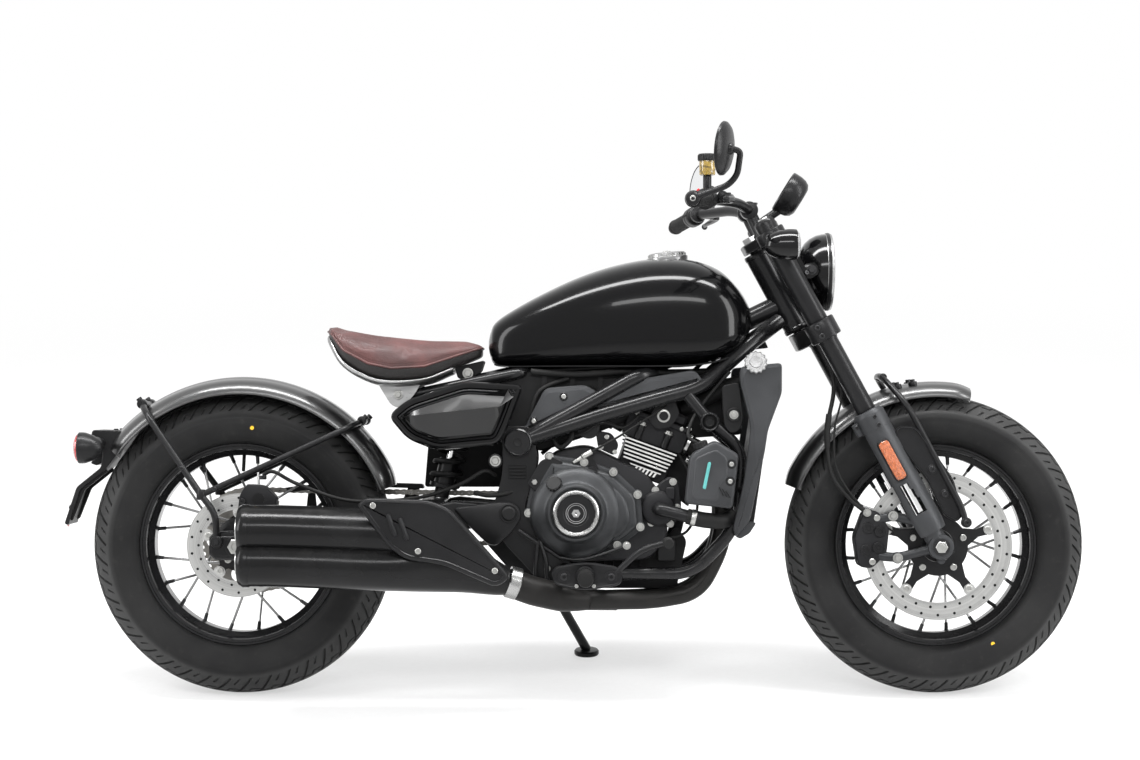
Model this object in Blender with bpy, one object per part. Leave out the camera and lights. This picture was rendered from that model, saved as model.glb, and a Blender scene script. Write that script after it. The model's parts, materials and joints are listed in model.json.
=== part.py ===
"""Bobber motorcycle: a low twin-cylinder machine with wire wheels, parked on its side stand.

Every shape is drawn on the upright machine: X forward from the rear axle, Y to the rider's left,
Z up from the ground, in metres. The root empty then leans it over onto the stand.
"""
import math

import bmesh
import bpy
from mathutils import Matrix, Vector

# Driving sizes of the whole machine
GAP = 0.0003
LEAN = math.radians(11.0)
WHEELBASE = 1.485
RAKE = math.radians(28.5)
FORK_OFFSET = 0.035
LEG_SPREAD = 0.1025
WHEEL_FACETS = 32
FLAT_ANGLE = math.radians(0.4)
SIDES = ((-1.0, "right"), (1.0, "left"))

# Wheels: outside radius, crown radius and half width of the tyre, half width of the rim's seat
FRONT = {"radius": 0.320, "crown": 0.070, "half": 0.065, "rim": 0.038}
REAR = {"radius": 0.322, "crown": 0.080, "half": 0.075, "rim": 0.052}
BEAD = 0.2060
FLANGE = 0.2155
WELL = 0.1890
SPOKES = 20
SPOKE_RADIUS = 0.0030

# Fork, measured along the steering axis from the axle's height
LEG_TOP = 0.782
UPPER_CLAMP = (0.735, 0.760)
LOWER_CLAMP = (0.500, 0.542)
HEAD_TUBE = (0.5430, 0.7340)
TUBE_RADIUS = 0.023
OUTER_RADIUS = 0.0208
SLIDER_RADIUS = 0.0175
SLIDER_TOP = 0.295
LUG_INNER = 0.080

# Frame tubes
HEAD_RADIUS = 0.030
STEM_RADIUS = 0.0135
LONG_RADIUS = 0.017
UPPER_RADIUS = 0.015
SPINE_RADIUS = 0.022
CRADLE_RADIUS = 0.0135
RAIL_RADIUS = 0.012
PIVOT = (0.571, 0.389)
PLATE_Y = (0.110, 0.126)
ARM_Y = (0.108, 0.135)

# Wheel furniture
FRONT_DISC = {"radius": 0.160, "inner": 0.130, "y": (-0.0723, -0.0673)}
REAR_DISC = {"radius": 0.110, "inner": 0.078, "y": (-0.0903, -0.0853)}
SPROCKET_Y = 0.0905
CHAIN_PITCH = 0.015875
REAR_TEETH = 44
FRONT_TEETH = 15
FRONT_SPROCKET = (0.655, 0.385)

MATERIALS = {
    "black_gloss": ((0.006, 0.006, 0.007), 0.12, 0.0),
    "black_satin": ((0.012, 0.012, 0.013), 0.38, 0.2),
    "dark_grey": ((0.035, 0.036, 0.038), 0.5, 0.3),
    "alloy": ((0.55, 0.55, 0.56), 0.35, 1.0),
    "steel": ((0.62, 0.62, 0.63), 0.25, 1.0),
    "rubber": ((0.016, 0.016, 0.017), 0.8, 0.0),
    "leather": ((0.16, 0.055, 0.045), 0.45, 0.0),
    "amber": ((0.65, 0.42, 0.05), 0.2, 0.0),
    "mirror": ((0.8, 0.8, 0.82), 0.05, 1.0),
    "chrome": ((0.8, 0.8, 0.8), 0.08, 1.0),
}


def remove_old_objects():
    for old in list(bpy.data.objects):
        bpy.data.objects.remove(old, do_unlink=True)


def material(name):
    """The named Principled material, made on first use."""
    found = bpy.data.materials.get(name)
    if found:
        return found
    colour, roughness, metallic = MATERIALS[name]
    made = bpy.data.materials.new(name)
    made.use_nodes = True
    shader = made.node_tree.nodes["Principled BSDF"]
    shader.inputs["Base Color"].default_value = (*colour, 1.0)
    shader.inputs["Roughness"].default_value = roughness
    shader.inputs["Metallic"].default_value = metallic
    return made


def steer(x, y, z):
    """A point given along the fork: x ahead of the steering axis, z up along it."""
    ahead = Vector((math.cos(RAKE), 0.0, math.sin(RAKE)))
    up = Vector((-math.sin(RAKE), 0.0, math.cos(RAKE)))
    foot = FRONT_AXLE - FORK_OFFSET * ahead
    return foot + x * ahead + Vector((0.0, y, 0.0)) + z * up


def axle_height(tyre):
    """Height of the axle at which the leaning, faceted tyre just meets the ground plane."""
    flat = math.cos(math.pi / WHEEL_FACETS)
    ring = tyre["radius"] - tyre["crown"] + tyre["crown"] * math.cos(LEAN)
    return ring * flat + tyre["crown"] * math.sin(LEAN) ** 2 / math.cos(LEAN)


REAR_AXLE = Vector((0.0, 0.0, axle_height(REAR)))
FRONT_AXLE = Vector((WHEELBASE, 0.0, axle_height(FRONT)))


# Mesh tools: each returns a closed mesh whose faces point out

def finished(bm, name="shape"):
    bmesh.ops.remove_doubles(bm, verts=bm.verts, dist=1e-6)
    bmesh.ops.recalc_face_normals(bm, faces=bm.faces)
    mesh = bpy.data.meshes.new(name)
    bm.to_mesh(mesh)
    bm.free()
    return mesh


def loft(rings, joined=False):
    """Skin over rings of equal point count, with flat ends unless the last meets the first."""
    bm = bmesh.new()
    loops = [[bm.verts.new(point) for point in ring] for ring in rings]
    pairs = list(zip(loops, loops[1:]))
    if joined:
        pairs.append((loops[-1], loops[0]))
    count = len(loops[0])
    for one, two in pairs:
        for i in range(count):
            j = (i + 1) % count
            bm.faces.new((one[i], one[j], two[j], two[i]))
    if not joined:
        bm.faces.new(loops[0])
        bm.faces.new(loops[-1])
    return finished(bm)


def across(axis):
    """Two unit vectors square to the axis."""
    axis = Vector(axis).normalized()
    side = Vector((0.0, 0.0, 1.0)) if abs(axis.z) < 0.9 else Vector((1.0, 0.0, 0.0))
    one = (side - axis * side.dot(axis)).normalized()
    return one, axis.cross(one)


def turned(points, centre, axis=(0.0, 1.0, 0.0), sides=12):
    """A solid of revolution: points are (along, radius) from one flat end to the other."""
    axis = Vector(axis).normalized()
    one, two = across(axis)
    rings = []
    for along, radius in points:
        middle = Vector(centre) + axis * along
        ring = []
        for i in range(sides):
            angle = 2.0 * math.pi * (i + 0.5) / sides
            ring.append(middle + radius * (math.cos(angle) * one + math.sin(angle) * two))
        rings.append(ring)
    return loft(rings)


def rod(start, end, radius, sides=10):
    """A plain round bar between two points."""
    start, end = Vector(start), Vector(end)
    length = (end - start).length
    return turned([(0.0, radius), (length, radius)], start, end - start, sides)


def spun(profile, centre, sides, start=0.0, sweep=2.0 * math.pi):
    """A closed (across, radius) profile swept about the Y line through the centre."""
    whole = sweep > 2.0 * math.pi - 1e-6
    steps = sides if whole else sides + 1
    rings = []
    for i in range(steps):
        angle = start + sweep * i / sides
        ring = []
        for y, radius in profile:
            point = (radius * math.cos(angle), y, radius * math.sin(angle))
            ring.append(Vector(centre) + Vector(point))
        rings.append(ring)
    return loft(rings, joined=whole)


def rounded(points, bend, steps=3):
    """The points with each inner corner drawn as a short curve."""
    points = [Vector(p) for p in points]
    out = [points[0]]
    for before, corner, after in zip(points, points[1:], points[2:]):
        reach = min(bend, 0.45 * (before - corner).length, 0.45 * (after - corner).length)
        first = corner + reach * (before - corner).normalized()
        last = corner + reach * (after - corner).normalized()
        for i in range(steps + 1):
            t = i / steps
            out.append((1 - t) ** 2 * first + 2 * t * (1 - t) * corner + t ** 2 * last)
    out.append(points[-1])
    return out


def pipe(points, radius, bend=0.03, sides=8, steps=1):
    """A bent tube with filled ends, as a bevelled curve made into a mesh."""
    path = rounded(points, bend, steps)
    curve = bpy.data.curves.new("path", "CURVE")
    curve.dimensions = "3D"
    curve.bevel_depth = radius
    curve.bevel_resolution = sides // 2 - 2
    curve.use_fill_caps = True
    spline = curve.splines.new("POLY")
    spline.points.add(len(path) - 1)
    for spot, point in zip(spline.points, path):
        spot.co = (*point, 1.0)
    holder = bpy.data.objects.new("path", curve)
    bpy.context.scene.collection.objects.link(holder)
    bpy.context.view_layer.update()
    mesh = bpy.data.meshes.new_from_object(holder.evaluated_get(bpy.context.evaluated_depsgraph_get()))
    bpy.data.objects.remove(holder, do_unlink=True)
    bpy.data.curves.remove(curve)
    bm = bmesh.new()
    bm.from_mesh(mesh)
    bpy.data.meshes.remove(mesh)
    return finished(bm)


def inset(outline, depth):
    """A flat outline drawn in by the same depth along every side; a minus depth draws it out."""
    count = len(outline)
    area = sum(a[0] * b[1] - b[0] * a[1] for a, b in zip(outline, outline[1:] + outline[:1]))
    turn = 1.0 if area > 0 else -1.0
    out = []
    for i, (x, z) in enumerate(outline):
        before, after = outline[i - 1], outline[(i + 1) % count]
        one = Vector((x - before[0], z - before[1])).normalized()
        two = Vector((after[0] - x, after[1] - z)).normalized()
        normal_one = Vector((-one.y, one.x)) * turn
        normal_two = Vector((-two.y, two.x)) * turn
        middle = normal_one + normal_two
        scale = 2.0 / max(middle.length_squared, 0.4)
        out.append((x + depth * scale * middle.x, z + depth * scale * middle.y))
    return out


def slab(outline, levels):
    """A side-view outline carried through (y, inset) levels."""
    rings = []
    for y, depth in levels:
        ring = inset(outline, depth) if depth else outline
        rings.append([Vector((x, y, z)) for x, z in ring])
    return loft(rings)


def box(low, high):
    x0, y0, z0 = low
    x1, y1, z1 = high
    return slab([(x0, z0), (x1, z0), (x1, z1), (x0, z1)], [(y0, 0.0), (y1, 0.0)])


def steer_block(outline, low, high):
    """A block square to the steering axis, from an (x, y) outline."""
    return loft([[steer(x, y, z) for x, y in outline] for z in (low, high)])


def grown(mesh, depth=GAP):
    """The same shape with every face moved out by the depth."""
    bm = bmesh.new()
    bm.from_mesh(mesh)
    bm.normal_update()
    moves = [vert.normal * vert.calc_shell_factor() * depth for vert in bm.verts]
    for vert, move in zip(bm.verts, moves):
        vert.co += move
    return finished(bm)


def boolean(base, others, operation):
    """The base mesh joined with, cut by or kept inside the other meshes."""
    scene = bpy.context.scene
    body = bpy.data.objects.new("work", base)
    scene.collection.objects.link(body)
    tools = []
    for mesh in others:
        tool = bpy.data.objects.new("tool", mesh)
        scene.collection.objects.link(tool)
        tools.append(tool)
        step = body.modifiers.new("step", "BOOLEAN")
        step.operation = operation
        step.solver = "EXACT"
        step.object = tool
    bpy.context.view_layer.update()
    graph = bpy.context.evaluated_depsgraph_get()
    result = bpy.data.meshes.new_from_object(body.evaluated_get(graph))
    for made in [body, *tools]:
        bpy.data.objects.remove(made, do_unlink=True)
    bm = bmesh.new()
    bm.from_mesh(result)
    bmesh.ops.remove_doubles(bm, verts=bm.verts, dist=2e-6)
    bmesh.ops.dissolve_degenerate(bm, edges=bm.edges, dist=2e-6)
    bmesh.ops.dissolve_limit(bm, angle_limit=FLAT_ANGLE, verts=bm.verts, edges=bm.edges)
    return finished(bm)


def union(shapes):
    return boolean(shapes[0], shapes[1:], "UNION") if len(shapes) > 1 else shapes[0]


def cut(mesh, tools):
    return boolean(mesh, tools, "DIFFERENCE") if tools else mesh


def seated(shapes, neighbours):
    """The joined shapes, cut back so that they sit a gap clear of the neighbours."""
    return cut(union(shapes), [grown(n) for n in neighbours])


# Bodies: an empty on each joint's axis

def make_bodies():
    bodies = {}
    root = bpy.data.objects.new("bobber_motorcycle", None)
    bpy.context.scene.collection.objects.link(root)
    root.rotation_euler = (-LEAN, 0.0, 0.0)
    bodies["chassis"] = root
    table = {
        "steering": ("chassis", Matrix.Translation(steer(0, 0, 0)) @ Matrix.Rotation(-RAKE, 4, "Y")),
        "front_wheel": ("steering", Matrix.Translation(FRONT_AXLE)),
        "rear_wheel": ("chassis", Matrix.Translation(REAR_AXLE)),
        "stand": ("chassis", Matrix.Translation(STAND_PIVOT)),
    }
    places = {"chassis": Matrix.Identity(4)}
    for name, (parent, place) in table.items():
        empty = bpy.data.objects.new(name + "_axis", None)
        bpy.context.scene.collection.objects.link(empty)
        empty.parent = bodies[parent]
        local = places[parent].inverted() @ place
        empty.location = local.to_translation()
        empty.rotation_euler = local.to_euler()
        bodies[name] = empty
        places[name] = place
    return bodies, places


def add(name, mesh, look, body="chassis", crease=35.0):
    """Name the finished mesh and hang it on its body."""
    mesh.name = name
    mesh.transform(PLACES[body].inverted())
    mesh.shade_smooth()
    mesh.set_sharp_from_angle(angle=math.radians(crease))
    mesh.materials.clear()
    mesh.materials.append(material(look))
    made = bpy.data.objects.new(name, mesh)
    bpy.context.scene.collection.objects.link(made)
    made.parent = BODIES[body]
    return made


# Wheels

def tyre_mesh(tyre, centre):
    crown, middle = tyre["crown"], tyre["radius"] - tyre["crown"]
    side = [(crown * math.sin(a), middle + crown * math.cos(a))
            for a in (LEAN, math.radians(34.0), math.radians(60.0))]
    side += [(tyre["half"], BEAD + 0.45 * (tyre["radius"] - BEAD)),
             (tyre["rim"] + 0.008, FLANGE + 0.003),
             (tyre["rim"], FLANGE + 0.001),
             (tyre["rim"], BEAD + GAP)]
    profile = [(-y, r) for y, r in reversed(side)] + side
    return spun(profile, centre, WHEEL_FACETS, start=-math.pi / 2 + math.pi / WHEEL_FACETS)


def rim_mesh(tyre, centre):
    half = tyre["rim"]
    side = [(half + 0.0055, FLANGE), (half + GAP, FLANGE), (half + GAP, BEAD)]
    under = [(half + 0.0055, BEAD - 0.0045), (0.38 * half, WELL)]
    profile = side + [(-y, r) for y, r in reversed(side)] + [(-y, r) for y, r in under] + under[::-1]
    return spun(profile, centre, WHEEL_FACETS, start=-math.pi / 2 + math.pi / WHEEL_FACETS)


def spokes(centre, flange_y, flange_radius, tyre):
    """Spokes in crossing pairs, alternately from the two hub flanges to the rim's well."""
    shapes = []
    for i in range(SPOKES):
        side = 1.0 if i % 2 else -1.0
        lean = 1.0 if (i // 2) % 2 else -1.0
        rim_angle = 2.0 * math.pi * (i + 0.5) / SPOKES
        hub_angle = rim_angle + lean * math.radians(38.0)
        hub_y = side * flange_y + lean * 0.002
        inner = Vector((flange_radius * math.cos(hub_angle), hub_y, flange_radius * math.sin(hub_angle)))
        outer = Vector(((WELL + 0.002) * math.cos(rim_angle), side * 0.2 * tyre["rim"],
                        (WELL + 0.002) * math.sin(rim_angle)))
        shapes.append(rod(Vector(centre) + inner, Vector(centre) + outer, SPOKE_RADIUS, 3))
    return shapes


def front_wheel():
    hub = [(-0.079, 0.0085), (-0.079, 0.015), (-0.067, 0.015), (-0.067, 0.034), (-0.041, 0.046),
           (-0.033, 0.046), (-0.028, 0.024), (0.028, 0.024), (0.033, 0.046), (0.041, 0.046),
           (0.079, 0.018), (0.079, 0.0085)]
    shapes = [rim_mesh(FRONT, FRONT_AXLE), spun(hub, FRONT_AXLE, 12)]
    shapes += spokes(FRONT_AXLE, 0.037, 0.043, FRONT)
    add("front_wheel", union(shapes), "black_satin", "front_wheel")
    add("front_tyre", tyre_mesh(FRONT, FRONT_AXLE), "rubber", "front_wheel")
    add("front_disc", disc_mesh(FRONT_DISC, FRONT_AXLE, 0.024, 0.042, 5), "steel", "front_wheel")


def disc_mesh(disc, centre, bore, ring, arms):
    """Brake disc: the band, a centre ring and the arms between them."""
    low, high = disc["y"]
    band = [(low, disc["inner"]), (high, disc["inner"]), (high, disc["radius"]), (low, disc["radius"])]
    middle = [(low, bore), (high, bore), (high, ring), (low, ring)]
    shapes = [spun(band, centre, 28), spun(middle, centre, 12)]
    for i in range(arms):
        angle = 2.0 * math.pi * i / arms + math.radians(18.0)
        out = Vector((math.cos(angle), 0.0, math.sin(angle)))
        wide = Vector((-out.z, 0.0, out.x))
        rings = []
        for y in (low, high):
            base = Vector(centre) + Vector((0.0, y, 0.0))
            near, far = ring - 0.004, disc["inner"] + 0.005
            rings.append([base + out * near - wide * 0.011, base + out * far - wide * 0.008,
                          base + out * far + wide * 0.008, base + out * near + wide * 0.011])
        shapes.append(loft(rings))
    return union(shapes)


def rear_wheel():
    hub = [(-0.1075, 0.0105), (-0.1075, 0.020), (-0.085, 0.020), (-0.085, 0.045), (-0.052, 0.045),
           (-0.052, 0.058), (-0.044, 0.058), (-0.038, 0.032), (0.038, 0.032), (0.044, 0.058),
           (0.052, 0.058), (0.056, 0.064), (SPROCKET_Y - 0.0033, 0.064), (SPROCKET_Y - 0.0033, 0.020),
           (0.1075, 0.020), (0.1075, 0.0105)]
    shapes = [rim_mesh(REAR, REAR_AXLE), spun(hub, REAR_AXLE, 12)]
    shapes += spokes(REAR_AXLE, 0.048, 0.055, REAR)
    add("rear_wheel", union(shapes), "black_satin", "rear_wheel")
    add("rear_tyre", tyre_mesh(REAR, REAR_AXLE), "rubber", "rear_wheel")
    add("rear_disc", disc_mesh(REAR_DISC, REAR_AXLE, 0.0203, 0.044, 5), "steel", "rear_wheel")
    add("rear_sprocket", sprocket_mesh(), "steel", "rear_wheel")


def pitch_radius(teeth):
    return 0.5 * CHAIN_PITCH / math.sin(math.pi / teeth)


def sprocket_mesh():
    """Toothed plate: two outline points a tooth."""
    root = pitch_radius(REAR_TEETH) - 0.0110
    tip = root + 0.0040
    rings = []
    for y in (SPROCKET_Y - 0.003, SPROCKET_Y + 0.003):
        ring = []
        for i in range(2 * REAR_TEETH):
            radius = tip if i % 2 else root
            angle = math.pi * i / REAR_TEETH
            ring.append(REAR_AXLE + Vector((radius * math.cos(angle), y, radius * math.sin(angle))))
        rings.append(ring)
    hole = rod(REAR_AXLE + Vector((0, 0.05, 0)), REAR_AXLE + Vector((0, 0.12, 0)), 0.0215, 16)
    return cut(loft(rings), [hole])


def chain_path():
    """Points along the chain's pitch line, one for each link end, anticlockwise in side view."""
    big, small = pitch_radius(REAR_TEETH), pitch_radius(FRONT_TEETH)
    rear = Vector((REAR_AXLE.x, REAR_AXLE.z))
    front = Vector(FRONT_SPROCKET)
    span = front - rear
    length, slope = span.length, math.atan2(span.y, span.x)
    open_angle = math.acos((big - small) / length)
    run = math.sqrt(length ** 2 - (big - small) ** 2)
    big_arc = big * (2.0 * math.pi - 2.0 * open_angle)
    small_arc = small * 2.0 * open_angle
    total = 2.0 * run + big_arc + small_arc
    links = 2 * round(total / CHAIN_PITCH / 2.0)
    points = []
    for i in range(links):
        s = total * i / links
        if s < big_arc:
            angle = slope + open_angle + s / big
            points.append(rear + big * Vector((math.cos(angle), math.sin(angle))))
            continue
        s -= big_arc
        lower = slope - open_angle
        tangent = Vector((-math.sin(lower), math.cos(lower)))
        if s < run:
            points.append(rear + big * Vector((math.cos(lower), math.sin(lower))) + tangent * s)
            continue
        s -= run
        if s < small_arc:
            angle = lower + s / small
            points.append(front + small * Vector((math.cos(angle), math.sin(angle))))
            continue
        s -= small_arc
        upper = slope + open_angle
        tangent = Vector((-math.sin(upper), math.cos(upper)))
        points.append(front + small * Vector((math.cos(upper), math.sin(upper))) + tangent * s)
    return points


def drive_chain():
    """Chain: a closed band, wider at every second link where the outer plates sit."""
    path = chain_path()
    count = len(path)
    rings = []
    for i, point in enumerate(path):
        after = path[(i + 1) % count]
        along = (after - point).normalized()
        out = Vector((along.y, -along.x))
        half = 0.0075 if i % 2 else 0.0050
        ring = []
        for across_y, lift in ((-half, -0.0055), (half, -0.0055), (half, 0.0055), (-half, 0.0055)):
            flat = point + out * lift
            ring.append(Vector((flat.x, SPROCKET_Y + across_y, flat.y)))
        rings.append(ring)
    add("drive_chain", loft(rings, joined=True), "steel")


# Steering body

def fork_tube(side):
    """The black outer tube, the part that the clamps and the guard grip."""
    y = side * LEG_SPREAD
    middle = LOWER_CLAMP[0] - 0.004
    return turned([(SLIDER_TOP - 0.01, OUTER_RADIUS), (middle, OUTER_RADIUS), (middle + 0.003, TUBE_RADIUS),
                   (LEG_TOP, TUBE_RADIUS), (LEG_TOP + 0.004, TUBE_RADIUS - 0.004)],
                  steer(FORK_OFFSET, y, 0), steer(0, 0, 1) - steer(0, 0, 0), 12)


def fork_foot(side):
    """The bright slider and the axle lug cast at its end."""
    y = side * LEG_SPREAD
    inner, outer = side * LUG_INNER, side * 0.124
    axis = steer(0, 0, 1) - steer(0, 0, 0)
    return [turned([(0.0, SLIDER_RADIUS), (SLIDER_TOP, SLIDER_RADIUS)], steer(FORK_OFFSET, y, 0), axis, 12),
            rod(steer(FORK_OFFSET, inner, 0), steer(FORK_OFFSET, outer, 0), 0.027, 14),
            turned([(0.0, 0.022), (0.055, 0.022), (0.062, 0.019)], steer(FORK_OFFSET, y, 0), axis, 12)]


def fork_legs():
    for side, name in SIDES:
        shapes = [fork_tube(side)] + fork_foot(side)
        if side < 0:
            shapes.append(rod(steer(FORK_OFFSET, -0.10, 0), steer(FORK_OFFSET, LUG_INNER - GAP, 0), 0.008, 12))
        shapes.append(rod(steer(FORK_OFFSET, side * 0.12, 0), steer(FORK_OFFSET, side * 0.131, 0), 0.013, 6))
        add("fork_leg_" + name, union(shapes), "black_satin", "steering")


def clamp_shapes():
    shapes = []
    for (low, high), radius in ((LOWER_CLAMP, 0.034), (UPPER_CLAMP, 0.032)):
        outline = [(-0.024, -0.045), (0.012, -LEG_SPREAD), (0.056, -LEG_SPREAD), (0.048, -0.04),
                   (0.048, 0.04), (0.056, LEG_SPREAD), (0.012, LEG_SPREAD), (-0.024, 0.045)]
        shapes.append(steer_block(outline, low + 0.003, high - 0.002))
        for side in (-1.0, 1.0):
            y = side * LEG_SPREAD
            shapes.append(rod(steer(FORK_OFFSET, y, low), steer(FORK_OFFSET, y, high), radius, 10))
    shapes.append(rod(steer(0, 0, LOWER_CLAMP[1] - 0.01), steer(0, 0, UPPER_CLAMP[0] + 0.01), STEM_RADIUS, 8))
    shapes.append(rod(steer(0, 0, UPPER_CLAMP[1] - 0.005), steer(0, 0, UPPER_CLAMP[1] + 0.010), 0.017, 6))
    return shapes


def fork_clamps():
    tubes = [fork_tube(-1.0), fork_tube(1.0)]
    add("fork_clamps", seated(clamp_shapes(), tubes), "black_satin", "steering")


def guard_plate(side):
    """The gusset ahead of the leg, which carries the mudguard's stay."""
    gusset = [(1.392, 0.575), (1.432, 0.575), (1.512, 0.462), (1.530, 0.385), (1.518, 0.372), (1.492, 0.385),
              (1.455, 0.462), (1.385, 0.548)]
    return slab(gusset, [(side * 0.106, 0.0), (side * 0.118, 0.0)])


def fork_guards():
    """Grey guard over each lower leg: a split collar above, a half shell below, a gusset ahead."""
    axis = steer(0, 0, 1) - steer(0, 0, 0)
    ahead = steer(1, 0, 0) - steer(0, 0, 0)
    for side, name in SIDES:
        foot = steer(FORK_OFFSET, side * LEG_SPREAD, 0)
        outward = Vector((0.0, side, 0.0))
        rings = []
        for z in (0.036, 0.295):
            ring = []
            for radius, way in ((0.0340, 1), (0.0305, -1)):
                turns = range(9) if way > 0 else range(8, -1, -1)
                for i in turns:
                    angle = math.radians(-55.0 + 20.0 * i)
                    spot = math.cos(angle) * outward + math.sin(angle) * ahead
                    ring.append(foot + axis * z + radius * spot)
            rings.append(ring)
        collar = turned([(0.283, 0.0345), (0.318, 0.0345), (0.325, 0.030)], foot, axis, 12)
        shapes = [collar, loft(rings), guard_plate(side)]
        tubes = [fork_tube(side)] + fork_foot(side)
        add("fork_guard_" + name, seated(shapes, tubes), "dark_grey", "steering")


def fender_profile(radius, half, drop, crown, thick=0.003):
    """Closed section of a mudguard: rolled side, shoulder and raised middle band."""
    side = [(half, radius - drop), (0.78 * half, radius - 0.25 * drop), (crown, radius + 0.004)]
    outer = [(-y, r) for y, r in side] + [(y, r) for y, r in reversed(side)]
    inner = [(y * (1.0 - thick / half), r - thick) for y, r in reversed(outer)]
    return outer + inner


def front_fender():
    profile = fender_profile(0.345, 0.066, 0.026, 0.024)
    shell = spun(profile, FRONT_AXLE, 10, math.radians(77.0), math.radians(81.0))
    right = [(1.537, -0.1253, 0.369), (1.527, -0.1253, 0.405), (1.415, -0.108, 0.620), (1.368, -0.050, 0.681)]
    path = right + [(x, -y, z) for x, y, z in reversed(right)]
    stay = pipe(path, 0.0065, 0.03, 6)
    bosses = []
    for side in (-1.0, 1.0):
        base = FRONT_AXLE + Vector((-0.110, side * 0.020, 0.322))
        bosses.append(rod(base, base + Vector((-0.011, 0.0, 0.032)), 0.007, 8))
    feet = []
    for side in (-1.0, 1.0):
        feet.append(rod((1.537, side * (0.118 + GAP), 0.372), (1.537, side * 0.1318, 0.372), 0.011, 10))
    add("front_fender", seated([shell, stay] + bosses + feet, [guard_plate(-1.0), guard_plate(1.0)]),
        "black_gloss", "steering")


def headlight():
    shapes = [turned([(-0.068, 0.038), (-0.058, 0.060), (-0.034, 0.078), (-0.012, 0.0825), (-0.005, 0.0825),
                      (0.001, 0.062), (0.004, 0.025)], (1.264, 0.0, 0.906), (1, 0, 0), 20)]
    shapes.append(rod((1.215, -0.0842, 0.906), (1.215, 0.0842, 0.906), 0.010, 10))
    add("headlight", union(shapes), "black_gloss", "steering")


def lamp_brackets():
    """Each side: clamp rings on the fork tube, the headlight's ear and the turn signal."""
    for side, name in SIDES:
        y = side * LEG_SPREAD
        shapes = [rod(steer(FORK_OFFSET, y, 0.628), steer(FORK_OFFSET, y, 0.660), 0.029, 12)]
        ear = [(0.040, side * (0.0842 + GAP)), (0.090, side * (0.0842 + GAP)), (0.090, side * 0.0885),
               (0.040, side * 0.0885)]
        shapes.append(steer_block(ear, 0.632, 0.656))
        strap = [(0.054, side * 0.092), (0.066, side * 0.092), (0.066, side * 0.110), (0.054, side * 0.110)]
        shapes.append(steer_block(strap, 0.640, 0.720))
        lamp = steer(0.047, side * 0.160, 0.716)
        shapes.append(rod(steer(0.060, side * 0.100, 0.712), lamp, 0.009, 8))
        shapes.append(turned([(-0.042, 0.014), (-0.012, 0.031), (0.022, 0.0325), (0.030, 0.026)], lamp, (1, 0, 0),
                             12))
        neighbours = [fork_tube(side)]
        add("lamp_bracket_" + name, seated(shapes, neighbours), "black_gloss", "steering")


BAR_POINTS = [(0.946, 0.410, 1.030), (0.990, 0.215, 1.046), (1.058, 0.105, 1.046), (1.085, 0.055, 1.035)]


def bar_pipe():
    right = [(x, -y, z) for x, y, z in BAR_POINTS]
    return pipe(right + list(reversed(BAR_POINTS)), 0.011, 0.03, 8)


def on_bar(side, y, lift=0.0, ahead=0.0):
    """A point on the grip's straight run of the bar."""
    one, two = Vector(BAR_POINTS[0]), Vector(BAR_POINTS[1])
    spot = one.lerp(two, (one.y - y) / (one.y - two.y))
    return Vector((spot.x + ahead, side * spot.y, spot.z + lift))


def handlebar():
    shapes = [bar_pipe()]
    for side in (-1.0, 1.0):
        foot = steer(0.022, side * 0.045, UPPER_CLAMP[1] - 0.002 + GAP)
        top = Vector((1.085, side * 0.045, 1.035))
        shapes.append(rod(foot, top, 0.013, 12))
        shapes.append(rod(top - Vector((0, 0.013, 0)), top + Vector((0, 0.013, 0)), 0.019, 12))
    add("handlebar", seated(shapes, clamp_shapes()), "black_satin", "steering")


def controls():
    """Grip, switch housing and lever on each side; the right one also has the brake cylinder."""
    for side, name in SIDES:
        shapes = [rod(on_bar(side, 0.402), on_bar(side, 0.268), 0.0165, 12),
                  rod(on_bar(side, 0.270), on_bar(side, 0.228), 0.022, 12),
                  rod(on_bar(side, 0.252, 0, 0.0), on_bar(side, 0.250, 0.0, 0.040), 0.012, 10),
                  rod(on_bar(side, 0.262, 0, 0.034), on_bar(side, 0.215, 0.0, 0.036), 0.012, 10)]
        lever = [on_bar(side, 0.240, 0, 0.046), on_bar(side, 0.275, 0, 0.060), on_bar(side, 0.335, 0, 0.058),
                 on_bar(side, 0.395, 0, 0.066)]
        shapes.append(pipe(lever, 0.0055, 0.02, 6))
        if side < 0:
            shapes.append(rod(on_bar(side, 0.236, 0.010, 0.0), on_bar(side, 0.236, 0.048, 0.0), 0.009, 8))
        neighbours = [bar_pipe()]
        add("controls_" + name, seated(shapes, neighbours), "rubber", "steering")
    base = on_bar(-1.0, 0.236, 0.048 + GAP, 0.0)
    add("brake_reservoir", turned([(0.0, 0.0155), (0.002, 0.0165), (0.030, 0.0165), (0.031, 0.019),
                                   (0.043, 0.019), (0.045, 0.017)], base, (0, 0, 1), 16), "amber", "steering")


def gauge():
    facing = Vector((-0.85, 0.0, 0.52)).normalized()
    centre = Vector((1.181, 0.0, 1.069))
    base = steer(0.036, 0.0, UPPER_CLAMP[1] - 0.002 + GAP)
    shapes = [turned([(-0.022, 0.030), (-0.016, 0.040), (0.004, 0.0465), (0.020, 0.0465), (0.023, 0.043)],
                     centre, facing, 18),
              pipe([base, steer(0.036, 0.0, 0.785), centre - facing * 0.010], 0.009, 0.02, 8),
              rod(base, steer(0.036, 0.0, 0.768), 0.012, 12)]
    add("gauge", seated(shapes, clamp_shapes()), "black_satin", "steering")


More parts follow.
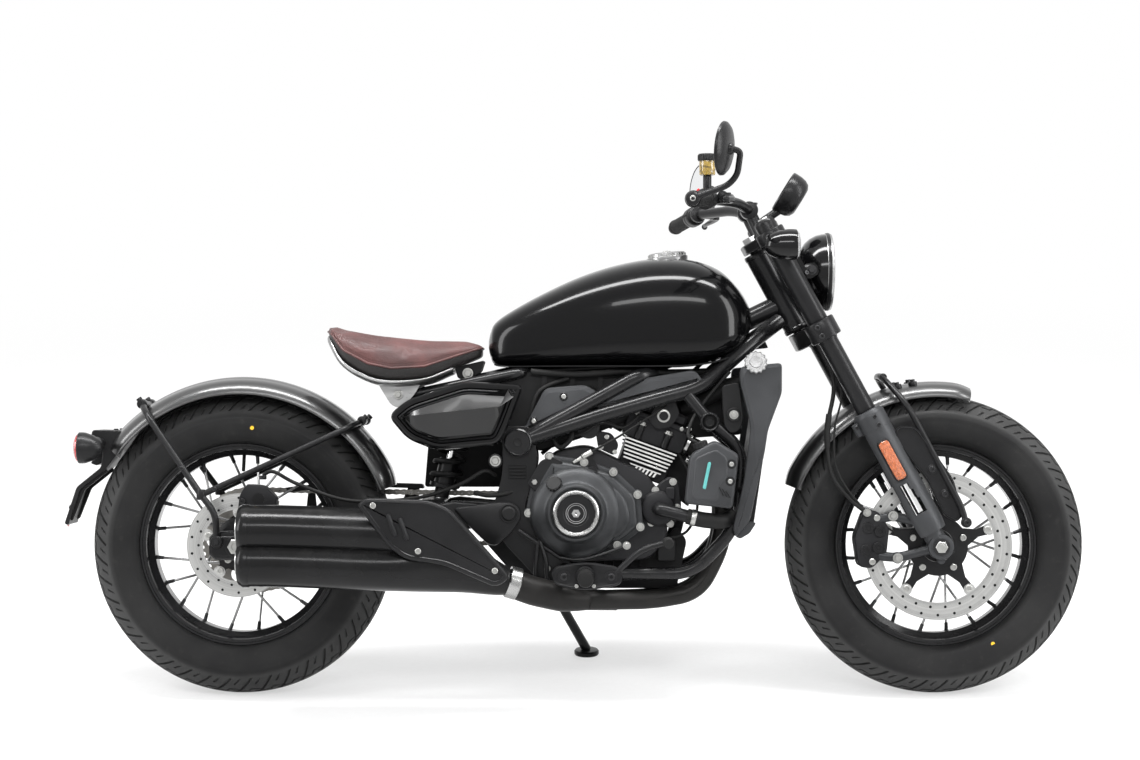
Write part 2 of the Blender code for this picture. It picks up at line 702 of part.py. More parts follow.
def mirrors():
    for side, name in SIDES:
        end = Vector(BAR_POINTS[0])
        facing = Vector((-0.93, -side * 0.34, 0.10)).normalized()
        centre = Vector((1.008, side * 0.445, 1.127))
        start = Vector((end.x, side * (end.y + 0.001), end.z))
        shapes = [turned([(0.0, 0.0145), (0.012, 0.0145), (0.016, 0.010)], start, (0, side, 0), 12),
                  pipe([start + Vector((0, side * 0.008, 0)), (1.016, side * 0.425, 1.056),
                        (1.034, side * 0.432, 1.076), (1.040, side * 0.436, 1.122), (1.018, side * 0.443, 1.127)],
                       0.0065, 0.02, 6),
                  turned([(-0.012, 0.022), (-0.007, 0.043), (0.0, 0.054), (0.005, 0.053)], centre, facing, 14)]
        add("mirror_" + name, seated(shapes, [bar_pipe()]), "black_satin", "steering")


def caliper_block(centre, points, low, high):
    """A block beside the wheel from (radius, degrees) corners about the axle."""
    rings = []
    for y in (low, high):
        ring = []
        for radius, angle in points:
            turn = math.radians(angle)
            ring.append(Vector(centre) + Vector((radius * math.cos(turn), y, radius * math.sin(turn))))
        rings.append(ring)
    return loft(rings)


def disc_slot(disc, centre):
    """The room that a disc needs inside its caliper."""
    low, high = disc["y"]
    reach = disc["radius"] + 0.006
    return turned([(low - 0.005, reach), (high + 0.005, reach)], centre, (0, 1, 0), 32)


def front_caliper_shapes():
    """Caliper block behind the leg, and its two arms from the fork lug."""
    corners = ((0.112, 190.0), (0.176, 196.0), (0.182, 174.0), (0.176, 152.0), (0.112, 158.0))
    upper = [(1.352, -0.097, 0.376), (1.385, -0.100, 0.385), steer(FORK_OFFSET, -LEG_SPREAD, 0.052)]
    lower = [(1.356, -0.097, 0.300), (1.395, -0.100, 0.296), steer(FORK_OFFSET, -LEG_SPREAD, 0.0)]
    return [caliper_block(FRONT_AXLE, corners, -0.105, -0.042), pipe(upper, 0.009, 0.02, 8),
            pipe(lower, 0.009, 0.02, 8)]


def front_caliper():
    block, *arms = front_caliper_shapes()
    block = cut(block, [disc_slot(FRONT_DISC, FRONT_AXLE)])
    add("front_caliper", seated([block] + arms, [fork_tube(-1.0)] + fork_foot(-1.0)), "dark_grey", "steering")


def brake_hose():
    path = [steer(0.030, -0.064, LOWER_CLAMP[0] + 0.001), steer(0.024, -0.066, 0.46), (1.262, -0.085, 0.650),
            (1.247, -0.098, 0.566), (1.252, -0.098, 0.470), (1.310, -0.096, 0.410), (1.330, -0.095, 0.385)]
    hose = pipe(path, 0.0045, 0.05, 6)
    add("brake_hose", seated([hose], clamp_shapes() + front_caliper_shapes()), "rubber", "steering")


# Frame and swingarm

def long_tube(side):
    return pipe([(0.593, side * 0.125, 0.541), (0.766, side * 0.122, 0.598), (0.892, side * 0.120, 0.634),
                 (0.977, side * 0.112, 0.656), (1.072, side * 0.072, 0.740), (1.152, side * 0.020, 0.800)],
                LONG_RADIUS, 0.05)


def upper_tube():
    half = [(0.593, -0.125, 0.541), (0.850, -0.120, 0.683), (0.885, -0.080, 0.683)]
    return pipe(half + [(x, -y, z) for x, y, z in reversed(half)], UPPER_RADIUS, 0.03)


def spine_tube():
    return pipe([(1.160, 0, 0.838), (1.020, 0, 0.770), (0.885, 0, 0.706), (0.620, 0, 0.690), (0.495, 0, 0.662)],
                SPINE_RADIUS, 0.05)


def cradle_tube(side):
    return pipe([(0.950, side * 0.118, 0.640), (0.996, side * 0.120, 0.584), (1.066, side * 0.115, 0.525),
                 (1.052, side * 0.110, 0.360), (0.962, side * 0.100, 0.263), (0.655, side * 0.110, 0.263)],
                CRADLE_RADIUS, 0.045)


def seat_rail(side):
    return pipe([(0.330, side * 0.074, 0.633), (0.500, side * 0.082, 0.668), (0.600, side * 0.082, 0.688),
                 (0.640, 0.0, 0.690)], RAIL_RADIUS, 0.03, 6)


def seat_strut(side):
    return pipe([(0.593, side * 0.112, 0.541), (0.330, side * 0.074, 0.633)], RAIL_RADIUS, 0.03, 6)


def frame_boss(side):
    """The round casting that joins the long tube, the upper tube and the pivot plate."""
    return rod((0.593, side * 0.100, 0.541), (0.593, side * 0.147, 0.541), 0.030, 14)


def front_node(side):
    return rod((0.996, side * 0.100, 0.584), (0.996, side * 0.142, 0.584), 0.021, 12)


def pivot_boss(side):
    return rod((PIVOT[0], side * 0.120, PIVOT[1]), (PIVOT[0], side * 0.132, PIVOT[1]), 0.020, 12)


def lower_cross():
    return rod((0.665, -0.110, 0.263), (0.665, 0.110, 0.263), CRADLE_RADIUS, 10)


def shock_cross():
    return rod((0.480, -0.078, 0.655), (0.480, 0.078, 0.655), 0.014, 10)


def arm_cross():
    return box((0.385, -0.118, 0.362), (0.440, 0.118, 0.420))


def pivot_plate(side):
    outline = [(0.560, 0.575), (0.622, 0.575), (0.636, 0.500), (0.606, 0.400), (0.676, 0.292), (0.680, 0.252),
               (0.640, 0.246), (0.562, 0.330), (0.536, 0.392), (0.560, 0.470)]
    return slab(outline, [(side * PLATE_Y[0], 0.0), (side * PLATE_Y[1], 0.0)])


STAND_PIVOT = Vector((0.640, 0.152, 0.262))
STAND_FOOT = Vector((0.740, 0.275, 0.275 * math.tan(LEAN)))
STAND_FOLDED = Vector((-0.268, 0.045, 0.022))
STAND_AXIS = (STAND_FOOT - STAND_PIVOT).cross(STAND_FOLDED).normalized()


def stand_boss():
    return rod(STAND_PIVOT - STAND_AXIS * 0.048, STAND_PIVOT - STAND_AXIS * 0.0127, 0.018, 12)


def main_frame():
    shapes = [rod(steer(0, 0, HEAD_TUBE[0]), steer(0, 0, HEAD_TUBE[1]), HEAD_RADIUS, 14), spine_tube(),
              upper_tube(), stand_boss()]
    for side in (-1.0, 1.0):
        shapes += [long_tube(side), cradle_tube(side), seat_rail(side), pivot_plate(side), seat_strut(side),
                   frame_boss(side), front_node(side), pivot_boss(side)]
        cover = [(0.690, 0.590), (0.860, 0.676), (0.965, 0.694), (0.985, 0.668), (0.880, 0.640), (0.770, 0.606)]
        shapes.append(slab(cover, [(side * 0.116, 0.0), (side * 0.124, 0.0)]))
        small = [(0.600, 0.560), (0.650, 0.655), (0.735, 0.662), (0.770, 0.640), (0.640, 0.565)]
        shapes.append(slab(small, [(side * 0.116, 0.0), (side * 0.123, 0.0)]))
    shapes += [lower_cross(), shock_cross()]
    bore = rod(steer(0, 0, HEAD_TUBE[0] - 0.02), steer(0, 0, HEAD_TUBE[1] + 0.02), STEM_RADIUS + 0.0015, 10)
    add("main_frame", cut(union(shapes), [bore]), "black_satin")


ARM = [(0.602, 0.086, 0.374, 0.404), (0.540, 0.086, 0.367, 0.411), (0.460, ARM_Y[0], 0.352, 0.418),
       (0.060, ARM_Y[0], 0.292, 0.358), (-0.044, ARM_Y[0], 0.293, 0.353), (-0.056, ARM_Y[0], 0.304, 0.342)]


def arm_mesh(side):
    """One swingarm leg: inside the pivot plates in front, outside the wheel behind."""
    rings = []
    for x, inner, low, high in ARM:
        outer = min(inner + ARM_Y[1] - ARM_Y[0], PLATE_Y[0] - GAP) if x > 0.5 else ARM_Y[1]
        soft = 0.18 * (high - low)
        ring = [(inner, low), (outer - 0.006, low), (outer, low + soft), (outer, high - soft),
                (outer - 0.006, high), (inner, high)]
        rings.append([Vector((x, side * y, z)) for y, z in ring])
    return loft(rings)


def axle_nut(side):
    return rod((0.0, side * 0.120, REAR_AXLE.z), (0.0, side * 0.146, REAR_AXLE.z), 0.017, 6)


def swingarm_shapes():
    shapes = [rod((PIVOT[0], -PLATE_Y[0] + GAP, PIVOT[1]), (PIVOT[0], PLATE_Y[0] - GAP, PIVOT[1]), 0.024, 16),
              arm_cross()]
    for side in (-1.0, 1.0):
        shapes += [arm_mesh(side), axle_nut(side)]
    shapes.append(rod((0.0, -0.120, REAR_AXLE.z), (0.0, 0.120, REAR_AXLE.z), 0.010, 12))
    return shapes


def swingarm():
    plates = [pivot_plate(-1.0), pivot_plate(1.0)]
    add("swingarm", seated(swingarm_shapes(), plates), "black_satin")


def rear_shock():
    low, high = Vector((0.420, 0.0, 0.405)), Vector((0.480, 0.0, 0.655))
    length = (high - low).length
    points = [(0.0, 0.016), (0.035, 0.016), (0.036, 0.030)]
    turns = 4
    for i in range(turns):
        start = 0.044 + i * 0.034
        points += [(start, 0.036), (start + 0.010, 0.036), (start + 0.013, 0.028), (start + 0.021, 0.028)]
    points += [(0.186, 0.034), (0.196, 0.034), (0.198, 0.016), (length, 0.016)]
    body = turned(points, low, high - low, 8)
    add("rear_shock", seated([body], [shock_cross(), arm_cross(), spine_tube()]), "steel")


# Bodywork

def tank_sections():
    """Tank stations: x, bottom, top, half width."""
    return [(0.530, 0.722, 0.776, 0.040), (0.542, 0.706, 0.796, 0.062), (0.575, 0.701, 0.820, 0.083),
            (0.640, 0.701, 0.856, 0.105), (0.720, 0.701, 0.893, 0.126), (0.800, 0.701, 0.919, 0.142),
            (0.880, 0.701, 0.933, 0.150), (0.960, 0.703, 0.931, 0.150), (1.020, 0.713, 0.910, 0.140),
            (1.060, 0.735, 0.873, 0.116), (1.082, 0.765, 0.840, 0.082), (1.090, 0.788, 0.818, 0.044)]


def tank_ring(x, low, high, half):
    """A rounded section, fuller below the middle, with a flat floor."""
    ring = []
    count = 20
    for i in range(count):
        angle = 2.0 * math.pi * (i + 0.5) / count
        c, s = math.cos(angle), math.sin(angle)
        power = 0.72 if s > 0 else 0.42
        y = half * math.copysign(abs(c) ** 0.80, c)
        middle = low + 0.42 * (high - low)
        rise = (high - middle) if s > 0 else (middle - low)
        ring.append(Vector((x, y, middle + rise * math.copysign(abs(s) ** power, s))))
    return ring


def fuel_tank():
    shell = loft([tank_ring(*station) for station in tank_sections()])
    tunnel = slab([(0.45, 0.60), (1.20, 0.60), (1.20, 0.875), (1.02, 0.812), (0.88, 0.745), (0.45, 0.725)],
                  [(-0.038, 0.0), (0.038, 0.0)])
    neighbours = [spine_tube(), long_tube(-1.0), long_tube(1.0), upper_tube()]
    mesh = cut(shell, [tunnel] + [grown(n) for n in neighbours] + [grown(cap_mesh())])
    add("fuel_tank", mesh, "black_gloss", crease=50.0)


def cap_mesh():
    up = Vector((-0.10, 0.0, 1.0))
    return turned([(-0.010, 0.030), (0.000, 0.036), (0.003, 0.041), (0.010, 0.041), (0.013, 0.037)],
                  (0.912, 0.0, 0.934), up, 20)


def fuel_cap():
    add("fuel_cap", cap_mesh(), "alloy")


SEAT = [(0.188, 0.768, 0.774, 0.788, 0.060), (0.196, 0.752, 0.770, 0.786, 0.105),
        (0.226, 0.708, 0.732, 0.776, 0.138), (0.278, 0.678, 0.704, 0.766, 0.146),
        (0.327, 0.669, 0.694, 0.760, 0.142), (0.394, 0.674, 0.698, 0.754, 0.118),
        (0.446, 0.694, 0.716, 0.753, 0.088), (0.500, 0.715, 0.734, 0.752, 0.062),
        (0.514, 0.722, 0.738, 0.748, 0.048)]


def seat_ring(x, low, edge, top, half):
    """Domed cushion section: base, upright edge band, and a crown across."""
    ring = [(-half * 0.5, low), (-half * 0.94, low), (-half, low + 0.25 * (edge - low)), (-half, edge)]
    for part in (-0.80, -0.45, 0.0, 0.45, 0.80):
        ring.append((half * part, edge + (top - edge) * (1.0 - abs(part) ** 2.2)))
    ring += [(half, edge), (half, low + 0.25 * (edge - low)), (half * 0.94, low), (half * 0.5, low)]
    return [Vector((x, y, z)) for y, z in ring]


def seat_mesh():
    return loft([seat_ring(*station) for station in SEAT])


def seat():
    add("seat", seat_mesh(), "leather", crease=60.0)


def carrier_mesh():
    """Silver seat pan: a plate that follows the cushion's base."""
    rings = []
    for x, low, _, _, half in SEAT[1:7]:
        wide = half * 0.90
        top_line = low - GAP
        rings.append([Vector((x, -wide, top_line - 0.010)), Vector((x, wide, top_line - 0.010)),
                      Vector((x, wide, top_line)), Vector((x, -wide, top_line))])
    return loft(rings)


def seat_carrier():
    shapes = [carrier_mesh()]
    ear = [(0.300, 0.665), (0.385, 0.668), (0.352, 0.622), (0.338, 0.614), (0.324, 0.622)]
    for side in (-1.0, 1.0):
        shapes.append(slab(ear, [(side * 0.0885, 0.0), (side * 0.0965, 0.0)]))
        shapes.append(rod((0.339, side * (0.074 + RAIL_RADIUS), 0.641), (0.339, side * 0.092, 0.641), 0.009, 10))
    neighbours = [seat_mesh(), seat_rail(-1.0), seat_rail(1.0), seat_strut(-1.0), seat_strut(1.0)]
    add("seat_carrier", seated(shapes, neighbours), "alloy")


def side_covers():
    outline = [(0.321, 0.597), (0.362, 0.631), (0.480, 0.669), (0.606, 0.662), (0.572, 0.572), (0.554, 0.536),
               (0.423, 0.524), (0.362, 0.548)]
    for side, name in SIDES:
        shapes = [slab(outline, [(side * 0.128, 0.004), (side * 0.132, 0.0), (side * 0.158, 0.0),
                                 (side * 0.164, 0.006), (side * 0.164, 0.012), (side * 0.161, 0.014),
                                 (side * 0.170, 0.026), (side * 0.172, 0.034)])]
        shapes.append(rod((0.470, side * 0.095, 0.600), (0.470, side * 0.135, 0.600), 0.012, 10))
        neighbours = [frame_boss(side), seat_strut(side), long_tube(side), upper_tube()]
        add("side_cover_" + name, seated(shapes, neighbours), "black_gloss")


# Engine

TILT = math.radians(20.0)


def barrel(u, y, v):
    """A point on the forward-leaning cylinders: u ahead across them, v up along them."""
    return Vector((0.80 + u * math.cos(TILT) + v * math.sin(TILT), y,
                   0.455 - u * math.sin(TILT) + v * math.cos(TILT)))


def barrel_block(u0, u1, v0, v1, y0, y1):
    rings = []
    for y in (y0, y1):
        rings.append([barrel(u0, y, v0), barrel(u1, y, v0), barrel(u1, y, v1), barrel(u0, y, v1)])
    return loft(rings)


def head_block():
    return barrel_block(-0.026, 0.112, 0.100, 0.160, -0.094, 0.094)


CASE = [(0.622, 0.452), (0.665, 0.520), (0.740, 0.535), (0.862, 0.476), (0.905, 0.420), (0.910, 0.340),
        (0.870, 0.292), (0.690, 0.288), (0.640, 0.318)]


def case_blocks():
    """The case itself, and its left part ahead of the chain."""
    left = [(0.725, 0.520), (0.862, 0.476), (0.905, 0.420), (0.905, 0.340), (0.865, 0.296), (0.725, 0.296)]
    return [slab(CASE, [(-0.112, 0.012), (-0.104, 0.0), (0.070, 0.0), (0.076, 0.006)]),
            slab(left, [(0.060, 0.0), (0.105, 0.0), (0.112, 0.008)])]


def crankcase():
    shapes = case_blocks()
    shapes.append(turned([(0.100, 0.086), (0.128, 0.084), (0.140, 0.074), (0.146, 0.055), (0.148, 0.030)],
                         (0.800, 0.0, 0.395), (0, 1, 0), 24))
    shapes.append(slab([(0.742, 0.462), (0.660, 0.448), (0.610, 0.410), (0.606, 0.360), (0.650, 0.322),
                        (0.742, 0.312)], [(0.1035, 0.0), (0.1085, 0.0)]))
    mesh = seated(shapes, [lower_cross(), pivot_plate(1.0), pivot_plate(-1.0)])
    add("crankcase", cut(mesh, [chain_room()]), "dark_grey")


def chain_room():
    """The space that the chain runs through beside the crankcase."""
    outline = []
    big, small = pitch_radius(REAR_TEETH) + 0.012, pitch_radius(FRONT_TEETH) + 0.012
    for centre, radius, start in (((REAR_AXLE.x, REAR_AXLE.z), big, 90.0), (FRONT_SPROCKET, small, -90.0)):
        for i in range(9):
            angle = math.radians(start + 22.5 * i)
            outline.append((centre[0] + radius * math.cos(angle), centre[1] + radius * math.sin(angle)))
    return slab(outline, [(SPROCKET_Y - 0.0125, 0.0), (SPROCKET_Y + 0.0125, 0.0)])


def clutch_cover():
    bolts = [(0.655, 0.516), (0.732, 0.504), (0.797, 0.482), (0.851, 0.432), (0.857, 0.360), (0.806, 0.320),
             (0.646, 0.320), (0.608, 0.391), (0.622, 0.460)]
    shapes = [slab(bolts, [(-0.112 - GAP, 0.0), (-0.136, 0.0), (-0.142, 0.006)]),
              turned([(0.130, 0.098), (0.150, 0.094), (0.160, 0.084), (0.166, 0.066), (0.172, 0.060),
                      (0.174, 0.056)], (0.715, 0.0, 0.393), (0, -1, 0), 20),
              turned([(0.168, 0.050), (0.178, 0.050), (0.180, 0.047)], (0.715, 0.0, 0.393), (0, -1, 0), 20)]
    neighbours = [pivot_plate(-1.0)]
    add("clutch_cover", seated(shapes, neighbours), "dark_grey")


def cylinder_head():
    """Cylinders and head in one: the barrel, the side fins, the head and the cam cover."""
    shapes = [barrel_block(-0.012, 0.100, 0.030, 0.104, -0.088, 0.088), head_block(),
              barrel_block(-0.016, 0.100, 0.156, 0.186, -0.084, 0.084)]
    for i in range(7):
        v = 0.0555 + 0.0065 * i
        spread = 0.010 * i / 6.0
        shapes.append(barrel_block(-0.006 - spread, 0.094 + spread, v, v + 0.0032, -0.100, 0.100))
    neighbours = case_blocks() + [upper_tube(), spine_tube(), long_tube(-1.0), long_tube(1.0)]
    add("cylinder_head", seated(shapes, neighbours), "black_satin")


SHROUD_TOP = [(1.098, 0.676), (1.145, 0.668), (1.146, 0.706), (1.090, 0.702)]
SHROUD_BASE = [(1.050, 0.343), (1.066, 0.375), (1.094, 0.372), (1.080, 0.350), (1.060, 0.338)]


def core_mesh():
    return slab([(1.066, 0.372), (1.092, 0.368), (1.136, 0.672), (1.106, 0.680)], [(-0.092, 0.0), (0.092, 0.0)])


def radiator():
    """Core between the down tubes, and the moulded shroud that frames it."""
    add("radiator_core", core_mesh(), "dark_grey")
    panel = [(1.060, 0.700), (1.147, 0.708), (1.147, 0.645), (1.118, 0.567), (1.111, 0.521), (1.079, 0.373),
             (1.050, 0.342), (1.044, 0.360), (1.066, 0.458), (1.082, 0.574), (1.058, 0.672)]
    shapes = []
    for side in (-1.0, 1.0):
        shapes.append(slab(panel, [(side * 0.134, 0.0), (side * 0.146, 0.0), (side * 0.151, 0.005)]))
        shapes.append(rod((1.060, side * 0.112, 0.440), (1.072, side * 0.136, 0.440), 0.010, 8))
    for bar in (SHROUD_TOP, SHROUD_BASE):
        shapes.append(slab(bar, [(-0.140, 0.0), (0.140, 0.0)]))
    neighbours = [core_mesh(), cradle_tube(-1.0), cradle_tube(1.0)]
    add("radiator_shroud", seated(shapes, neighbours), "dark_grey")


def coolant_tank():
    outline = [(0.952, 0.510), (0.965, 0.524), (1.006, 0.546), (1.056, 0.516), (1.043, 0.402), (0.942, 0.413)]
    shapes = [slab(outline, [(-0.132, 0.006), (-0.138, 0.0), (-0.164, 0.0), (-0.170, 0.006)]),
              turned([(0.0, 0.014), (0.012, 0.014), (0.014, 0.012)], (0.980, -0.150, 0.532), (-0.3, 0, 1), 12),
              rod((1.048, -0.115, 0.470), (1.040, -0.136, 0.470), 0.010, 8)]
    add("coolant_tank", seated(shapes, [cradle_tube(-1.0), front_node(-1.0)]), "dark_grey")


# Exhaust

def exhaust_pipes():
    right = [barrel(0.1123, -0.045, 0.128), barrel(0.150, -0.045, 0.124), (1.030, -0.048, 0.460),
             (1.030, -0.052, 0.330), (0.975, -0.062, 0.222), (0.880, -0.080, 0.206), (0.740, -0.128, 0.208)]
    left = [barrel(0.1123, 0.045, 0.128), barrel(0.150, 0.045, 0.124), (1.030, 0.040, 0.460),
            (1.030, 0.030, 0.330), (0.975, 0.000, 0.222), (0.880, -0.030, 0.206), (0.740, -0.112, 0.208)]
    collector = [(0.790, -0.112, 0.207), (0.700, -0.140, 0.212), (0.620, -0.168, 0.232), (0.578, -0.176, 0.250)]
    return [pipe(right, 0.0205, 0.06, 8, 2), pipe(left, 0.0205, 0.06, 8, 2), pipe(collector, 0.030, 0.05, 8)]


def exhaust_header():
    add("exhaust_header", seated(exhaust_pipes(), [head_block()]), "black_satin")


def muffler_ring(x, centre_y, centre_z, half_y, half_z, waist):
    ring = []
    count = 20
    for i in range(count):
        angle = 2.0 * math.pi * (i + 0.5) / count
        c, s = math.cos(angle), math.sin(angle)
        pinch = 1.0 - waist * math.exp(-(s / 0.30) ** 2)
        y = half_y * math.copysign(abs(c) ** 0.75, c) * pinch
        z = half_z * math.copysign(abs(s) ** 0.85, s)
        ring.append(Vector((x, centre_y + y, centre_z + z)))
    return ring


MUFFLER = [(0.572, -0.178, 0.253, 0.030, 0.030, 0.0), (0.540, -0.184, 0.264, 0.036, 0.040, 0.0),
           (0.480, -0.198, 0.290, 0.050, 0.060, 0.0), (0.420, -0.208, 0.310, 0.056, 0.078, 0.05),
           (0.370, -0.211, 0.317, 0.058, 0.084, 0.12), (0.060, -0.211, 0.328, 0.058, 0.085, 0.12),
           (0.034, -0.211, 0.329, 0.058, 0.085, 0.12), (0.022, -0.211, 0.329, 0.053, 0.080, 0.12),
           (0.016, -0.211, 0.329, 0.046, 0.073, 0.12)]


def muffler_body():
    return loft([muffler_ring(*station) for station in MUFFLER])


def muffler():
    bracket = [(0.440, 0.402), (0.470, 0.424), (0.580, 0.418), (0.604, 0.400), (0.600, 0.372), (0.540, 0.335),
               (0.440, 0.345)]
    shapes = [muffler_body(), slab(bracket, [(-0.1323, 0.0), (-0.142, 0.0)]),
              box((0.445, -0.180, 0.346), (0.475, -0.136, 0.376))]
    neighbours = exhaust_pipes() + [pivot_plate(-1.0), pivot_boss(-1.0), arm_mesh(-1.0)]
    add("muffler", seated(shapes, neighbours), "black_satin")


def heat_shield():
    outline = [(0.267, 0.416), (0.285, 0.430), (0.412, 0.426), (0.457, 0.409), (0.582, 0.268), (0.552, 0.246),
               (0.443, 0.293), (0.367, 0.303), (0.330, 0.330)]
    shapes = [slab(outline, [(-0.205, 0.0), (-0.270, 0.0), (-0.279, 0.006), (-0.283, 0.016)])]
    neighbours = [muffler_body()] + exhaust_pipes()
    add("heat_shield", seated(shapes, neighbours), "black_satin")


# Mudguard, tail and brakes at the rear

def rear_fender_shell():
    profile = fender_profile(0.3525, 0.088, 0.030, 0.034)
    return spun(profile, REAR_AXLE, 13, math.radians(21.0), math.radians(123.0))


def rear_fender():
    y = ARM_Y[1] + GAP + 0.0065
    back = [(-0.039, -y, 0.330), (-0.042, -y, 0.392), (-0.073, -0.136, 0.430), (-0.192, -0.106, 0.598),
            (-0.210, 0.0, 0.621)]
    front = [(-0.073, -0.136, 0.430), (0.235, -0.118, 0.572), (0.258, 0.0, 0.584)]
    shapes = [rear_fender_shell()]
    for path, radius in ((back, 0.0070), (front, 0.0065)):
        top_x, _, top_z = path[-1]
        half = path[:-1] + [(top_x, -0.045, top_z)]
        shapes.append(pipe(half + [(x, -yy, z) for x, yy, z in reversed(half)], radius, 0.03, 6))
    for angle in (131.0, 46.0):
        turn = math.radians(angle)
        out = Vector((math.cos(turn), 0.0, math.sin(turn)))
        shapes.append(rod(REAR_AXLE + out * 0.354, REAR_AXLE + out * 0.362, 0.012, 8))
    arms = [arm_mesh(-1.0), arm_mesh(1.0), axle_nut(-1.0), axle_nut(1.0)]
    add("rear_fender", seated(shapes, arms), "black_gloss")


def tail_unit():
    """Lamp bar, two round lamps and the number-plate holder behind the mudguard."""
    holder = [(-0.232, 0.564), (-0.318, 0.566), (-0.322, 0.548), (-0.296, 0.520), (-0.300, 0.486), (-0.352, 0.444),
              (-0.378, 0.366), (-0.370, 0.362), (-0.344, 0.440), (-0.290, 0.482), (-0.276, 0.500)]
    shapes = [slab(holder, [(-0.050, 0.0), (0.050, 0.0)]),
              rod((-0.300, -0.120, 0.538), (-0.300, 0.120, 0.538), 0.011, 10)]
    for side in (-1.0, 1.0):
        shapes.append(turned([(-0.286, 0.014), (-0.306, 0.031), (-0.336, 0.033), (-0.342, 0.024)],
                             (0.0, side * 0.120, 0.529), (1, 0, 0), 12))
    add("tail_unit", seated(shapes, [rear_fender_shell()]), "black_satin")


def rear_caliper():
    inner, outer = -0.066, GAP - ARM_Y[0]
    corners = ((0.070, 40.0), (0.134, 48.0), (0.140, 66.0), (0.134, 84.0), (0.070, 92.0))
    lug = slab([(0.030, 0.352), (0.090, 0.358), (0.085, 0.400), (0.035, 0.400)],
               [(outer, 0.0), (outer + 0.010, 0.0)])
    body = cut(caliper_block(REAR_AXLE, corners, outer, inner), [disc_slot(REAR_DISC, REAR_AXLE)])
    add("rear_caliper", seated([body, lug], [arm_mesh(-1.0)]), "dark_grey")


# Foot controls and side stand

def foot_controls():
    for side, name in SIDES:
        plate = [(0.664, 0.272), (0.672, 0.284), (0.720, 0.292), (0.752, 0.292), (0.800, 0.284), (0.814, 0.270),
                 (0.808, 0.246), (0.750, 0.236), (0.720, 0.236), (0.670, 0.246)]
        shapes = [slab(plate, [(side * 0.190, 0.0), (side * 0.202, 0.0), (side * 0.205, 0.003)])]
        for x in (0.690, 0.788):
            shapes.append(rod((x, side * 0.100, 0.263), (x, side * 0.192, 0.263), 0.010, 10))
        shapes.append(rod((0.734, side * 0.200, 0.265), (0.734, side * 0.222, 0.265), 0.020, 12))
        shapes.append(rod((0.734, side * 0.220, 0.265), (0.734, side * 0.315, 0.265), 0.0165, 12))
        lever = [(0.788, side * 0.196, 0.262), (0.850, side * 0.200, 0.320), (0.905, side * 0.200, 0.335)]
        shapes.append(pipe(lever, 0.008, 0.03, 8))
        shapes.append(rod((0.905, side * 0.192, 0.335), (0.905, side * 0.262, 0.335), 0.011, 10))
        neighbours = [cradle_tube(side)]
        if side > 0:
            neighbours.append(stand_boss())
        add("foot_control_" + name, seated(shapes, neighbours), "black_satin")


def side_stand():
    ground = Vector((0.0, -math.sin(LEAN), math.cos(LEAN)))
    eye = rod(STAND_PIVOT - STAND_AXIS * 0.012, STAND_PIVOT + STAND_AXIS * 0.012, 0.018, 12)
    leg = pipe([STAND_PIVOT, STAND_PIVOT.lerp(STAND_FOOT, 0.5), STAND_FOOT + ground * 0.012], 0.0105, 0.02, 10)
    pad = turned([(0.0, 0.026), (0.008, 0.028), (0.012, 0.024)], STAND_FOOT, ground, 14)
    add("side_stand", union([eye, leg, pad]), "black_satin", "stand")


def centre_on_ground():
    """Shift the root so that the origin is under the middle of the leaning machine."""
    bpy.context.view_layer.update()
    low, high = Vector((1e9,) * 3), Vector((-1e9,) * 3)
    for made in bpy.context.scene.objects:
        if made.type != "MESH":
            continue
        for vert in made.data.vertices:
            point = made.matrix_world @ vert.co
            for axis in range(3):
                low[axis] = min(low[axis], point[axis])
                high[axis] = max(high[axis], point[axis])
    middle = (low + high) / 2.0
    BODIES["chassis"].location = (-round(middle.x, 3), -round(middle.y, 3), 0.0)


remove_old_objects()
BODIES, PLACES = make_bodies()
front_wheel()
rear_wheel()
drive_chain()
fork_legs()
fork_clamps()
fork_guards()
front_fender()
headlight()
lamp_brackets()
handlebar()
controls()
gauge()
mirrors()
front_caliper()
brake_hose()
main_frame()
swingarm()
rear_shock()
fuel_tank()
fuel_cap()
seat()
seat_carrier()
side_covers()
crankcase()
clutch_cover()
cylinder_head()
radiator()
coolant_tank()
exhaust_header()
muffler()
heat_shield()
rear_fender()
tail_unit()
rear_caliper()
foot_controls()
side_stand()
centre_on_ground()
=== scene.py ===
"""The dressed motorcycle: fine surfaces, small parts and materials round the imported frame.

Shapes are drawn on the upright machine: X forward from the rear axle, Y to the rider's left, Z up
from the ground, in metres. WORLD then leans them over onto the side stand, where the frame is.
"""
import collections
import json
import math
import random

import bmesh
import bpy
from mathutils import Matrix, Vector
from mathutils.bvhtree import BVHTree


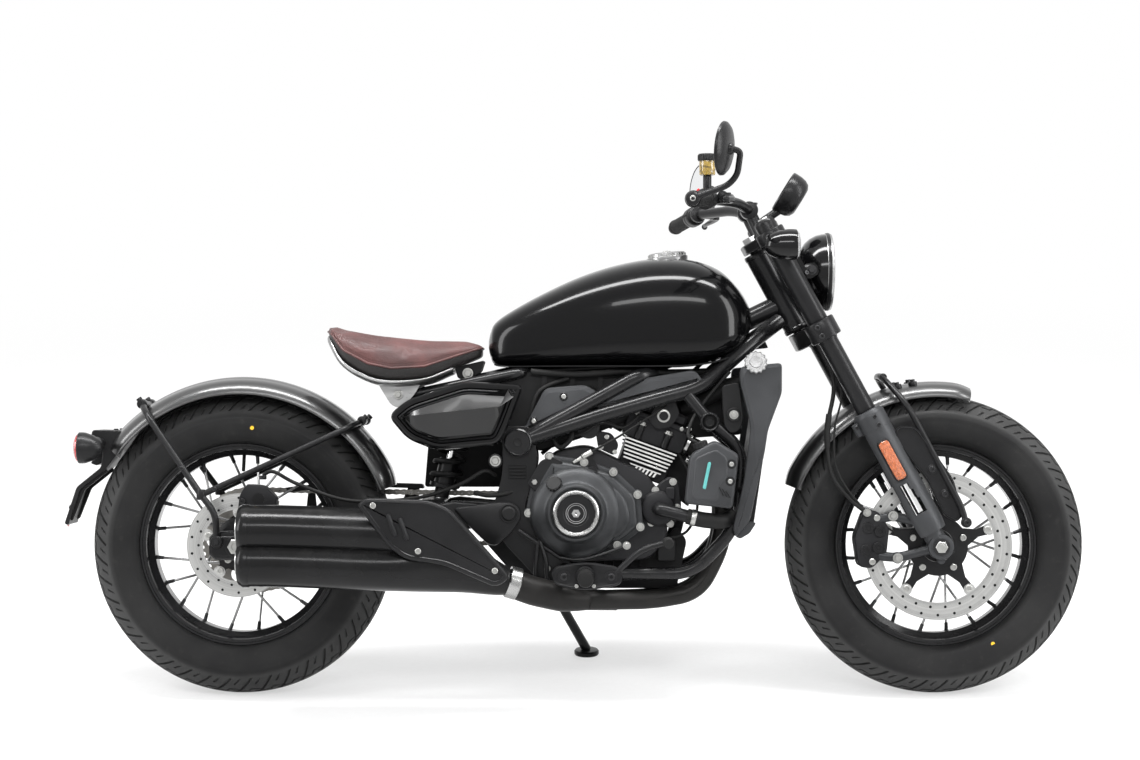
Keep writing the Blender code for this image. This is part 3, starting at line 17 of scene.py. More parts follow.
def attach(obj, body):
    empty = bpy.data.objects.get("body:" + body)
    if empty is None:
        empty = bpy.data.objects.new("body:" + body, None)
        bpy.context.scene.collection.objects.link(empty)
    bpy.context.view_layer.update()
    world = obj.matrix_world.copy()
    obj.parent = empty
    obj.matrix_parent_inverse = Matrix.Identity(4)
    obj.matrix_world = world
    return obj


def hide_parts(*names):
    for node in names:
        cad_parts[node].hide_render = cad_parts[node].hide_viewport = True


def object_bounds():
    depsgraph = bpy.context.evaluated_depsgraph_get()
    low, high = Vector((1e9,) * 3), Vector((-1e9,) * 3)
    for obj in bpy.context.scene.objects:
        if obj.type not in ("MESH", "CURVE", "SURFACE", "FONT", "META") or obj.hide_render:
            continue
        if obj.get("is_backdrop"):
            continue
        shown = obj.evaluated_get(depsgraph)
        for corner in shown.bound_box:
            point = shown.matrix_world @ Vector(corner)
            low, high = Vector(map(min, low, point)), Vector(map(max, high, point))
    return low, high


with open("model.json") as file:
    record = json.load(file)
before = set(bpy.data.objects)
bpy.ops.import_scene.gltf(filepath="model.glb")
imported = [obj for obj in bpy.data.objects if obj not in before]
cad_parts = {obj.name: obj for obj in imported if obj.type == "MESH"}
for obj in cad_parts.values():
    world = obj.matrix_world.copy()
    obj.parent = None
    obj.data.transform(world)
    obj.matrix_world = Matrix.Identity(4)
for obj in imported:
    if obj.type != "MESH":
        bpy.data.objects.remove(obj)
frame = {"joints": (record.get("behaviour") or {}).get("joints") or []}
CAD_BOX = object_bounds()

random.seed(7)

# The machine's frame and driving sizes
LEAN = math.radians(11.0)
RAKE = math.radians(28.5)
WHEELBASE = 1.485
FORK_OFFSET = 0.035
LEG_SPREAD = 0.1025
SIDES = ((-1.0, "right"), (1.0, "left"))
FRONT = {"radius": 0.320, "crown": 0.070, "half": 0.065, "rim": 0.038}
REAR = {"radius": 0.322, "crown": 0.080, "half": 0.075, "rim": 0.052}
BEAD, FLANGE, WELL = 0.2060, 0.2155, 0.1890
JOINTS = {joint["name"]: joint for joint in frame["joints"]}
TILT = Matrix.Rotation(-LEAN, 4, "X")


def axle_height(tyre):
    """Height of the axle at which the leaning tyre just meets the ground plane."""
    flat = math.cos(math.pi / 32)
    ring = tyre["radius"] - tyre["crown"] + tyre["crown"] * math.cos(LEAN)
    return ring * flat + tyre["crown"] * math.sin(LEAN) ** 2 / math.cos(LEAN)


REAR_AXLE = Vector((0.0, 0.0, axle_height(REAR)))
FRONT_AXLE = Vector((WHEELBASE, 0.0, axle_height(FRONT)))
WORLD = Matrix.Translation(Vector(JOINTS["rear_wheel_spin"]["pos_m"]) - TILT @ REAR_AXLE) @ TILT
AHEAD = Vector((math.cos(RAKE), 0.0, math.sin(RAKE)))
UP_FORK = Vector((-math.sin(RAKE), 0.0, math.cos(RAKE)))


def steer(x, y, z):
    """A point given along the fork: x ahead of the steering axis, z up along it."""
    return FRONT_AXLE - FORK_OFFSET * AHEAD + x * AHEAD + Vector((0.0, y, 0.0)) + z * UP_FORK


# Materials: a value class for shader arithmetic, and one method for every other node

class Value:
    """A socket in a material; arithmetic on it adds Math nodes."""

    def __init__(self, look, socket):
        self.look, self.socket = look, socket

    def math(self, operation, *others):
        return self.look.node("ShaderNodeMath", dict(enumerate((self, *others))), operation=operation)

    def __add__(self, other):
        return self.math("ADD", other)

    def __sub__(self, other):
        return self.math("SUBTRACT", other)

    def __rsub__(self, other):
        return self.math("MULTIPLY", -1.0) + other

    def __mul__(self, other):
        return self.math("MULTIPLY", other)

    def __pow__(self, other):
        return self.math("POWER", other)

    __radd__ = __add__
    __rmul__ = __mul__

    def step(self, low, high, start=0.0, end=1.0):
        """Runs smoothly from start to end while the value runs from low to high."""
        values = {0: self, 1: low, 2: high, 3: start, 4: end}
        return self.look.node("ShaderNodeMapRange", values, interpolation_type="SMOOTHSTEP")


class Look:
    """A procedural Principled material."""

    def __init__(self, name, **fixed):
        self.material = bpy.data.materials.new(name)
        self.material.use_nodes = True
        self.tree = self.material.node_tree
        self.shader = self.tree.nodes["Principled BSDF"]
        for label, value in fixed.items():
            self.shader.inputs[label.replace("_", " ")].default_value = value
        self.at = self.node("ShaderNodeTexCoord", {}, "Object")

    def node(self, kind, values, output=0, **settings):
        made = self.tree.nodes.new(kind)
        for label, value in settings.items():
            setattr(made, label, value)
        for label, value in values.items():
            if isinstance(value, Value):
                self.tree.links.new(value.socket, made.inputs[label])
            else:
                made.inputs[label].default_value = value
        return Value(self, made.outputs[output])

    def noise(self, scale, detail, at=None):
        values = {"Vector": at or self.at, "Scale": scale, "Detail": detail, "Roughness": 0.55}
        return self.node("ShaderNodeTexNoise", values, "Fac")

    def cells(self, scale, feature="F1", at=None):
        values = {"Vector": at or self.at, "Scale": scale}
        return self.node("ShaderNodeTexVoronoi", values, "Distance", feature=feature)

    def apart(self, vector):
        made = self.node("ShaderNodeSeparateXYZ", {"Vector": vector})
        return [Value(self, made.socket.node.outputs[i]) for i in range(3)]

    def vector(self, x, y, z):
        return self.node("ShaderNodeCombineXYZ", {0: x, 1: y, 2: z})

    def stretch(self, scale, turn=(0.0, 0.0, 0.0)):
        """The object's coordinates, scaled differently along each axis."""
        return self.node("ShaderNodeMapping", {"Vector": self.at, "Scale": scale, "Rotation": turn})

    def mix(self, factor, one, two):
        made = self.tree.nodes.new("ShaderNodeMix")
        made.data_type = "RGBA"
        for index, value in ((0, factor), (6, one), (7, two)):
            if isinstance(value, Value):
                self.tree.links.new(value.socket, made.inputs[index])
            elif index:
                made.inputs[index].default_value = (*value, 1.0)
            else:
                made.inputs[index].default_value = value
        return Value(self, made.outputs[2])

    def bump(self, height, distance):
        return self.node("ShaderNodeBump", {"Height": height, "Distance": distance, "Strength": 1.0})

    def finish(self, **links):
        for label, value in links.items():
            target = self.shader.inputs[label.replace("_", " ")]
            if isinstance(value, Value):
                self.tree.links.new(value.socket, target)
            else:
                target.default_value = value
        return self.material


SHEEN, LACQUER_IOR = 0.16, 1.25
DUST = (0.16, 0.155, 0.145)


def dimmed(colour, share):
    """The colour times a share, no channel above full."""
    return tuple(min(1.0, c * share) for c in colour)


def surface(name, colour, rough, metal=0.0, blotch=9.0, uneven=0.12, grain=900.0, depth=0.00002, dust=0.05,
            wear=(), **fixed):
    """A painted, moulded or cast surface: blotches, fine grain, faint dust above, and optional scuffs."""
    fixed = {"Specular_IOR_Level": SHEEN, "Coat_IOR": LACQUER_IOR, **fixed}
    look = Look(name, Metallic=metal, **fixed)
    cloud = look.noise(blotch, 5.0)
    fine = look.noise(grain, 2.0)
    base = look.mix(cloud.step(0.3, 0.7), dimmed(colour, 0.85), dimmed(colour, 1.18))
    normal = look.node("ShaderNodeNewGeometry", {}, "Normal")
    above = look.apart(normal)[2].step(0.3, 1.0)
    settled = above * look.noise(35.0, 6.0).step(0.45, 0.75) * dust
    base = look.mix(settled, base, DUST)
    roughness = cloud.step(0.25, 0.75, rough - uneven * 0.5, rough + uneven * 0.5) + settled * 0.5
    if wear:
        scratch = look.noise(1.0, 8.0, look.stretch((60.0, 60.0, 900.0), (0.4, 0.2, 0.0))).step(0.66, 0.70)
        rub = scratch * look.noise(14.0, 4.0).step(0.52, 0.66)
        base = look.mix(rub * wear[1], base, wear[0])
        roughness = roughness + rub * 0.15
    height = fine + look.noise(grain * 0.23, 2.0) * 1.5
    return look.finish(Base_Color=base, Roughness=roughness, Normal=look.bump(height, depth))


def gloss_black(name, rough, lacquer, under=0.12):
    """Deep gloss paint under lacquer: a soft wide shine with a sharper one on it, orange peel and a little dust."""
    look = Look(name, Coat_Weight=lacquer, Coat_Roughness=0.05, Coat_IOR=LACQUER_IOR, Specular_IOR_Level=under)
    cloud = look.noise(5.0, 4.0)
    flake = look.noise(3200.0, 1.0).step(0.62, 0.75)
    normal = look.node("ShaderNodeNewGeometry", {}, "Normal")
    above = look.apart(normal)[2].step(0.45, 1.0)
    settled = above * look.noise(60.0, 7.0).step(0.52, 0.8) * 0.02
    base = look.mix(flake * 0.4, (0.0018, 0.0018, 0.0020), (0.0050, 0.0050, 0.0056))
    base = look.mix(settled, base, (0.2, 0.2, 0.19))
    peel = look.noise(420.0, 1.0)
    return look.finish(Base_Color=base, Roughness=cloud.step(0.3, 0.7, rough, rough + 0.06) + settled,
                       Normal=look.bump(peel, 0.000012))


def tyre_look(name):
    """Road rubber: fine mould rings and radial marks on the wall, dusty scrubbed tread."""
    look = Look(name, Specular_IOR_Level=0.13)
    around, across, _ = look.apart(look.node("ShaderNodeUVMap", {}, "UV", uv_map="band"))
    wall = across.math("ABSOLUTE").step(0.55, 0.60)
    rings = (across * 900.0).math("SINE") * wall
    ribs = (around * 3200.0).math("SINE") * wall * look.noise(3.0, 2.0).step(0.4, 0.6)
    cloud = look.noise(7.0, 6.0)
    base = look.mix(cloud.step(0.3, 0.75), (0.0065, 0.0065, 0.0068), (0.0135, 0.0135, 0.0135))
    worn = look.mix(cloud.step(0.3, 0.75), (0.022, 0.022, 0.022), (0.034, 0.034, 0.034))
    base = look.mix(across.math("ABSOLUTE").step(0.44, 0.55), worn, base)
    base = look.mix(look.noise(70.0, 8.0).step(0.55, 0.8) * 0.18, base, (0.045, 0.043, 0.040))
    height = rings * 0.35 + ribs * 0.12 + look.noise(1400.0, 2.0) * 0.8 + look.noise(240.0, 4.0)
    rough = cloud.step(0.2, 0.8, 0.48, 0.66) - wall * 0.05
    return look.finish(Base_Color=base, Roughness=rough, Normal=look.bump(height, 0.00012))


def leather_look(name, colour):
    """Hide with a cell grain whose grooves are painted darker as shade, creases, and patches of lighter and darker
    tone.
    """
    look = Look(name, Sheen_Weight=0.05, Sheen_Roughness=0.4, Specular_IOR_Level=0.38)
    warp = look.noise(90.0, 3.0)
    grain = look.cells(520.0, "DISTANCE_TO_EDGE", look.node("ShaderNodeVectorMath", {0: look.at, 1: look.vector(
        warp * 0.004, warp * 0.003, warp * 0.004)}, operation="ADD"))
    pores = look.cells(1500.0)
    crease = look.noise(1.0, 5.0, look.stretch((14.0, 6.0, 14.0))).step(0.40, 0.60)
    cloud = look.noise(11.0, 5.0)
    base = look.mix(cloud.step(0.3, 0.72), dimmed(colour, 0.55), dimmed(colour, 1.35))
    # painted shade: the grain's grooves are mixed toward a darker copy of the hide's colour
    base = look.mix(grain.step(0.0, 0.12, 0.55, 0.0), base, dimmed(colour, 0.35))
    height = grain.step(0.0, 0.2) + pores * 0.2 + crease * 0.25
    rough = cloud.step(0.2, 0.8, 0.36, 0.52) + grain.step(0.0, 0.15, 0.12, 0.0)
    return look.finish(Base_Color=base, Roughness=rough, Normal=look.bump(height, 0.00013))


def disc_look(name, centre):
    """Ground steel: rings about the axle, with swept wear marks."""
    look = Look(name, Metallic=1.0)
    middle = tuple(WORLD @ Vector(centre))
    away = look.node("ShaderNodeVectorMath", {0: look.at, 1: middle}, operation="SUBTRACT")
    reach = look.node("ShaderNodeVectorMath", {0: away}, "Value", operation="LENGTH")
    ring = look.noise(1.0, 4.0, look.vector(reach * 2600.0, 0.5, 0.5))
    broad = look.noise(1.0, 3.0, look.vector(reach * 260.0, 3.5, 0.5))
    blotch = look.noise(16.0, 5.0)
    base = look.mix(broad.step(0.3, 0.7), (0.34, 0.34, 0.335), (0.50, 0.50, 0.49))
    base = look.mix(blotch.step(0.55, 0.75) * 0.35, base, (0.27, 0.265, 0.26))
    return look.finish(Base_Color=base, Roughness=ring.step(0.3, 0.7, 0.22, 0.40) + blotch * 0.06,
                       Normal=look.bump(ring, 0.00004))


def metal_look(name, colour, rough, brushed=(0.0, 0.0, 0.0), scale=700.0, stain=0.15):
    """Bare metal: brushed or satin, with stains and small scratches."""
    look = Look(name, Metallic=1.0)
    where = look.stretch(brushed) if any(brushed) else None
    lines = look.noise(1.0, 3.0, where) if where else look.noise(scale, 3.0)
    cloud = look.noise(18.0, 6.0)
    base = look.mix(cloud.step(0.35, 0.7), tuple(c * (1.0 - stain) for c in colour), colour)
    scratch = look.noise(1.0, 9.0, look.stretch((40.0, 700.0, 90.0), (0.5, 0.9, 0.3))).step(0.67, 0.71)
    rough_map = lines.step(0.3, 0.7, rough - 0.06, rough + 0.08) + scratch * 0.15 + cloud * 0.05
    return look.finish(Base_Color=base, Roughness=rough_map, Normal=look.bump(lines + scratch * 0.5, 0.00003))


def lens_look(name, colour, cell, rough=0.06):
    """Moulded lens: colour over a prism pattern seen through a smooth face, with the prisms' borders painted darker
    as shade and scattered cells painted lighter as glints.
    """
    look = Look(name, Coat_Weight=1.0, Coat_Roughness=0.03, IOR=1.49)
    prism = look.cells(cell, "DISTANCE_TO_EDGE").step(0.0, 0.25)
    depth = look.cells(cell * 0.5)
    # painted shade: the prisms' borders take a darker copy of the lens colour
    base = look.mix(prism, dimmed(colour, 0.35), colour)
    # painted glints: scattered cells drawn lighter than the lens colour
    base = look.mix(depth.step(0.3, 0.9) * 0.5, base, tuple(min(1.0, c * 1.6 + 0.02) for c in colour))
    return look.finish(Base_Color=base, Roughness=depth.step(0.0, 1.0, rough, rough + 0.15),
                       Normal=look.bump(prism, 0.0004))


def glass_look(name):
    """Clear glass with faint smears."""
    look = Look(name, Transmission_Weight=1.0, IOR=1.46)
    tint, rough = (0.95, 0.97, 0.97), 0.01
    smear = look.noise(22.0, 5.0)
    base = look.mix(smear.step(0.3, 0.8), tint, dimmed(tint, 0.94))
    return look.finish(Base_Color=base, Roughness=smear.step(0.4, 0.8, rough, rough + 0.03),
                       Normal=look.bump(look.noise(60.0, 2.0), 0.00001))


def mesh_look(name, pitch, colour, gap_shade):
    """Cooling core: thin folded fins between flat tubes, painted on a flat face: the gaps between the fins painted
    dark as shade and the tubes painted lighter as highlight.
    """
    look = Look(name, Metallic=0.8)
    _, y, z = look.apart(look.at)
    fins = (z * (6.2832 / pitch)).math("SINE").step(-0.4, 0.6)
    tubes = (y * (6.2832 / (pitch * 6.0))).math("SINE").step(0.75, 0.9)
    grime = look.noise(40.0, 6.0)
    # painted shade: the gaps between the fins take a colour ten times darker than the fins
    base = look.mix(fins, gap_shade, colour)
    # painted highlight: the flat tubes drawn lighter than the fins
    base = look.mix(tubes, base, dimmed(colour, 1.3))
    return look.finish(Base_Color=base, Roughness=grime.step(0.2, 0.8, 0.38, 0.6),
                       Normal=look.bump(fins + tubes, 0.0008))


LOOKS = {
    "gloss": gloss_black("gloss_black", 0.13, 0.9),
    "cover": gloss_black("cover_paint", 0.34, 0.35, 0.55),
    "tank": gloss_black("tank_paint", 0.16, 0.6, 0.08),
    "guard": gloss_black("mudguard_paint", 0.30, 0.9, 0.8),
    "satin": surface("satin_black", (0.0085, 0.0085, 0.009), 0.34, 0.2, grain=1500.0, depth=0.000015,
                     Coat_Weight=0.25, Coat_Roughness=0.25, wear=((0.05, 0.05, 0.05), 0.25)),
    "frame": surface("frame_paint", (0.0075, 0.0075, 0.008), 0.27, 0.1, grain=700.0, depth=0.00003,
                     Coat_Weight=0.5, Coat_Roughness=0.16, wear=((0.05, 0.05, 0.05), 0.2)),
    "matt": surface("matt_black", (0.0060, 0.0060, 0.0063), 0.52, grain=1100.0, depth=0.00004, dust=0.10),
    "grey": surface("grey_moulding", (0.034, 0.035, 0.037), 0.42, 0.35, grain=1300.0, depth=0.00004,
                    wear=((0.10, 0.10, 0.10), 0.2)),
    "cast": surface("cast_case", (0.030, 0.031, 0.0325), 0.38, 0.55, grain=520.0, depth=0.00009, dust=0.12,
                    wear=((0.16, 0.16, 0.16), 0.3)),
    "dark_cast": surface("dark_cast", (0.013, 0.013, 0.014), 0.5, 0.35, grain=480.0, depth=0.00009, dust=0.14,
                         wear=((0.10, 0.10, 0.10), 0.25)),
    "plastic": surface("black_plastic", (0.0085, 0.0085, 0.0088), 0.40, grain=800.0, depth=0.00005),
    "rubber": surface("soft_rubber", (0.0075, 0.0075, 0.0075), 0.62, grain=900.0, depth=0.00006, dust=0.12),
    "header": surface("header_paint", (0.014, 0.0135, 0.013), 0.42, 0.45, blotch=14.0, uneven=0.22, grain=600.0,
                      depth=0.00005, wear=((0.06, 0.045, 0.035), 0.4)),
    "muffler": surface("muffler_paint", (0.008, 0.008, 0.0083), 0.22, 0.40, grain=1400.0, depth=0.00002,
                       Coat_Weight=0.25, Coat_Roughness=0.22),
    "tyre": tyre_look("road_tyre"),
    "leather": leather_look("brown_leather", (0.066, 0.0225, 0.021)),
    "dark_leather": leather_look("dark_leather", (0.0105, 0.0088, 0.0085)),
    "bolt": surface("black_screws", (0.030, 0.030, 0.031), 0.30, 0.75, grain=1800.0, dust=0.0,
                    wear=((0.18, 0.18, 0.18), 0.3)),
    "thread": surface("seam_thread", (0.050, 0.018, 0.015), 0.7, grain=3000.0, depth=0.0002, dust=0.0),
    "steel": metal_look("bright_steel", (0.38, 0.38, 0.375), 0.22),
    "spoke": metal_look("spoke_steel", (0.26, 0.26, 0.26), 0.28),
    "zinc": metal_look("zinc_bolts", (0.40, 0.40, 0.385), 0.30, scale=1500.0),
    "chrome": metal_look("chrome", (0.80, 0.80, 0.80), 0.09, stain=0.05),
    "alloy": metal_look("satin_alloy", (0.40, 0.40, 0.40), 0.30, (30.0, 900.0, 60.0)),
    "fin": metal_look("machined_fins", (0.74, 0.74, 0.73), 0.26, (12.0, 500.0, 900.0)),
    "chain": metal_look("oiled_chain", (0.30, 0.29, 0.27), 0.33, stain=0.4),
    "front_disc": disc_look("front_disc_steel", FRONT_AXLE),
    "rear_disc": disc_look("rear_disc_steel", REAR_AXLE),
    "orange": lens_look("orange_reflector", (0.36, 0.072, 0.004), 520.0),
    "red": lens_look("red_lens", (0.34, 0.012, 0.014), 420.0),
    "amber": lens_look("amber_fluid", (0.26, 0.17, 0.024), 60.0, rough=0.10),
    "smoke": lens_look("smoked_lens", (0.20, 0.20, 0.20), 300.0),
    "glass": glass_look("clear_glass"),
    "mirror": metal_look("mirror_glass", (0.86, 0.87, 0.88), 0.07, stain=0.02),
    # the core's last colour is painted shade for the gaps between its fins
    "core": mesh_look("radiator_fins", 0.0032, (0.06, 0.06, 0.062), (0.006, 0.006, 0.006)),
    "teal": surface("teal_window", (0.07, 0.26, 0.25), 0.22, grain=400.0, dust=0.0, Coat_Weight=0.6),
    "red_plastic": surface("red_switch", (0.42, 0.012, 0.016), 0.35, dust=0.0),
    "yellow": surface("balance_dot", (0.62, 0.38, 0.03), 0.6, dust=0.0),
    "dial": surface("dial_face", (0.006, 0.006, 0.007), 0.20, dust=0.0, Coat_Weight=1.0),
}


# Shapes: (points, faces), joined into pieces below

def curve(points, count):
    """Points of any size spread smoothly along a row of them, ends included."""
    rows = [tuple(p) for p in points]
    last = len(rows) - 1
    made = []
    for i in range(count):
        t = last * i / (count - 1)
        k = min(int(t), last - 1)
        t -= k
        a, b, c, d = (rows[min(max(j, 0), last)] for j in (k - 1, k, k + 1, k + 2))
        made.append(tuple(0.5 * (2 * q + (r - p) * t + (2 * p - 5 * q + 4 * r - s) * t * t
                                 + (3 * q - p - 3 * r + s) * t ** 3) for p, q, r, s in zip(a, b, c, d)))
    return made


def rounded(points, bend, steps=6, closed=False):
    """The points with each corner drawn as a short curve."""
    points = [Vector(p) for p in points]
    count = len(points)
    out = [] if closed else [points[0]]
    for i in range(count) if closed else range(1, count - 1):
        before, corner, after = points[i - 1], points[i], points[(i + 1) % count]
        reach = min(bend, 0.45 * (before - corner).length, 0.45 * (after - corner).length)
        first = corner + reach * (before - corner).normalized()
        last = corner + reach * (after - corner).normalized()
        for k in range(steps + 1):
            t = k / steps
            out.append((1 - t) ** 2 * first + 2 * t * (1 - t) * corner + t ** 2 * last)
    return out if closed else out + [points[-1]]


def loft(rings, joined=False):
    """Skin over rings of equal point count, with flat ends unless the last meets the first."""
    count = len(rings[0])
    verts = [Vector(p) for ring in rings for p in ring]
    faces = []
    for a in range(len(rings) if joined else len(rings) - 1):
        b = (a + 1) % len(rings)
        for i in range(count):
            j = (i + 1) % count
            faces.append((a * count + i, a * count + j, b * count + j, b * count + i))
    if not joined:
        faces.append(tuple(range(count)))
        faces.append(tuple((len(rings) - 1) * count + i for i in range(count)))
    return verts, faces


def over(reach):
    """A step across the machine, to the left if above zero."""
    return Vector((0.0, reach, 0.0))


def polar(centre, radius, degrees, y=0.0):
    """A point at a radius and a rise angle about an axle."""
    t = math.radians(degrees)
    return Vector(centre) + Vector((radius * math.cos(t), y, radius * math.sin(t)))


def across(axis):
    """Two unit vectors square to the axis."""
    axis = Vector(axis).normalized()
    side = Vector((0.0, 0.0, 1.0)) if abs(axis.z) < 0.9 else Vector((1.0, 0.0, 0.0))
    one = (side - axis * side.dot(axis)).normalized()
    return one, axis.cross(one)


def turned(points, centre, axis=(0.0, 1.0, 0.0), sides=32, hollow=False):
    """A solid of revolution: points are (along, radius)."""
    axis = Vector(axis).normalized()
    one, two = across(axis)
    rings = []
    for along, radius in points:
        middle = Vector(centre) + axis * along
        rings.append([middle + radius * (math.cos(t) * one + math.sin(t) * two)
                      for t in (2.0 * math.pi * (i + 0.5) / sides for i in range(sides))])
    return loft(rings, joined=hollow)


def rod(start, end, radius, sides=20, edge=0.0):
    """A round bar between two points, its ends eased by edge."""
    start, end = Vector(start), Vector(end)
    length = (end - start).length
    e = min(edge, 0.4 * length, 0.6 * radius)
    points = [(0.0, radius), (length, radius)]
    if e:
        points = [(0.0, radius - e), (0.3 * e, radius - 0.3 * e), (e, radius), (length - e, radius),
                  (length - 0.3 * e, radius - 0.3 * e), (length, radius - e)]
    return turned(points, start, end - start, sides)


def spun(profile, centre, sides):
    """A closed (across, radius) profile swept about the Y line through the centre."""
    rings = []
    for i in range(sides):
        angle = 2.0 * math.pi * i / sides
        rings.append([Vector(centre) + Vector((r * math.cos(angle), y, r * math.sin(angle))) for y, r in profile])
    return loft(rings, joined=True)


def sweep(path, section, closed=False):
    """A ring of (side, up) points carried along a path without twisting; section may depend on t."""
    path = [Vector(p) for p in path]
    count = len(path)
    rings, up = [], None
    for i, point in enumerate(path):
        before = path[i - 1] if i or closed else point
        after = path[(i + 1) % count] if i < count - 1 or closed else point
        along = (after - before).normalized()
        up = across(along)[0] if up is None else (up - along * up.dot(along)).normalized()
        side = along.cross(up)
        shape = section(i / (count - 1)) if callable(section) else section
        rings.append([point + side * u + up * v for u, v in shape])
    return loft(rings, joined=closed)


def circle(radius, sides, tall=None):
    """Points of a circle, or of an oval that is tall the second way."""
    return [(radius * math.cos(t), (tall or radius) * math.sin(t)) for t in
            (2 * math.pi * i / sides for i in range(sides))]


Tube = collections.namedtuple("Tube", "path radius sides")
Fitting = collections.namedtuple("Fitting", "kind at axis radius height along stretch")


def fitting(kind, at, axis, radius, height, along=None, stretch=1.0):
    """One of a repeated kind: where it sits, the way it faces, and its sizes."""
    axis = Vector(axis).normalized()
    return Fitting(kind, Vector(at), axis, round(radius, 5), round(height, 5), along or across(axis)[0], stretch)


def wire(start, end, radius):
    """A plain bar as a fitting, for the many that are alike."""
    start, end = Vector(start), Vector(end)
    return fitting("wire", start, end - start, radius, 1.0, stretch=(end - start).length)


def pipe(points, radius, bend, sides, steps=6):
    """A tube along straight runs with rounded bends."""
    return Tube(rounded(points, bend, steps), radius, sides)


def hose(points, radius, sides, count):
    """A cable or hose on one smooth curve through the points."""
    return Tube(curve(points, count), radius, sides)


def inset(outline, depth):
    """A flat outline drawn in by the same depth along every side."""
    count = len(outline)
    area = sum(a[0] * b[1] - b[0] * a[1] for a, b in zip(outline, outline[1:] + outline[:1]))
    turn = 1.0 if area > 0 else -1.0
    out = []
    for i, (x, z) in enumerate(outline):
        before, after = outline[i - 1], outline[(i + 1) % count]
        one = Vector((x - before[0], z - before[1])).normalized()
        two = Vector((after[0] - x, after[1] - z)).normalized()
        middle = turn * (Vector((-one.y, one.x)) + Vector((-two.y, two.x)))
        scale = 2.0 / max(middle.length_squared, 0.4)
        out.append((x + depth * scale * middle.x, z + depth * scale * middle.y))
    return out


def soften(outline, bend, steps=5):
    """The outline with its corners rounded."""
    return [(p.x, p.y) for p in rounded([(x, z, 0.0) for x, z in outline], bend, steps, closed=True)]


def slab(outline, levels, bend=0.0):
    """A side-view outline carried through (y, inset) levels, its corners rounded by bend."""
    if bend:
        outline = soften(outline, bend)
    rings = []
    for y, depth in levels:
        ring = inset(outline, depth) if depth else outline
        rings.append([Vector((x, y, z)) for x, z in ring])
    return loft(rings)


def pressed(loops, low, high):
    """A flat plate between two levels: the first loop is its edge in the side view, the others are holes."""
    bm = bmesh.new()
    for loop in loops:
        made = [bm.verts.new((x, low, z)) for x, z in loop]
        for a, b in zip(made, made[1:] + made[:1]):
            bm.edges.new((a, b))
    bmesh.ops.triangle_fill(bm, use_beauty=True, edges=bm.edges[:])
    grown = bmesh.ops.extrude_face_region(bm, geom=bm.faces[:])["geom"]
    risen = [g for g in grown if isinstance(g, bmesh.types.BMVert)]
    bmesh.ops.translate(bm, vec=(0.0, high - low, 0.0), verts=risen)
    bm.verts.index_update()
    verts = [v.co.copy() for v in bm.verts]
    faces = [tuple(v.index for v in f.verts) for f in bm.faces]
    bm.free()
    return verts, faces


def around(x, z, radius, sides):
    """A round loop in the side view."""
    return [(x + u, z + v) for u, v in circle(radius, sides)]


def plate(outline, low, high, holes, bend=0.0, sides=20):
    """A flat plate in the side view, with round (x, z, radius) holes through it."""
    if bend:
        outline = soften(outline, bend)
    return pressed([outline] + [around(*hole, sides) for hole in holes], low, high)


def fluting(centre, axis, count, radius, low, high, thick):
    """Small ribs along a round cap's side."""
    one, two = across(axis)
    ribs = []
    for i in range(count):
        t = 2 * math.pi * i / count
        spot = centre + (math.cos(t) * one + math.sin(t) * two) * radius
        ribs.append(rod(spot + axis * low, spot + axis * high, thick, 8))
    return ribs


def bolt(at, axis, radius, kind="hex", height=None):
    """A screw head standing on its seat: hexagon on a washer, or cap head with a hexagon socket."""
    return [fitting(kind, at, axis, radius, height or radius * 0.9)]


class Tree:
    """A Geometry Nodes tree with named inputs, for what repeats or follows a path."""

    def __init__(self, name, **inputs):
        self.group = bpy.data.node_groups.new(name, "GeometryNodeTree")
        sockets = self.group.interface
        sockets.new_socket("Geometry", in_out="INPUT", socket_type="NodeSocketGeometry")
        self.keys = {label: sockets.new_socket(label, in_out="INPUT", socket_type="NodeSocket" + kind).identifier
                     for label, kind in {**inputs, "Material": "Material"}.items()}
        sockets.new_socket("Geometry", in_out="OUTPUT", socket_type="NodeSocketGeometry")
        self.given = self.group.nodes.new("NodeGroupInput").outputs

    def node(self, kind, values, **settings):
        made = self.group.nodes.new(kind)
        for label, value in settings.items():
            setattr(made, label, value)
        for label, value in values.items():
            if isinstance(value, bpy.types.NodeSocket):
                self.group.links.new(value, made.inputs[label])
            else:
                made.inputs[label].default_value = value
        return made.outputs[0]

    def stored(self, name):
        return self.node("GeometryNodeInputNamedAttribute", {"Name": name}, data_type="FLOAT_VECTOR")

    def finish(self, geometry):
        real = self.node("GeometryNodeRealizeInstances", {"Geometry": geometry})
        painted = self.node("GeometryNodeSetMaterial", {"Geometry": real, "Material": self.given["Material"]})
        self.group.links.new(painted, self.group.nodes.new("NodeGroupOutput").inputs[0])
        return self

    def grow(self, points, edges, stored, **inputs):
        """The tree's plain mesh for these points."""
        mesh = bpy.data.meshes.new("marks")
        mesh.from_pydata(points, edges, [])
        for name, vectors in stored.items():
            kept = mesh.attributes.new(name, "FLOAT_VECTOR", "POINT").data
            kept.foreach_set("vector", [c for v in vectors for c in v])
        marks = bpy.data.objects.new("marks", mesh)
        bpy.context.scene.collection.objects.link(marks)
        step = marks.modifiers.new("nodes", "NODES")
        step.node_group = self.group
        for label, value in inputs.items():
            step[self.keys[label]] = value
        graph = bpy.context.evaluated_depsgraph_get()
        result = bpy.data.meshes.new_from_object(marks.evaluated_get(graph), depsgraph=graph)
        marks.modifiers.clear()
        bpy.data.objects.remove(marks)
        bpy.data.meshes.remove(mesh)
        return result


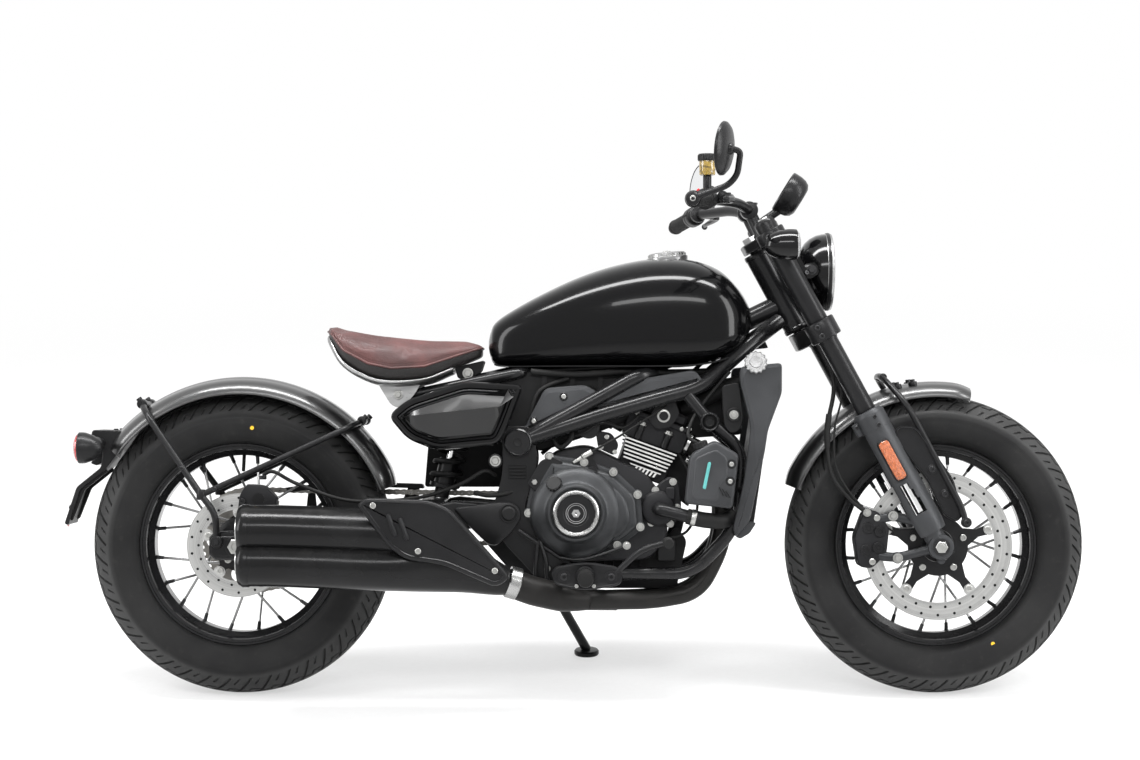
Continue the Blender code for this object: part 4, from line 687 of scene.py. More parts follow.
def fitting_tree():
    """Sets a shape on each point: its Z along the point's axis, its X along the point's other way."""
    tree = Tree("fittings", Shape="Object", Radius="Float", Height="Float")
    shape = tree.group.nodes.new("GeometryNodeObjectInfo")
    tree.group.links.new(tree.given["Shape"], shape.inputs["Object"])
    stand = tree.node("FunctionNodeAlignRotationToVector", {"Vector": tree.stored("axis")}, axis="Z")
    turn = tree.node("FunctionNodeAlignRotationToVector", {"Rotation": stand, "Vector": tree.stored("along")},
                     axis="X", pivot_axis="Z")
    size = tree.node("ShaderNodeCombineXYZ", {"X": tree.given["Radius"], "Y": tree.given["Radius"],
                                              "Z": tree.given["Height"]})
    size = tree.node("ShaderNodeVectorMath", {0: size, 1: tree.stored("stretch")}, operation="MULTIPLY")
    return tree.finish(tree.node("GeometryNodeInstanceOnPoints", {
        "Points": tree.given["Geometry"], "Instance": shape.outputs["Geometry"], "Rotation": turn, "Scale": size}))


def tube_tree():
    """A round tube, closed at both ends, along each run of edges."""
    tree = Tree("tubes", Radius="Float", Sides="Int")
    path = tree.node("GeometryNodeMeshToCurve", {"Mesh": tree.given["Geometry"]})
    ring = tree.node("GeometryNodeCurvePrimitiveCircle", {"Radius": tree.given["Radius"],
                                                          "Resolution": tree.given["Sides"]})
    return tree.finish(tree.node("GeometryNodeCurveToMesh",
                                 {"Curve": path, "Profile Curve": ring, "Fill Caps": True}))


FITTINGS, TUBES = fitting_tree(), tube_tree()
ORIGIN, UP = Vector((0.0, 0.0, 0.0)), Vector((0.0, 0.0, 1.0))
KINDS = {
    "hex": [([(-0.20, 1.35), (0.22, 1.35)], 20), ([(0.0, 1.0), (0.8, 1.0), (1.0, 0.86)], 6)],
    "cap": [([(0.0, 1.0), (0.85, 1.0), (1.0, 0.88), (1.0, 0.55), (0.3, 0.5)], 20)],
    "wire": [([(0.0, 1.0), (1.0, 1.0)], 12)],
    "nipple": [([(-1.0, 0.67), (-0.9, 0.95), (-0.21, 1.0), (0.0, 1.31)], 8)],
    "bead": [([(-1.0, 0.83), (0.0, 1.0), (0.67, 0.83)], 10)],
    "button": [([(-0.19, 1.0), (0.69, 0.976), (1.0, 0.756), (1.0, 0.44), (0.46, 0.39)], 24)],
}


def lay(bm, shape, index=0):
    """Adds a shape's faces to a mesh, with one of its materials."""
    verts, faces = shape
    made = [bm.verts.new(v) for v in verts]
    for face in faces:
        bm.faces.new([made[i] for i in face]).material_index = index


def solid(name, shapes):
    """An object of its own, for a tree to set on points."""
    bm = bmesh.new()
    for shape in shapes:
        lay(bm, shape)
    bmesh.ops.recalc_face_normals(bm, faces=bm.faces)
    mesh = bpy.data.meshes.new(name)
    bm.to_mesh(mesh)
    bm.free()
    return bpy.data.objects.new(name, mesh)


SHAPES = {kind: solid(kind, [turned(points, ORIGIN, UP, sides) for points, sides in parts])
          for kind, parts in KINDS.items()}


def by_nodes(marks, material):
    """Plain meshes for a piece's tubes and fittings, one for each size."""
    alike = {}
    for mark in marks:
        key = ("tube", mark.radius, mark.sides) if isinstance(mark, Tube) else (mark.kind, mark.radius, mark.height)
        alike.setdefault(key, []).append(mark)
    for (kind, radius, other), same in alike.items():
        if kind == "tube":
            points, edges = [], []
            for mark in same:
                edges += [(i, i + 1) for i in range(len(points), len(points) + len(mark.path) - 1)]
                points += mark.path
            yield TUBES.grow(points, edges, {}, Radius=radius, Sides=other, Material=material)
        else:
            stored = {"axis": [m.axis for m in same], "along": [m.along for m in same],
                      "stretch": [(1.0, 1.0, m.stretch) for m in same]}
            yield FITTINGS.grow([m.at for m in same], [], stored, Shape=SHAPES[kind], Radius=radius, Height=other,
                                Material=material)


def piece(name, body, parts, replaces=(), crease=32.0, bevel=0.0):
    """One object from [(look, [shapes])], leaned over with the machine and riding on its body."""
    bm = bmesh.new()
    looks = []
    for look, shapes in parts:
        if look not in looks:
            looks.append(look)
        marks = [shape for shape in shapes if isinstance(shape, (Tube, Fitting))]
        for shape in shapes:
            if not isinstance(shape, (Tube, Fitting)):
                lay(bm, shape, looks.index(look))
        for grown in by_nodes(marks, LOOKS[look]):
            first = len(bm.faces)
            bm.from_mesh(grown)
            bm.faces.ensure_lookup_table()
            for face in bm.faces[first:]:
                face.material_index = looks.index(look)
            bpy.data.meshes.remove(grown)
    bmesh.ops.recalc_face_normals(bm, faces=bm.faces)
    mesh = bpy.data.meshes.new(name)
    bm.to_mesh(mesh)
    bm.free()
    mesh.transform(WORLD)
    mesh.shade_smooth()
    mesh.set_sharp_from_angle(angle=math.radians(crease))
    for look in looks:
        mesh.materials.append(LOOKS[look])
    made = bpy.data.objects.new(name, mesh)
    bpy.context.scene.collection.objects.link(made)
    if bevel:
        step = made.modifiers.new("edges", "BEVEL")
        step.width, step.segments, step.limit_method = bevel, 2, "ANGLE"
        step.angle_limit = math.radians(crease)
        step.harden_normals = True
    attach(made, body)
    if replaces:
        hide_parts(*replaces)
    return made


def steered(outline, *levels):
    """A block square to the steering axis, from an (x, y) outline and its heights along the axis."""
    return loft([[steer(x, y, z) for x, y in outline] for z in levels])


def out(side, *points):
    """Points given for the left, on the wanted side."""
    return [Vector((x, side * y, z)) for x, y, z in points]


def both(points):
    """A path given for the left from its foot up, carried over to the right side's foot."""
    return out(-1, *points) + out(1, *reversed(points))


def between(side, low, high):
    """Two distances from the middle plane as (low, high) on the wanted side."""
    return sorted((side * low, side * high))


# Wheels

TREAD_ROWS = (0.0, 2.4, 3.2, 9.0, 13.0, 14.0, 19.0, 19.8, 23.0, 23.8, 27.0, 27.8, 31.0, 31.8, 37.0, 43.0, 44.0,
              50.0, 56.0, 57.0)
# places round a pitch, 0 to 1; the rows above are angles off the centre line
TREAD_COLUMNS = (0.0, 0.025, 0.135, 0.16, 0.33, 0.475, 0.50, 0.575, 0.60, 0.80)
PITCHES = 42


def tread_depth(u, a):
    """Groove depth for the place u in a pitch (0 to 1) and the angle a off the centre line."""
    if a < 2.5 or (0.025 <= u <= 0.135 and 13.5 < a < 56.5):
        return 0.0048
    if (u < 0.49 and 19.5 < a < 23.5) or (u > 0.49 and 27.5 < a < 31.5):
        return 0.0042
    if 0.50 <= u <= 0.575 and (19.5 < a < 31.5 or 43.5 < a < 50.5):
        return 0.0036
    return 0.0


def tyre(name, size, centre, node, body, dot):
    """Carcass and tread as one skin over rows across it, with a UV band for the look, and the balance dot."""
    crown, middle = size["crown"], size["radius"] - size["crown"]
    half, rim, depth = size["half"], size["rim"], size["radius"] - BEAD
    wall = [(crown * math.sin(math.radians(a)), middle + crown * math.cos(math.radians(a))) for a in (57.0, 66.0)]
    wall += [(half, BEAD + 0.45 * depth), (half - 0.006, BEAD + 0.22 * depth), (rim + 0.008, FLANGE + 0.003),
             (rim + 0.003, FLANGE + 0.0005)]
    wall = curve(wall, 26)[1:] + [(rim, BEAD + 0.0005)]
    # two raised rings and a rim guard on the wall
    wall = [(y + (0.0009 if i in (5, 6, 17, 18) else 0.0), r) for i, (y, r) in enumerate(wall)]
    rows = [(-1.0, a, None) for a in reversed(TREAD_ROWS[1:])] + [(1.0, a, None) for a in TREAD_ROWS]
    rows = [(-1.0, 60.0, w) for w in reversed(wall)] + rows + [(1.0, 60.0, w) for w in wall]
    verts, uvs = [], []
    columns = [(p + u, u) for p in range(PITCHES) for u in TREAD_COLUMNS]
    for k, (side, a, point) in enumerate(rows):
        for place, u in columns:
            slant = 0.95 * (min(a, 57.0) / 57.0) ** 1.3 + (0.5 if side > 0 else 0.0)
            angle = 2.0 * math.pi * (place + slant) / PITCHES
            if point:
                y, r = side * point[0], point[1]
            else:
                reach = crown - tread_depth(u, a)
                y, r = side * reach * math.sin(math.radians(a)), middle + reach * math.cos(math.radians(a))
            verts.append(Vector(centre) + Vector((r * math.cos(angle), y, r * math.sin(angle))))
            uvs.append((angle / (2.0 * math.pi), 2.0 * k / (len(rows) - 1) - 1.0))
    count = len(columns)
    faces = []
    for k in range(len(rows) - 1):
        for i in range(count):
            j = (i + 1) % count
            faces.append((k * count + i, k * count + j, (k + 1) * count + j, (k + 1) * count + i))
    spot = polar(centre, *dot)
    mark = rod(spot, spot - Vector((0.0, 0.0016, 0.0)), 0.0042, 16)
    made = piece(name, body, [("tyre", [(verts, faces)]), ("yellow", [mark])], [node], crease=38.0)
    band = made.data.uv_layers.new(name="band")
    for loop, slot in zip(made.data.loops, band.data):
        slot.uv = uvs[loop.vertex_index] if loop.vertex_index < len(uvs) else (0.0, 0.0)
    return made


def rim_profile(half):
    """Rolled edges, a drop centre and flat bead seats, as thin sheet."""
    side = [(half + 0.0055, FLANGE - 0.001), (half + 0.0045, FLANGE), (half + 0.001, FLANGE),
            (half + 0.0006, FLANGE - 0.004), (half - 0.0002, BEAD)]
    top = [(0.62 * half, BEAD - 0.001), (0.42 * half, WELL + 0.004), (0.0, WELL + 0.003)]
    under = [(0.0, WELL), (0.40 * half, WELL + 0.0005), (0.60 * half, BEAD - 0.0045), (0.90 * half, BEAD - 0.0045),
             (half + 0.002, BEAD - 0.003), (half + 0.003, FLANGE - 0.006), (half + 0.0055, FLANGE - 0.005)]
    outline = side + top
    upper = outline + [(-y, r) for y, r in reversed(outline[:-1])]
    return upper + [(-y, r) for y, r in reversed(under)] + under[1:]


SPOKES = 20


def spoke_set(centre, flange_y, flange_radius, rim):
    """Crossed spokes with their elbows, and a nipple at the rim for each."""
    wires, nipples = [], []
    for i in range(SPOKES):
        side = 1.0 if i % 2 else -1.0
        lean = 1.0 if (i // 2) % 2 else -1.0
        rim_angle = 2.0 * math.pi * (i + 0.5) / SPOKES
        hub_angle = rim_angle + lean * math.radians(38.0)
        hub_y = side * (flange_y + lean * 0.002)
        inner = centre + Vector((flange_radius * math.cos(hub_angle), hub_y, flange_radius * math.sin(hub_angle)))
        outer = centre + Vector(((WELL + 0.002) * math.cos(rim_angle), side * 0.2 * rim,
                                 (WELL + 0.002) * math.sin(rim_angle)))
        way = (outer - inner).normalized()
        wires.append(wire(inner - way * 0.004, outer, 0.0027))
        nipples.append(fitting("nipple", outer, way, 0.0042, 0.019))
        nipples.append(fitting("bead", inner, (0, side, 0), 0.0048, 0.003))
    return wires, nipples


# hub profiles as (across, radius)
HUBS = {
    "front": [(-0.079, 0.0085), (-0.079, 0.0150), (-0.067, 0.0150), (-0.067, 0.034), (-0.046, 0.040),
              (-0.041, 0.0465), (-0.034, 0.0465), (-0.030, 0.030), (-0.020, 0.0245), (0.020, 0.0245),
              (0.030, 0.030), (0.034, 0.0465), (0.041, 0.0465), (0.046, 0.040), (0.079, 0.018), (0.079, 0.0085)],
    "rear": [(-0.1075, 0.0105), (-0.1075, 0.020), (-0.085, 0.020), (-0.085, 0.045), (-0.058, 0.046),
             (-0.052, 0.0585), (-0.044, 0.0585), (-0.038, 0.036), (-0.024, 0.032), (0.024, 0.032),
             (0.038, 0.036), (0.044, 0.0585), (0.052, 0.060), (0.056, 0.064), (0.0872, 0.064), (0.0872, 0.020),
             (0.1075, 0.020), (0.1075, 0.0105)],
}


def wheel(end, size, axle, flange, valve_foot, dot):
    """Rim, hub, spokes and valve as one piece, and the tyre round them."""
    body = end + "_wheel"
    wires, nipples = spoke_set(axle, *flange, size["rim"])
    valve = rod(axle + Vector((*valve_foot, WELL - 0.034)), axle + Vector((0.0, 0.0, WELL + 0.002)), 0.0038, 12,
                0.001)
    piece(end + "_rim", body, [("frame", [spun(rim_profile(size["rim"]), axle, 112)]),
                               ("satin", [spun(HUBS[end], axle, 48)]), ("spoke", wires), ("bolt", nipples),
                               ("rubber", [valve])], [body], crease=30.0)
    tyre(end + "_road_tyre", size, axle, end + "_tyre", body, dot)


def ring_plate(centre, inner, outer, low, high, rows, sides=120):
    """A flat ring about the axle with rows of (radius, count, hole, phase) drillings."""
    cx, cz = centre[0], centre[2]
    holes = []
    for radius, count, size, phase in rows:
        for i in range(count):
            t = 2.0 * math.pi * (i + phase) / count
            holes.append((cx + radius * math.cos(t), cz + radius * math.sin(t), size))
    loops = [around(cx, cz, outer, sides), around(cx, cz, inner, sides)]
    return pressed(loops + [around(*hole, 12) for hole in holes], low, high)


def disc(name, node, body, centre, outer, inner, y, ring, arms, look, hole):
    """Drilled brake band with ears, its dark carrier, and the bright buttons and screws that join them; dark plugs
    stop the drillings as painted shade in the holes.
    """
    low, high = y
    width = outer - inner
    count = 26 if outer > 0.13 else 18
    rows = [(inner + 0.27 * width, count, hole, 0.0), (inner + 0.72 * width, count, hole, 0.5)]
    band = ring_plate(centre, inner, outer, low, high, rows)
    # painted shade: the holes go through, and dark plugs set inside them make them read dark
    shade_plugs = []
    for radius, number, size, phase in rows:
        for i in range(number):
            spot = polar(centre, radius, 360.0 * (i + phase) / number)
            shade_plugs.append(wire(spot + over(low + 0.0010), spot + over(high - 0.0010), size * 1.02))
    carrier, buttons, ears = [ring_plate(centre, ring * 0.55, ring, low - 0.001, high + 0.001, [], 48)], [], []
    reach = inner - 0.009
    for i in range(arms):
        angle = 2.0 * math.pi * i / arms + math.radians(18.0)
        out = Vector((math.cos(angle), 0.0, math.sin(angle)))
        wide = Vector((-out.z, 0.0, out.x))
        outline = [(ring - 0.004, -0.020), (0.5 * reach + 0.5 * ring, -0.0085), (reach, -0.0105),
                   (reach + 0.008, 0.0), (reach, 0.0105), (0.5 * reach + 0.5 * ring, 0.0085), (ring - 0.004, 0.020)]
        rings = [[Vector(centre) + Vector((0.0, level, 0.0)) + out * a + wide * b for a, b in outline]
                 for level in (low + 0.0004, high - 0.0004)]
        carrier.append(loft(rings))
        at = Vector(centre) + out * reach
        ears.append(turned([(low + 0.0002, 0.0125), (high - 0.0002, 0.0125)], at + out * 0.003, sides=32))
        for level, rise in ((low, -1.0), (high, 1.0)):
            buttons.append(fitting("button", at + Vector((0.0, level, 0.0)), (0.0, rise, 0.0), 0.0082, 0.0026))
        seat = Vector(centre) + out * (ring - 0.008) + Vector((0.0, low - 0.001, 0.0))
        buttons += bolt(seat, (0, -1, 0), 0.0070, "cap", 0.0045)
    piece(name, body, [(look, [band] + ears), ("matt", shade_plugs), ("satin", carrier), ("zinc", buttons)], [node],
          crease=30.0)


wheel("front", FRONT, FRONT_AXLE, (0.037, 0.043), (0.02, -0.012), (0.241, -60.4, -0.0610))
wheel("rear", REAR, REAR_AXLE, (0.048, 0.055), (0.0, -0.014), (0.250, 84.0, -0.0738))
disc("front_brake_disc", "front_disc", "front_wheel", FRONT_AXLE, 0.158, 0.121, (-0.0723, -0.0673), 0.064, 5,
     "front_disc", 0.0031)
disc("rear_brake_disc", "rear_disc", "rear_wheel", REAR_AXLE, 0.110, 0.076, (-0.0903, -0.0853), 0.046, 5,
     "rear_disc", 0.0029)


# Bodywork

# stations: x, foot, top, half width
TANK = [(0.528, 0.738, 0.760, 0.020), (0.532, 0.722, 0.776, 0.040), (0.542, 0.706, 0.796, 0.062),
        (0.575, 0.701, 0.820, 0.083), (0.640, 0.701, 0.856, 0.105), (0.720, 0.701, 0.893, 0.126),
        (0.800, 0.701, 0.919, 0.142), (0.880, 0.701, 0.933, 0.150), (0.960, 0.703, 0.931, 0.150),
        (1.020, 0.713, 0.910, 0.140), (1.060, 0.735, 0.873, 0.116), (1.082, 0.765, 0.840, 0.082),
        (1.090, 0.788, 0.818, 0.044), (1.091, 0.797, 0.808, 0.016)]
TUNNEL = [(0.45, 0.725), (0.88, 0.745), (1.02, 0.812), (1.20, 0.875)]


def line_at(table, x):
    """The height at x on a line through the table's (x, z) points."""
    for (x0, z0), (x1, z1) in zip(table, table[1:]):
        if x <= x1:
            return z0 + (z1 - z0) * (x - x0) / (x1 - x0)
    return table[-1][1]


def tank_ring(x, low, high, half, count=64):
    """A rounded section, fuller below the middle, with the frame's tunnel in its floor."""
    middle = low + 0.42 * (high - low)
    notch = min(0.038, half * 0.45)
    roof = min(max(line_at(TUNNEL, x), low), middle)
    ring = []
    for i in range(count + 1):
        angle = math.radians(-76.0 + 332.0 * i / count)
        c, s = math.cos(angle), math.sin(angle)
        rise = (high - middle) if s > 0 else (middle - low)
        y = half * math.copysign(abs(c) ** 0.80, c)
        z = middle + rise * math.copysign(abs(s) ** (0.72 if s > 0 else 0.42), s)
        ring.append(Vector((x, y, z)))
    return ring + [Vector((x, -notch, low)), Vector((x, -notch * 0.96, roof)), Vector((x, notch * 0.96, roof)),
                   Vector((x, notch, low))]


def tank():
    """The painted shell and the pressed flange along its foot."""
    stations = curve(TANK, 96)
    shell = loft([tank_ring(*station) for station in stations])
    foot = [s for s in stations if 0.545 < s[0] < 1.04]
    lip = []
    for side in (-1.0, 1.0):
        path = [Vector((x, side * half * 0.70, low + 0.001)) for x, low, _, half in foot]
        lip.append(sweep(path, [(-0.012, -0.0012), (0.012, -0.0012), (0.012, 0.0012), (-0.012, 0.0012)]))
    piece("tank_shell", "chassis", [("tank", [shell]), ("satin", lip)], ["fuel_tank"], crease=50.0)


def cap():
    """Filler cap: a ring let into the tank, a fluted lid and its key flap."""
    up = Vector((-0.10, 0.0, 1.0)).normalized()
    centre = Vector((0.912, 0.0, 0.934))
    ring = [(-0.008, 0.043), (0.000, 0.0445), (0.003, 0.0445), (0.0042, 0.0425), (0.0046, 0.0405)]
    lid = [(0.003, 0.0405), (0.0105, 0.0405), (0.0128, 0.0375), (0.0135, 0.0340), (0.0128, 0.0325),
           (0.0128, 0.0210), (0.0140, 0.0195), (0.0140, 0.0010)]
    notches = fluting(centre, up, 24, 0.0402, 0.0042, 0.0098, 0.0012)
    flap = [turned([(0.0135, 0.0088), (0.0165, 0.0085), (0.0170, 0.0070)], centre, up, 24)]
    slot = [turned([(0.0168, 0.0040), (0.0174, 0.0036)], centre, up, 20)]
    piece("filler_cap", "chassis", [("alloy", [turned(ring, centre, up, 64), turned(lid, centre, up, 64)]),
                                    ("zinc", notches + flap), ("satin", slot)], ["fuel_cap"], crease=25.0)


SHEET = 0.0026


def mudguard_profile(radius, half, drop, crown):
    """Closed section of a mudguard: rolled edge, side, shoulder and raised middle band."""
    side = [(half, radius - drop), (half * 0.992, radius - 0.80 * drop), (0.93 * half, radius - 0.52 * drop),
            (0.80 * half, radius - 0.22 * drop), (crown + 0.014, radius + 0.0005), (crown + 0.006, radius + 0.0012),
            (crown, radius + 0.0040), (crown * 0.5, radius + 0.0052), (0.0, radius + 0.0056)]
    outer = side + [(-y, r) for y, r in reversed(side[:-1])]
    inner = [(y * (1.0 - SHEET / half), r - SHEET) for y, r in reversed(outer)]
    return outer + inner


def mudguard(radius, half, drop, crown, centre, start, turn, steps):
    """The swept guard; its section narrows and closes down over the last few degrees at each end."""
    rings = []
    for i in range(steps + 1):
        t = i / steps
        end = min(t, 1.0 - t) * turn
        close = max(0.0, 1.0 - end / 7.0) ** 2
        angle = math.radians(start + turn * t)
        shape = mudguard_profile(radius, half, drop, crown)
        rings.append([Vector(centre) + Vector(((r - 0.006 * close) * math.cos(angle), y * (1.0 - 0.10 * close),
                                               (r - 0.006 * close) * math.sin(angle))) for y, r in shape])
    lips = []
    for sign in (-1.0, 1.0):
        path = [Vector(centre) + Vector(((radius - drop) * math.cos(a), sign * (half - 0.0012),
                                         (radius - drop) * math.sin(a)))
                for a in (math.radians(start + 0.4 + (turn - 0.8) * k / steps) for k in range(steps + 1))]
        lips.append(sweep(path, circle(0.0026, 8)))
    return [loft(rings)] + lips


tank()
cap()


def thin(columns, rows, place, keep):
    """A closed thin sheet over a grid: place(u, v, layer) gives its points; cells without keep(i, j) are holes."""

    def index(i, j, layer):
        return (layer * rows + j) * columns + i
    verts = [place(i / (columns - 1), j / (rows - 1), layer) for layer in (0, 1) for j in range(rows)
             for i in range(columns)]
    kept = {(i, j) for i in range(columns - 1) for j in range(rows - 1) if keep(i, j)}
    faces = []
    for i, j in sorted(kept):
        corners = [(i, j), (i + 1, j), (i + 1, j + 1), (i, j + 1)]
        for layer in (0, 1):
            faces.append([index(a, b, layer) for a, b in corners])
        for (a, b), beside in zip(((0, 1), (1, 2), (2, 3), (3, 0)), ((i, j - 1), (i + 1, j), (i, j + 1), (i - 1, j))):
            if beside not in kept:
                one, two = corners[a], corners[b]
                faces.append([index(*one, 0), index(*two, 0), index(*two, 1), index(*one, 1)])
    used = sorted({k for face in faces for k in face})
    order = {k: n for n, k in enumerate(used)}
    return [verts[k] for k in used], [tuple(order[k] for k in face) for face in faces]


def mudguards():
    """Both guards with their tube stays, the stays' feet and clips, and the screws."""
    shell = mudguard(0.345, 0.066, 0.026, 0.024, FRONT_AXLE, 77.0, 81.0, 66)
    way = [(1.537, 0.1253, 0.369), (1.527, 0.1253, 0.405), (1.415, 0.108, 0.620), (1.368, 0.050, 0.681)]
    stay = pipe(both(way), 0.0065, 0.035, 16, 8)
    feet, heads = [], []
    for side, _ in SIDES:
        foot = Vector((1.537, side * 0.1183, 0.372))
        feet.append(rod(foot, foot + Vector((0, side * 0.0135, 0)), 0.011, 24, 0.002))
        heads += bolt(foot + Vector((0, side * 0.0135, 0)), (0, side, 0), 0.0062, "cap")
        for turn in (98.0, 103.5):
            angle = math.radians(turn)
            outward = Vector((math.cos(angle), 0.0, math.sin(angle)))
            seat = FRONT_AXLE + outward * 0.347 + Vector((0.0, side * 0.034, 0.0))
            feet.append(rod(seat - outward * 0.004, seat + outward * 0.006, 0.0095, 24, 0.0015))
            heads += bolt(seat + outward * 0.006, outward, 0.0055, "cap")
    clip = [rod(Vector((1.372, y - 0.012, 0.6785)), Vector((1.372, y + 0.012, 0.6785)), 0.0085, 16, 0.001)
            for y in (-0.034, 0.034)]
    piece("front_mudguard", "steering", [("guard", shell), ("satin", [stay] + feet + clip), ("bolt", heads)],
          ["front_fender"], crease=34.0)

    shell = mudguard(0.3525, 0.088, 0.030, 0.034, REAR_AXLE, 21.0, 123.0, 96)
    back = [(-0.039, 0.1418, 0.330), (-0.042, 0.1418, 0.392), (-0.073, 0.136, 0.430), (-0.192, 0.106, 0.598),
            (-0.210, 0.060, 0.6205)]
    fore = [(-0.073, 0.136, 0.430), (0.235, 0.118, 0.572), (0.258, 0.060, 0.584)]
    stays = [pipe(both(back), 0.0070, 0.030, 16, 8),
             pipe(both(fore), 0.0065, 0.030, 16, 8)]
    feet, heads = [], []
    for side, _ in SIDES:
        foot = Vector((-0.039, side * 0.1352, 0.332))
        feet.append(rod(foot, foot + Vector((0, side * 0.014, 0)), 0.013, 24, 0.002))
        heads += bolt(foot + Vector((0, side * 0.014, 0)), (0, side, 0), 0.007, "hex")
        for x, z, reach in ((-0.2105, 0.6215, 0.0075), (0.2585, 0.5855, 0.007)):
            at = Vector((x, side * 0.052, z))
            away = (at - REAR_AXLE - Vector((0.0, side * 0.052, 0.0))).normalized()
            feet.append(rod(at - Vector((0, 0.012, 0)), at + Vector((0, 0.012, 0)), reach + 0.003, 18, 0.001))
            heads += bolt(at + away * (reach + 0.002), away, 0.0062, "cap")
        corner = Vector((-0.073, side * 0.136, 0.430))
        feet.append(rod(corner - Vector((0, 0, 0.010)), corner + Vector((0, 0, 0.012)), 0.0095, 18, 0.002))
        for x, y, z in ((-0.115, 0.1265, 0.486), (-0.045, 0.1345, 0.443)):
            heads += bolt((x, side * (y + 0.0055), z), (0, side, 0), 0.005, "cap", 0.003)
    piece("rear_mudguard", "chassis", [("guard", shell), ("satin", stays + feet), ("bolt", heads)],
          ["rear_fender"], crease=34.0)


# stations: x, underside, edge of the hide, crown, half width
SEAT = [(0.188, 0.768, 0.774, 0.788, 0.060), (0.196, 0.752, 0.770, 0.786, 0.105),
        (0.226, 0.708, 0.732, 0.776, 0.138), (0.278, 0.678, 0.704, 0.766, 0.146),
        (0.327, 0.669, 0.694, 0.760, 0.142), (0.394, 0.674, 0.698, 0.754, 0.118),
        (0.446, 0.694, 0.716, 0.753, 0.088), (0.500, 0.715, 0.734, 0.752, 0.062),
        (0.514, 0.722, 0.738, 0.748, 0.048)]


def seat_section(x, low, edge, top, half, shrink):
    """Pan below, firm side band, rolled shoulder and a slightly dished top."""
    w = half - shrink
    upper = [(1.0, 0.0), (1.0, 0.25), (0.985, 0.5), (0.95, 0.73), (0.88, 0.90), (0.76, 0.985), (0.60, 1.0),
             (0.40, 0.975), (0.20, 0.955), (0.0, 0.95)]
    side = [(0.90 * w, low + shrink * 0.5), (0.96 * w, low + 0.35 * (edge - low))]
    side += [(f * w, edge + g * (top - shrink - edge)) for f, g in upper]
    ring = [Vector((x, y, z)) for y, z in curve(side, 40)]
    return ring + [Vector((x, -p.y, p.z)) for p in reversed(ring[:-1])]


def seat():
    """The cushion is blown up as cloth over its pan, then gets its welt and stitching."""
    stations = curve(SEAT, 64)
    shrink = 0.003
    rings = [seat_section(*s, shrink) for s in stations]
    made = piece("seat_cushion", "chassis", [("leather", [loft(rings)]), ("dark_leather", [])], ["seat"],
                 crease=80.0)
    mesh = made.data
    bm = bmesh.new()
    bm.from_mesh(mesh)
    bmesh.ops.triangulate(bm, faces=[f for f in bm.faces if len(f.verts) > 4])
    bm.to_mesh(mesh)
    bm.free()
    remesh = made.modifiers.new("even", "REMESH")
    remesh.mode, remesh.voxel_size = "VOXEL", 0.005
    bake(made)
    before = [v.co.copy() for v in made.data.vertices]
    upright = WORLD.inverted()

    def edge_at(x):
        return line_at([(s[0], s[2]) for s in SEAT], x)

    held = made.vertex_groups.new(name="held")
    for vertex in made.data.vertices:
        spot = upright @ vertex.co
        above = spot.z - edge_at(spot.x)
        held.add([vertex.index], min(1.0, max(0.0, 1.0 - (above - 0.004) / 0.012)), "REPLACE")
    cloth = made.modifiers.new("fill", "CLOTH")
    settings = cloth.settings
    settings.quality, settings.mass = 6, 0.35
    settings.tension_stiffness = settings.compression_stiffness = 22.0
    settings.shear_stiffness, settings.bending_stiffness = 12.0, 12.0
    settings.use_pressure, settings.uniform_pressure_force = True, 4.0
    settings.vertex_group_mass = "held"
    settings.effector_weights.gravity = 0.0
    scene = bpy.context.scene
    for step in range(1, 21):
        scene.frame_set(step)
    bake(made)
    scene.frame_set(1)
    limit = 0.006
    for vertex, start in zip(made.data.vertices, before):
        step = vertex.co - start
        if step.length > limit:
            vertex.co = start + step * (limit / step.length)
    finer = made.modifiers.new("finer", "SUBSURF")
    finer.levels = finer.render_levels = 1
    bake(made)
    mesh = made.data
    for face in mesh.polygons:
        spot = upright @ face.center
        face.material_index = int(spot.z < edge_at(spot.x) + 0.002)
    mesh.shade_smooth()
    welt(made, upright, edge_at)


def bake(made):
    """Keeps the result of the object's modifiers as its mesh."""
    graph = bpy.context.evaluated_depsgraph_get()
    mesh = bpy.data.meshes.new_from_object(made.evaluated_get(graph), preserve_all_data_layers=True, depsgraph=graph)
    old, made.data = made.data, mesh
    made.modifiers.clear()
    bpy.data.meshes.remove(old)


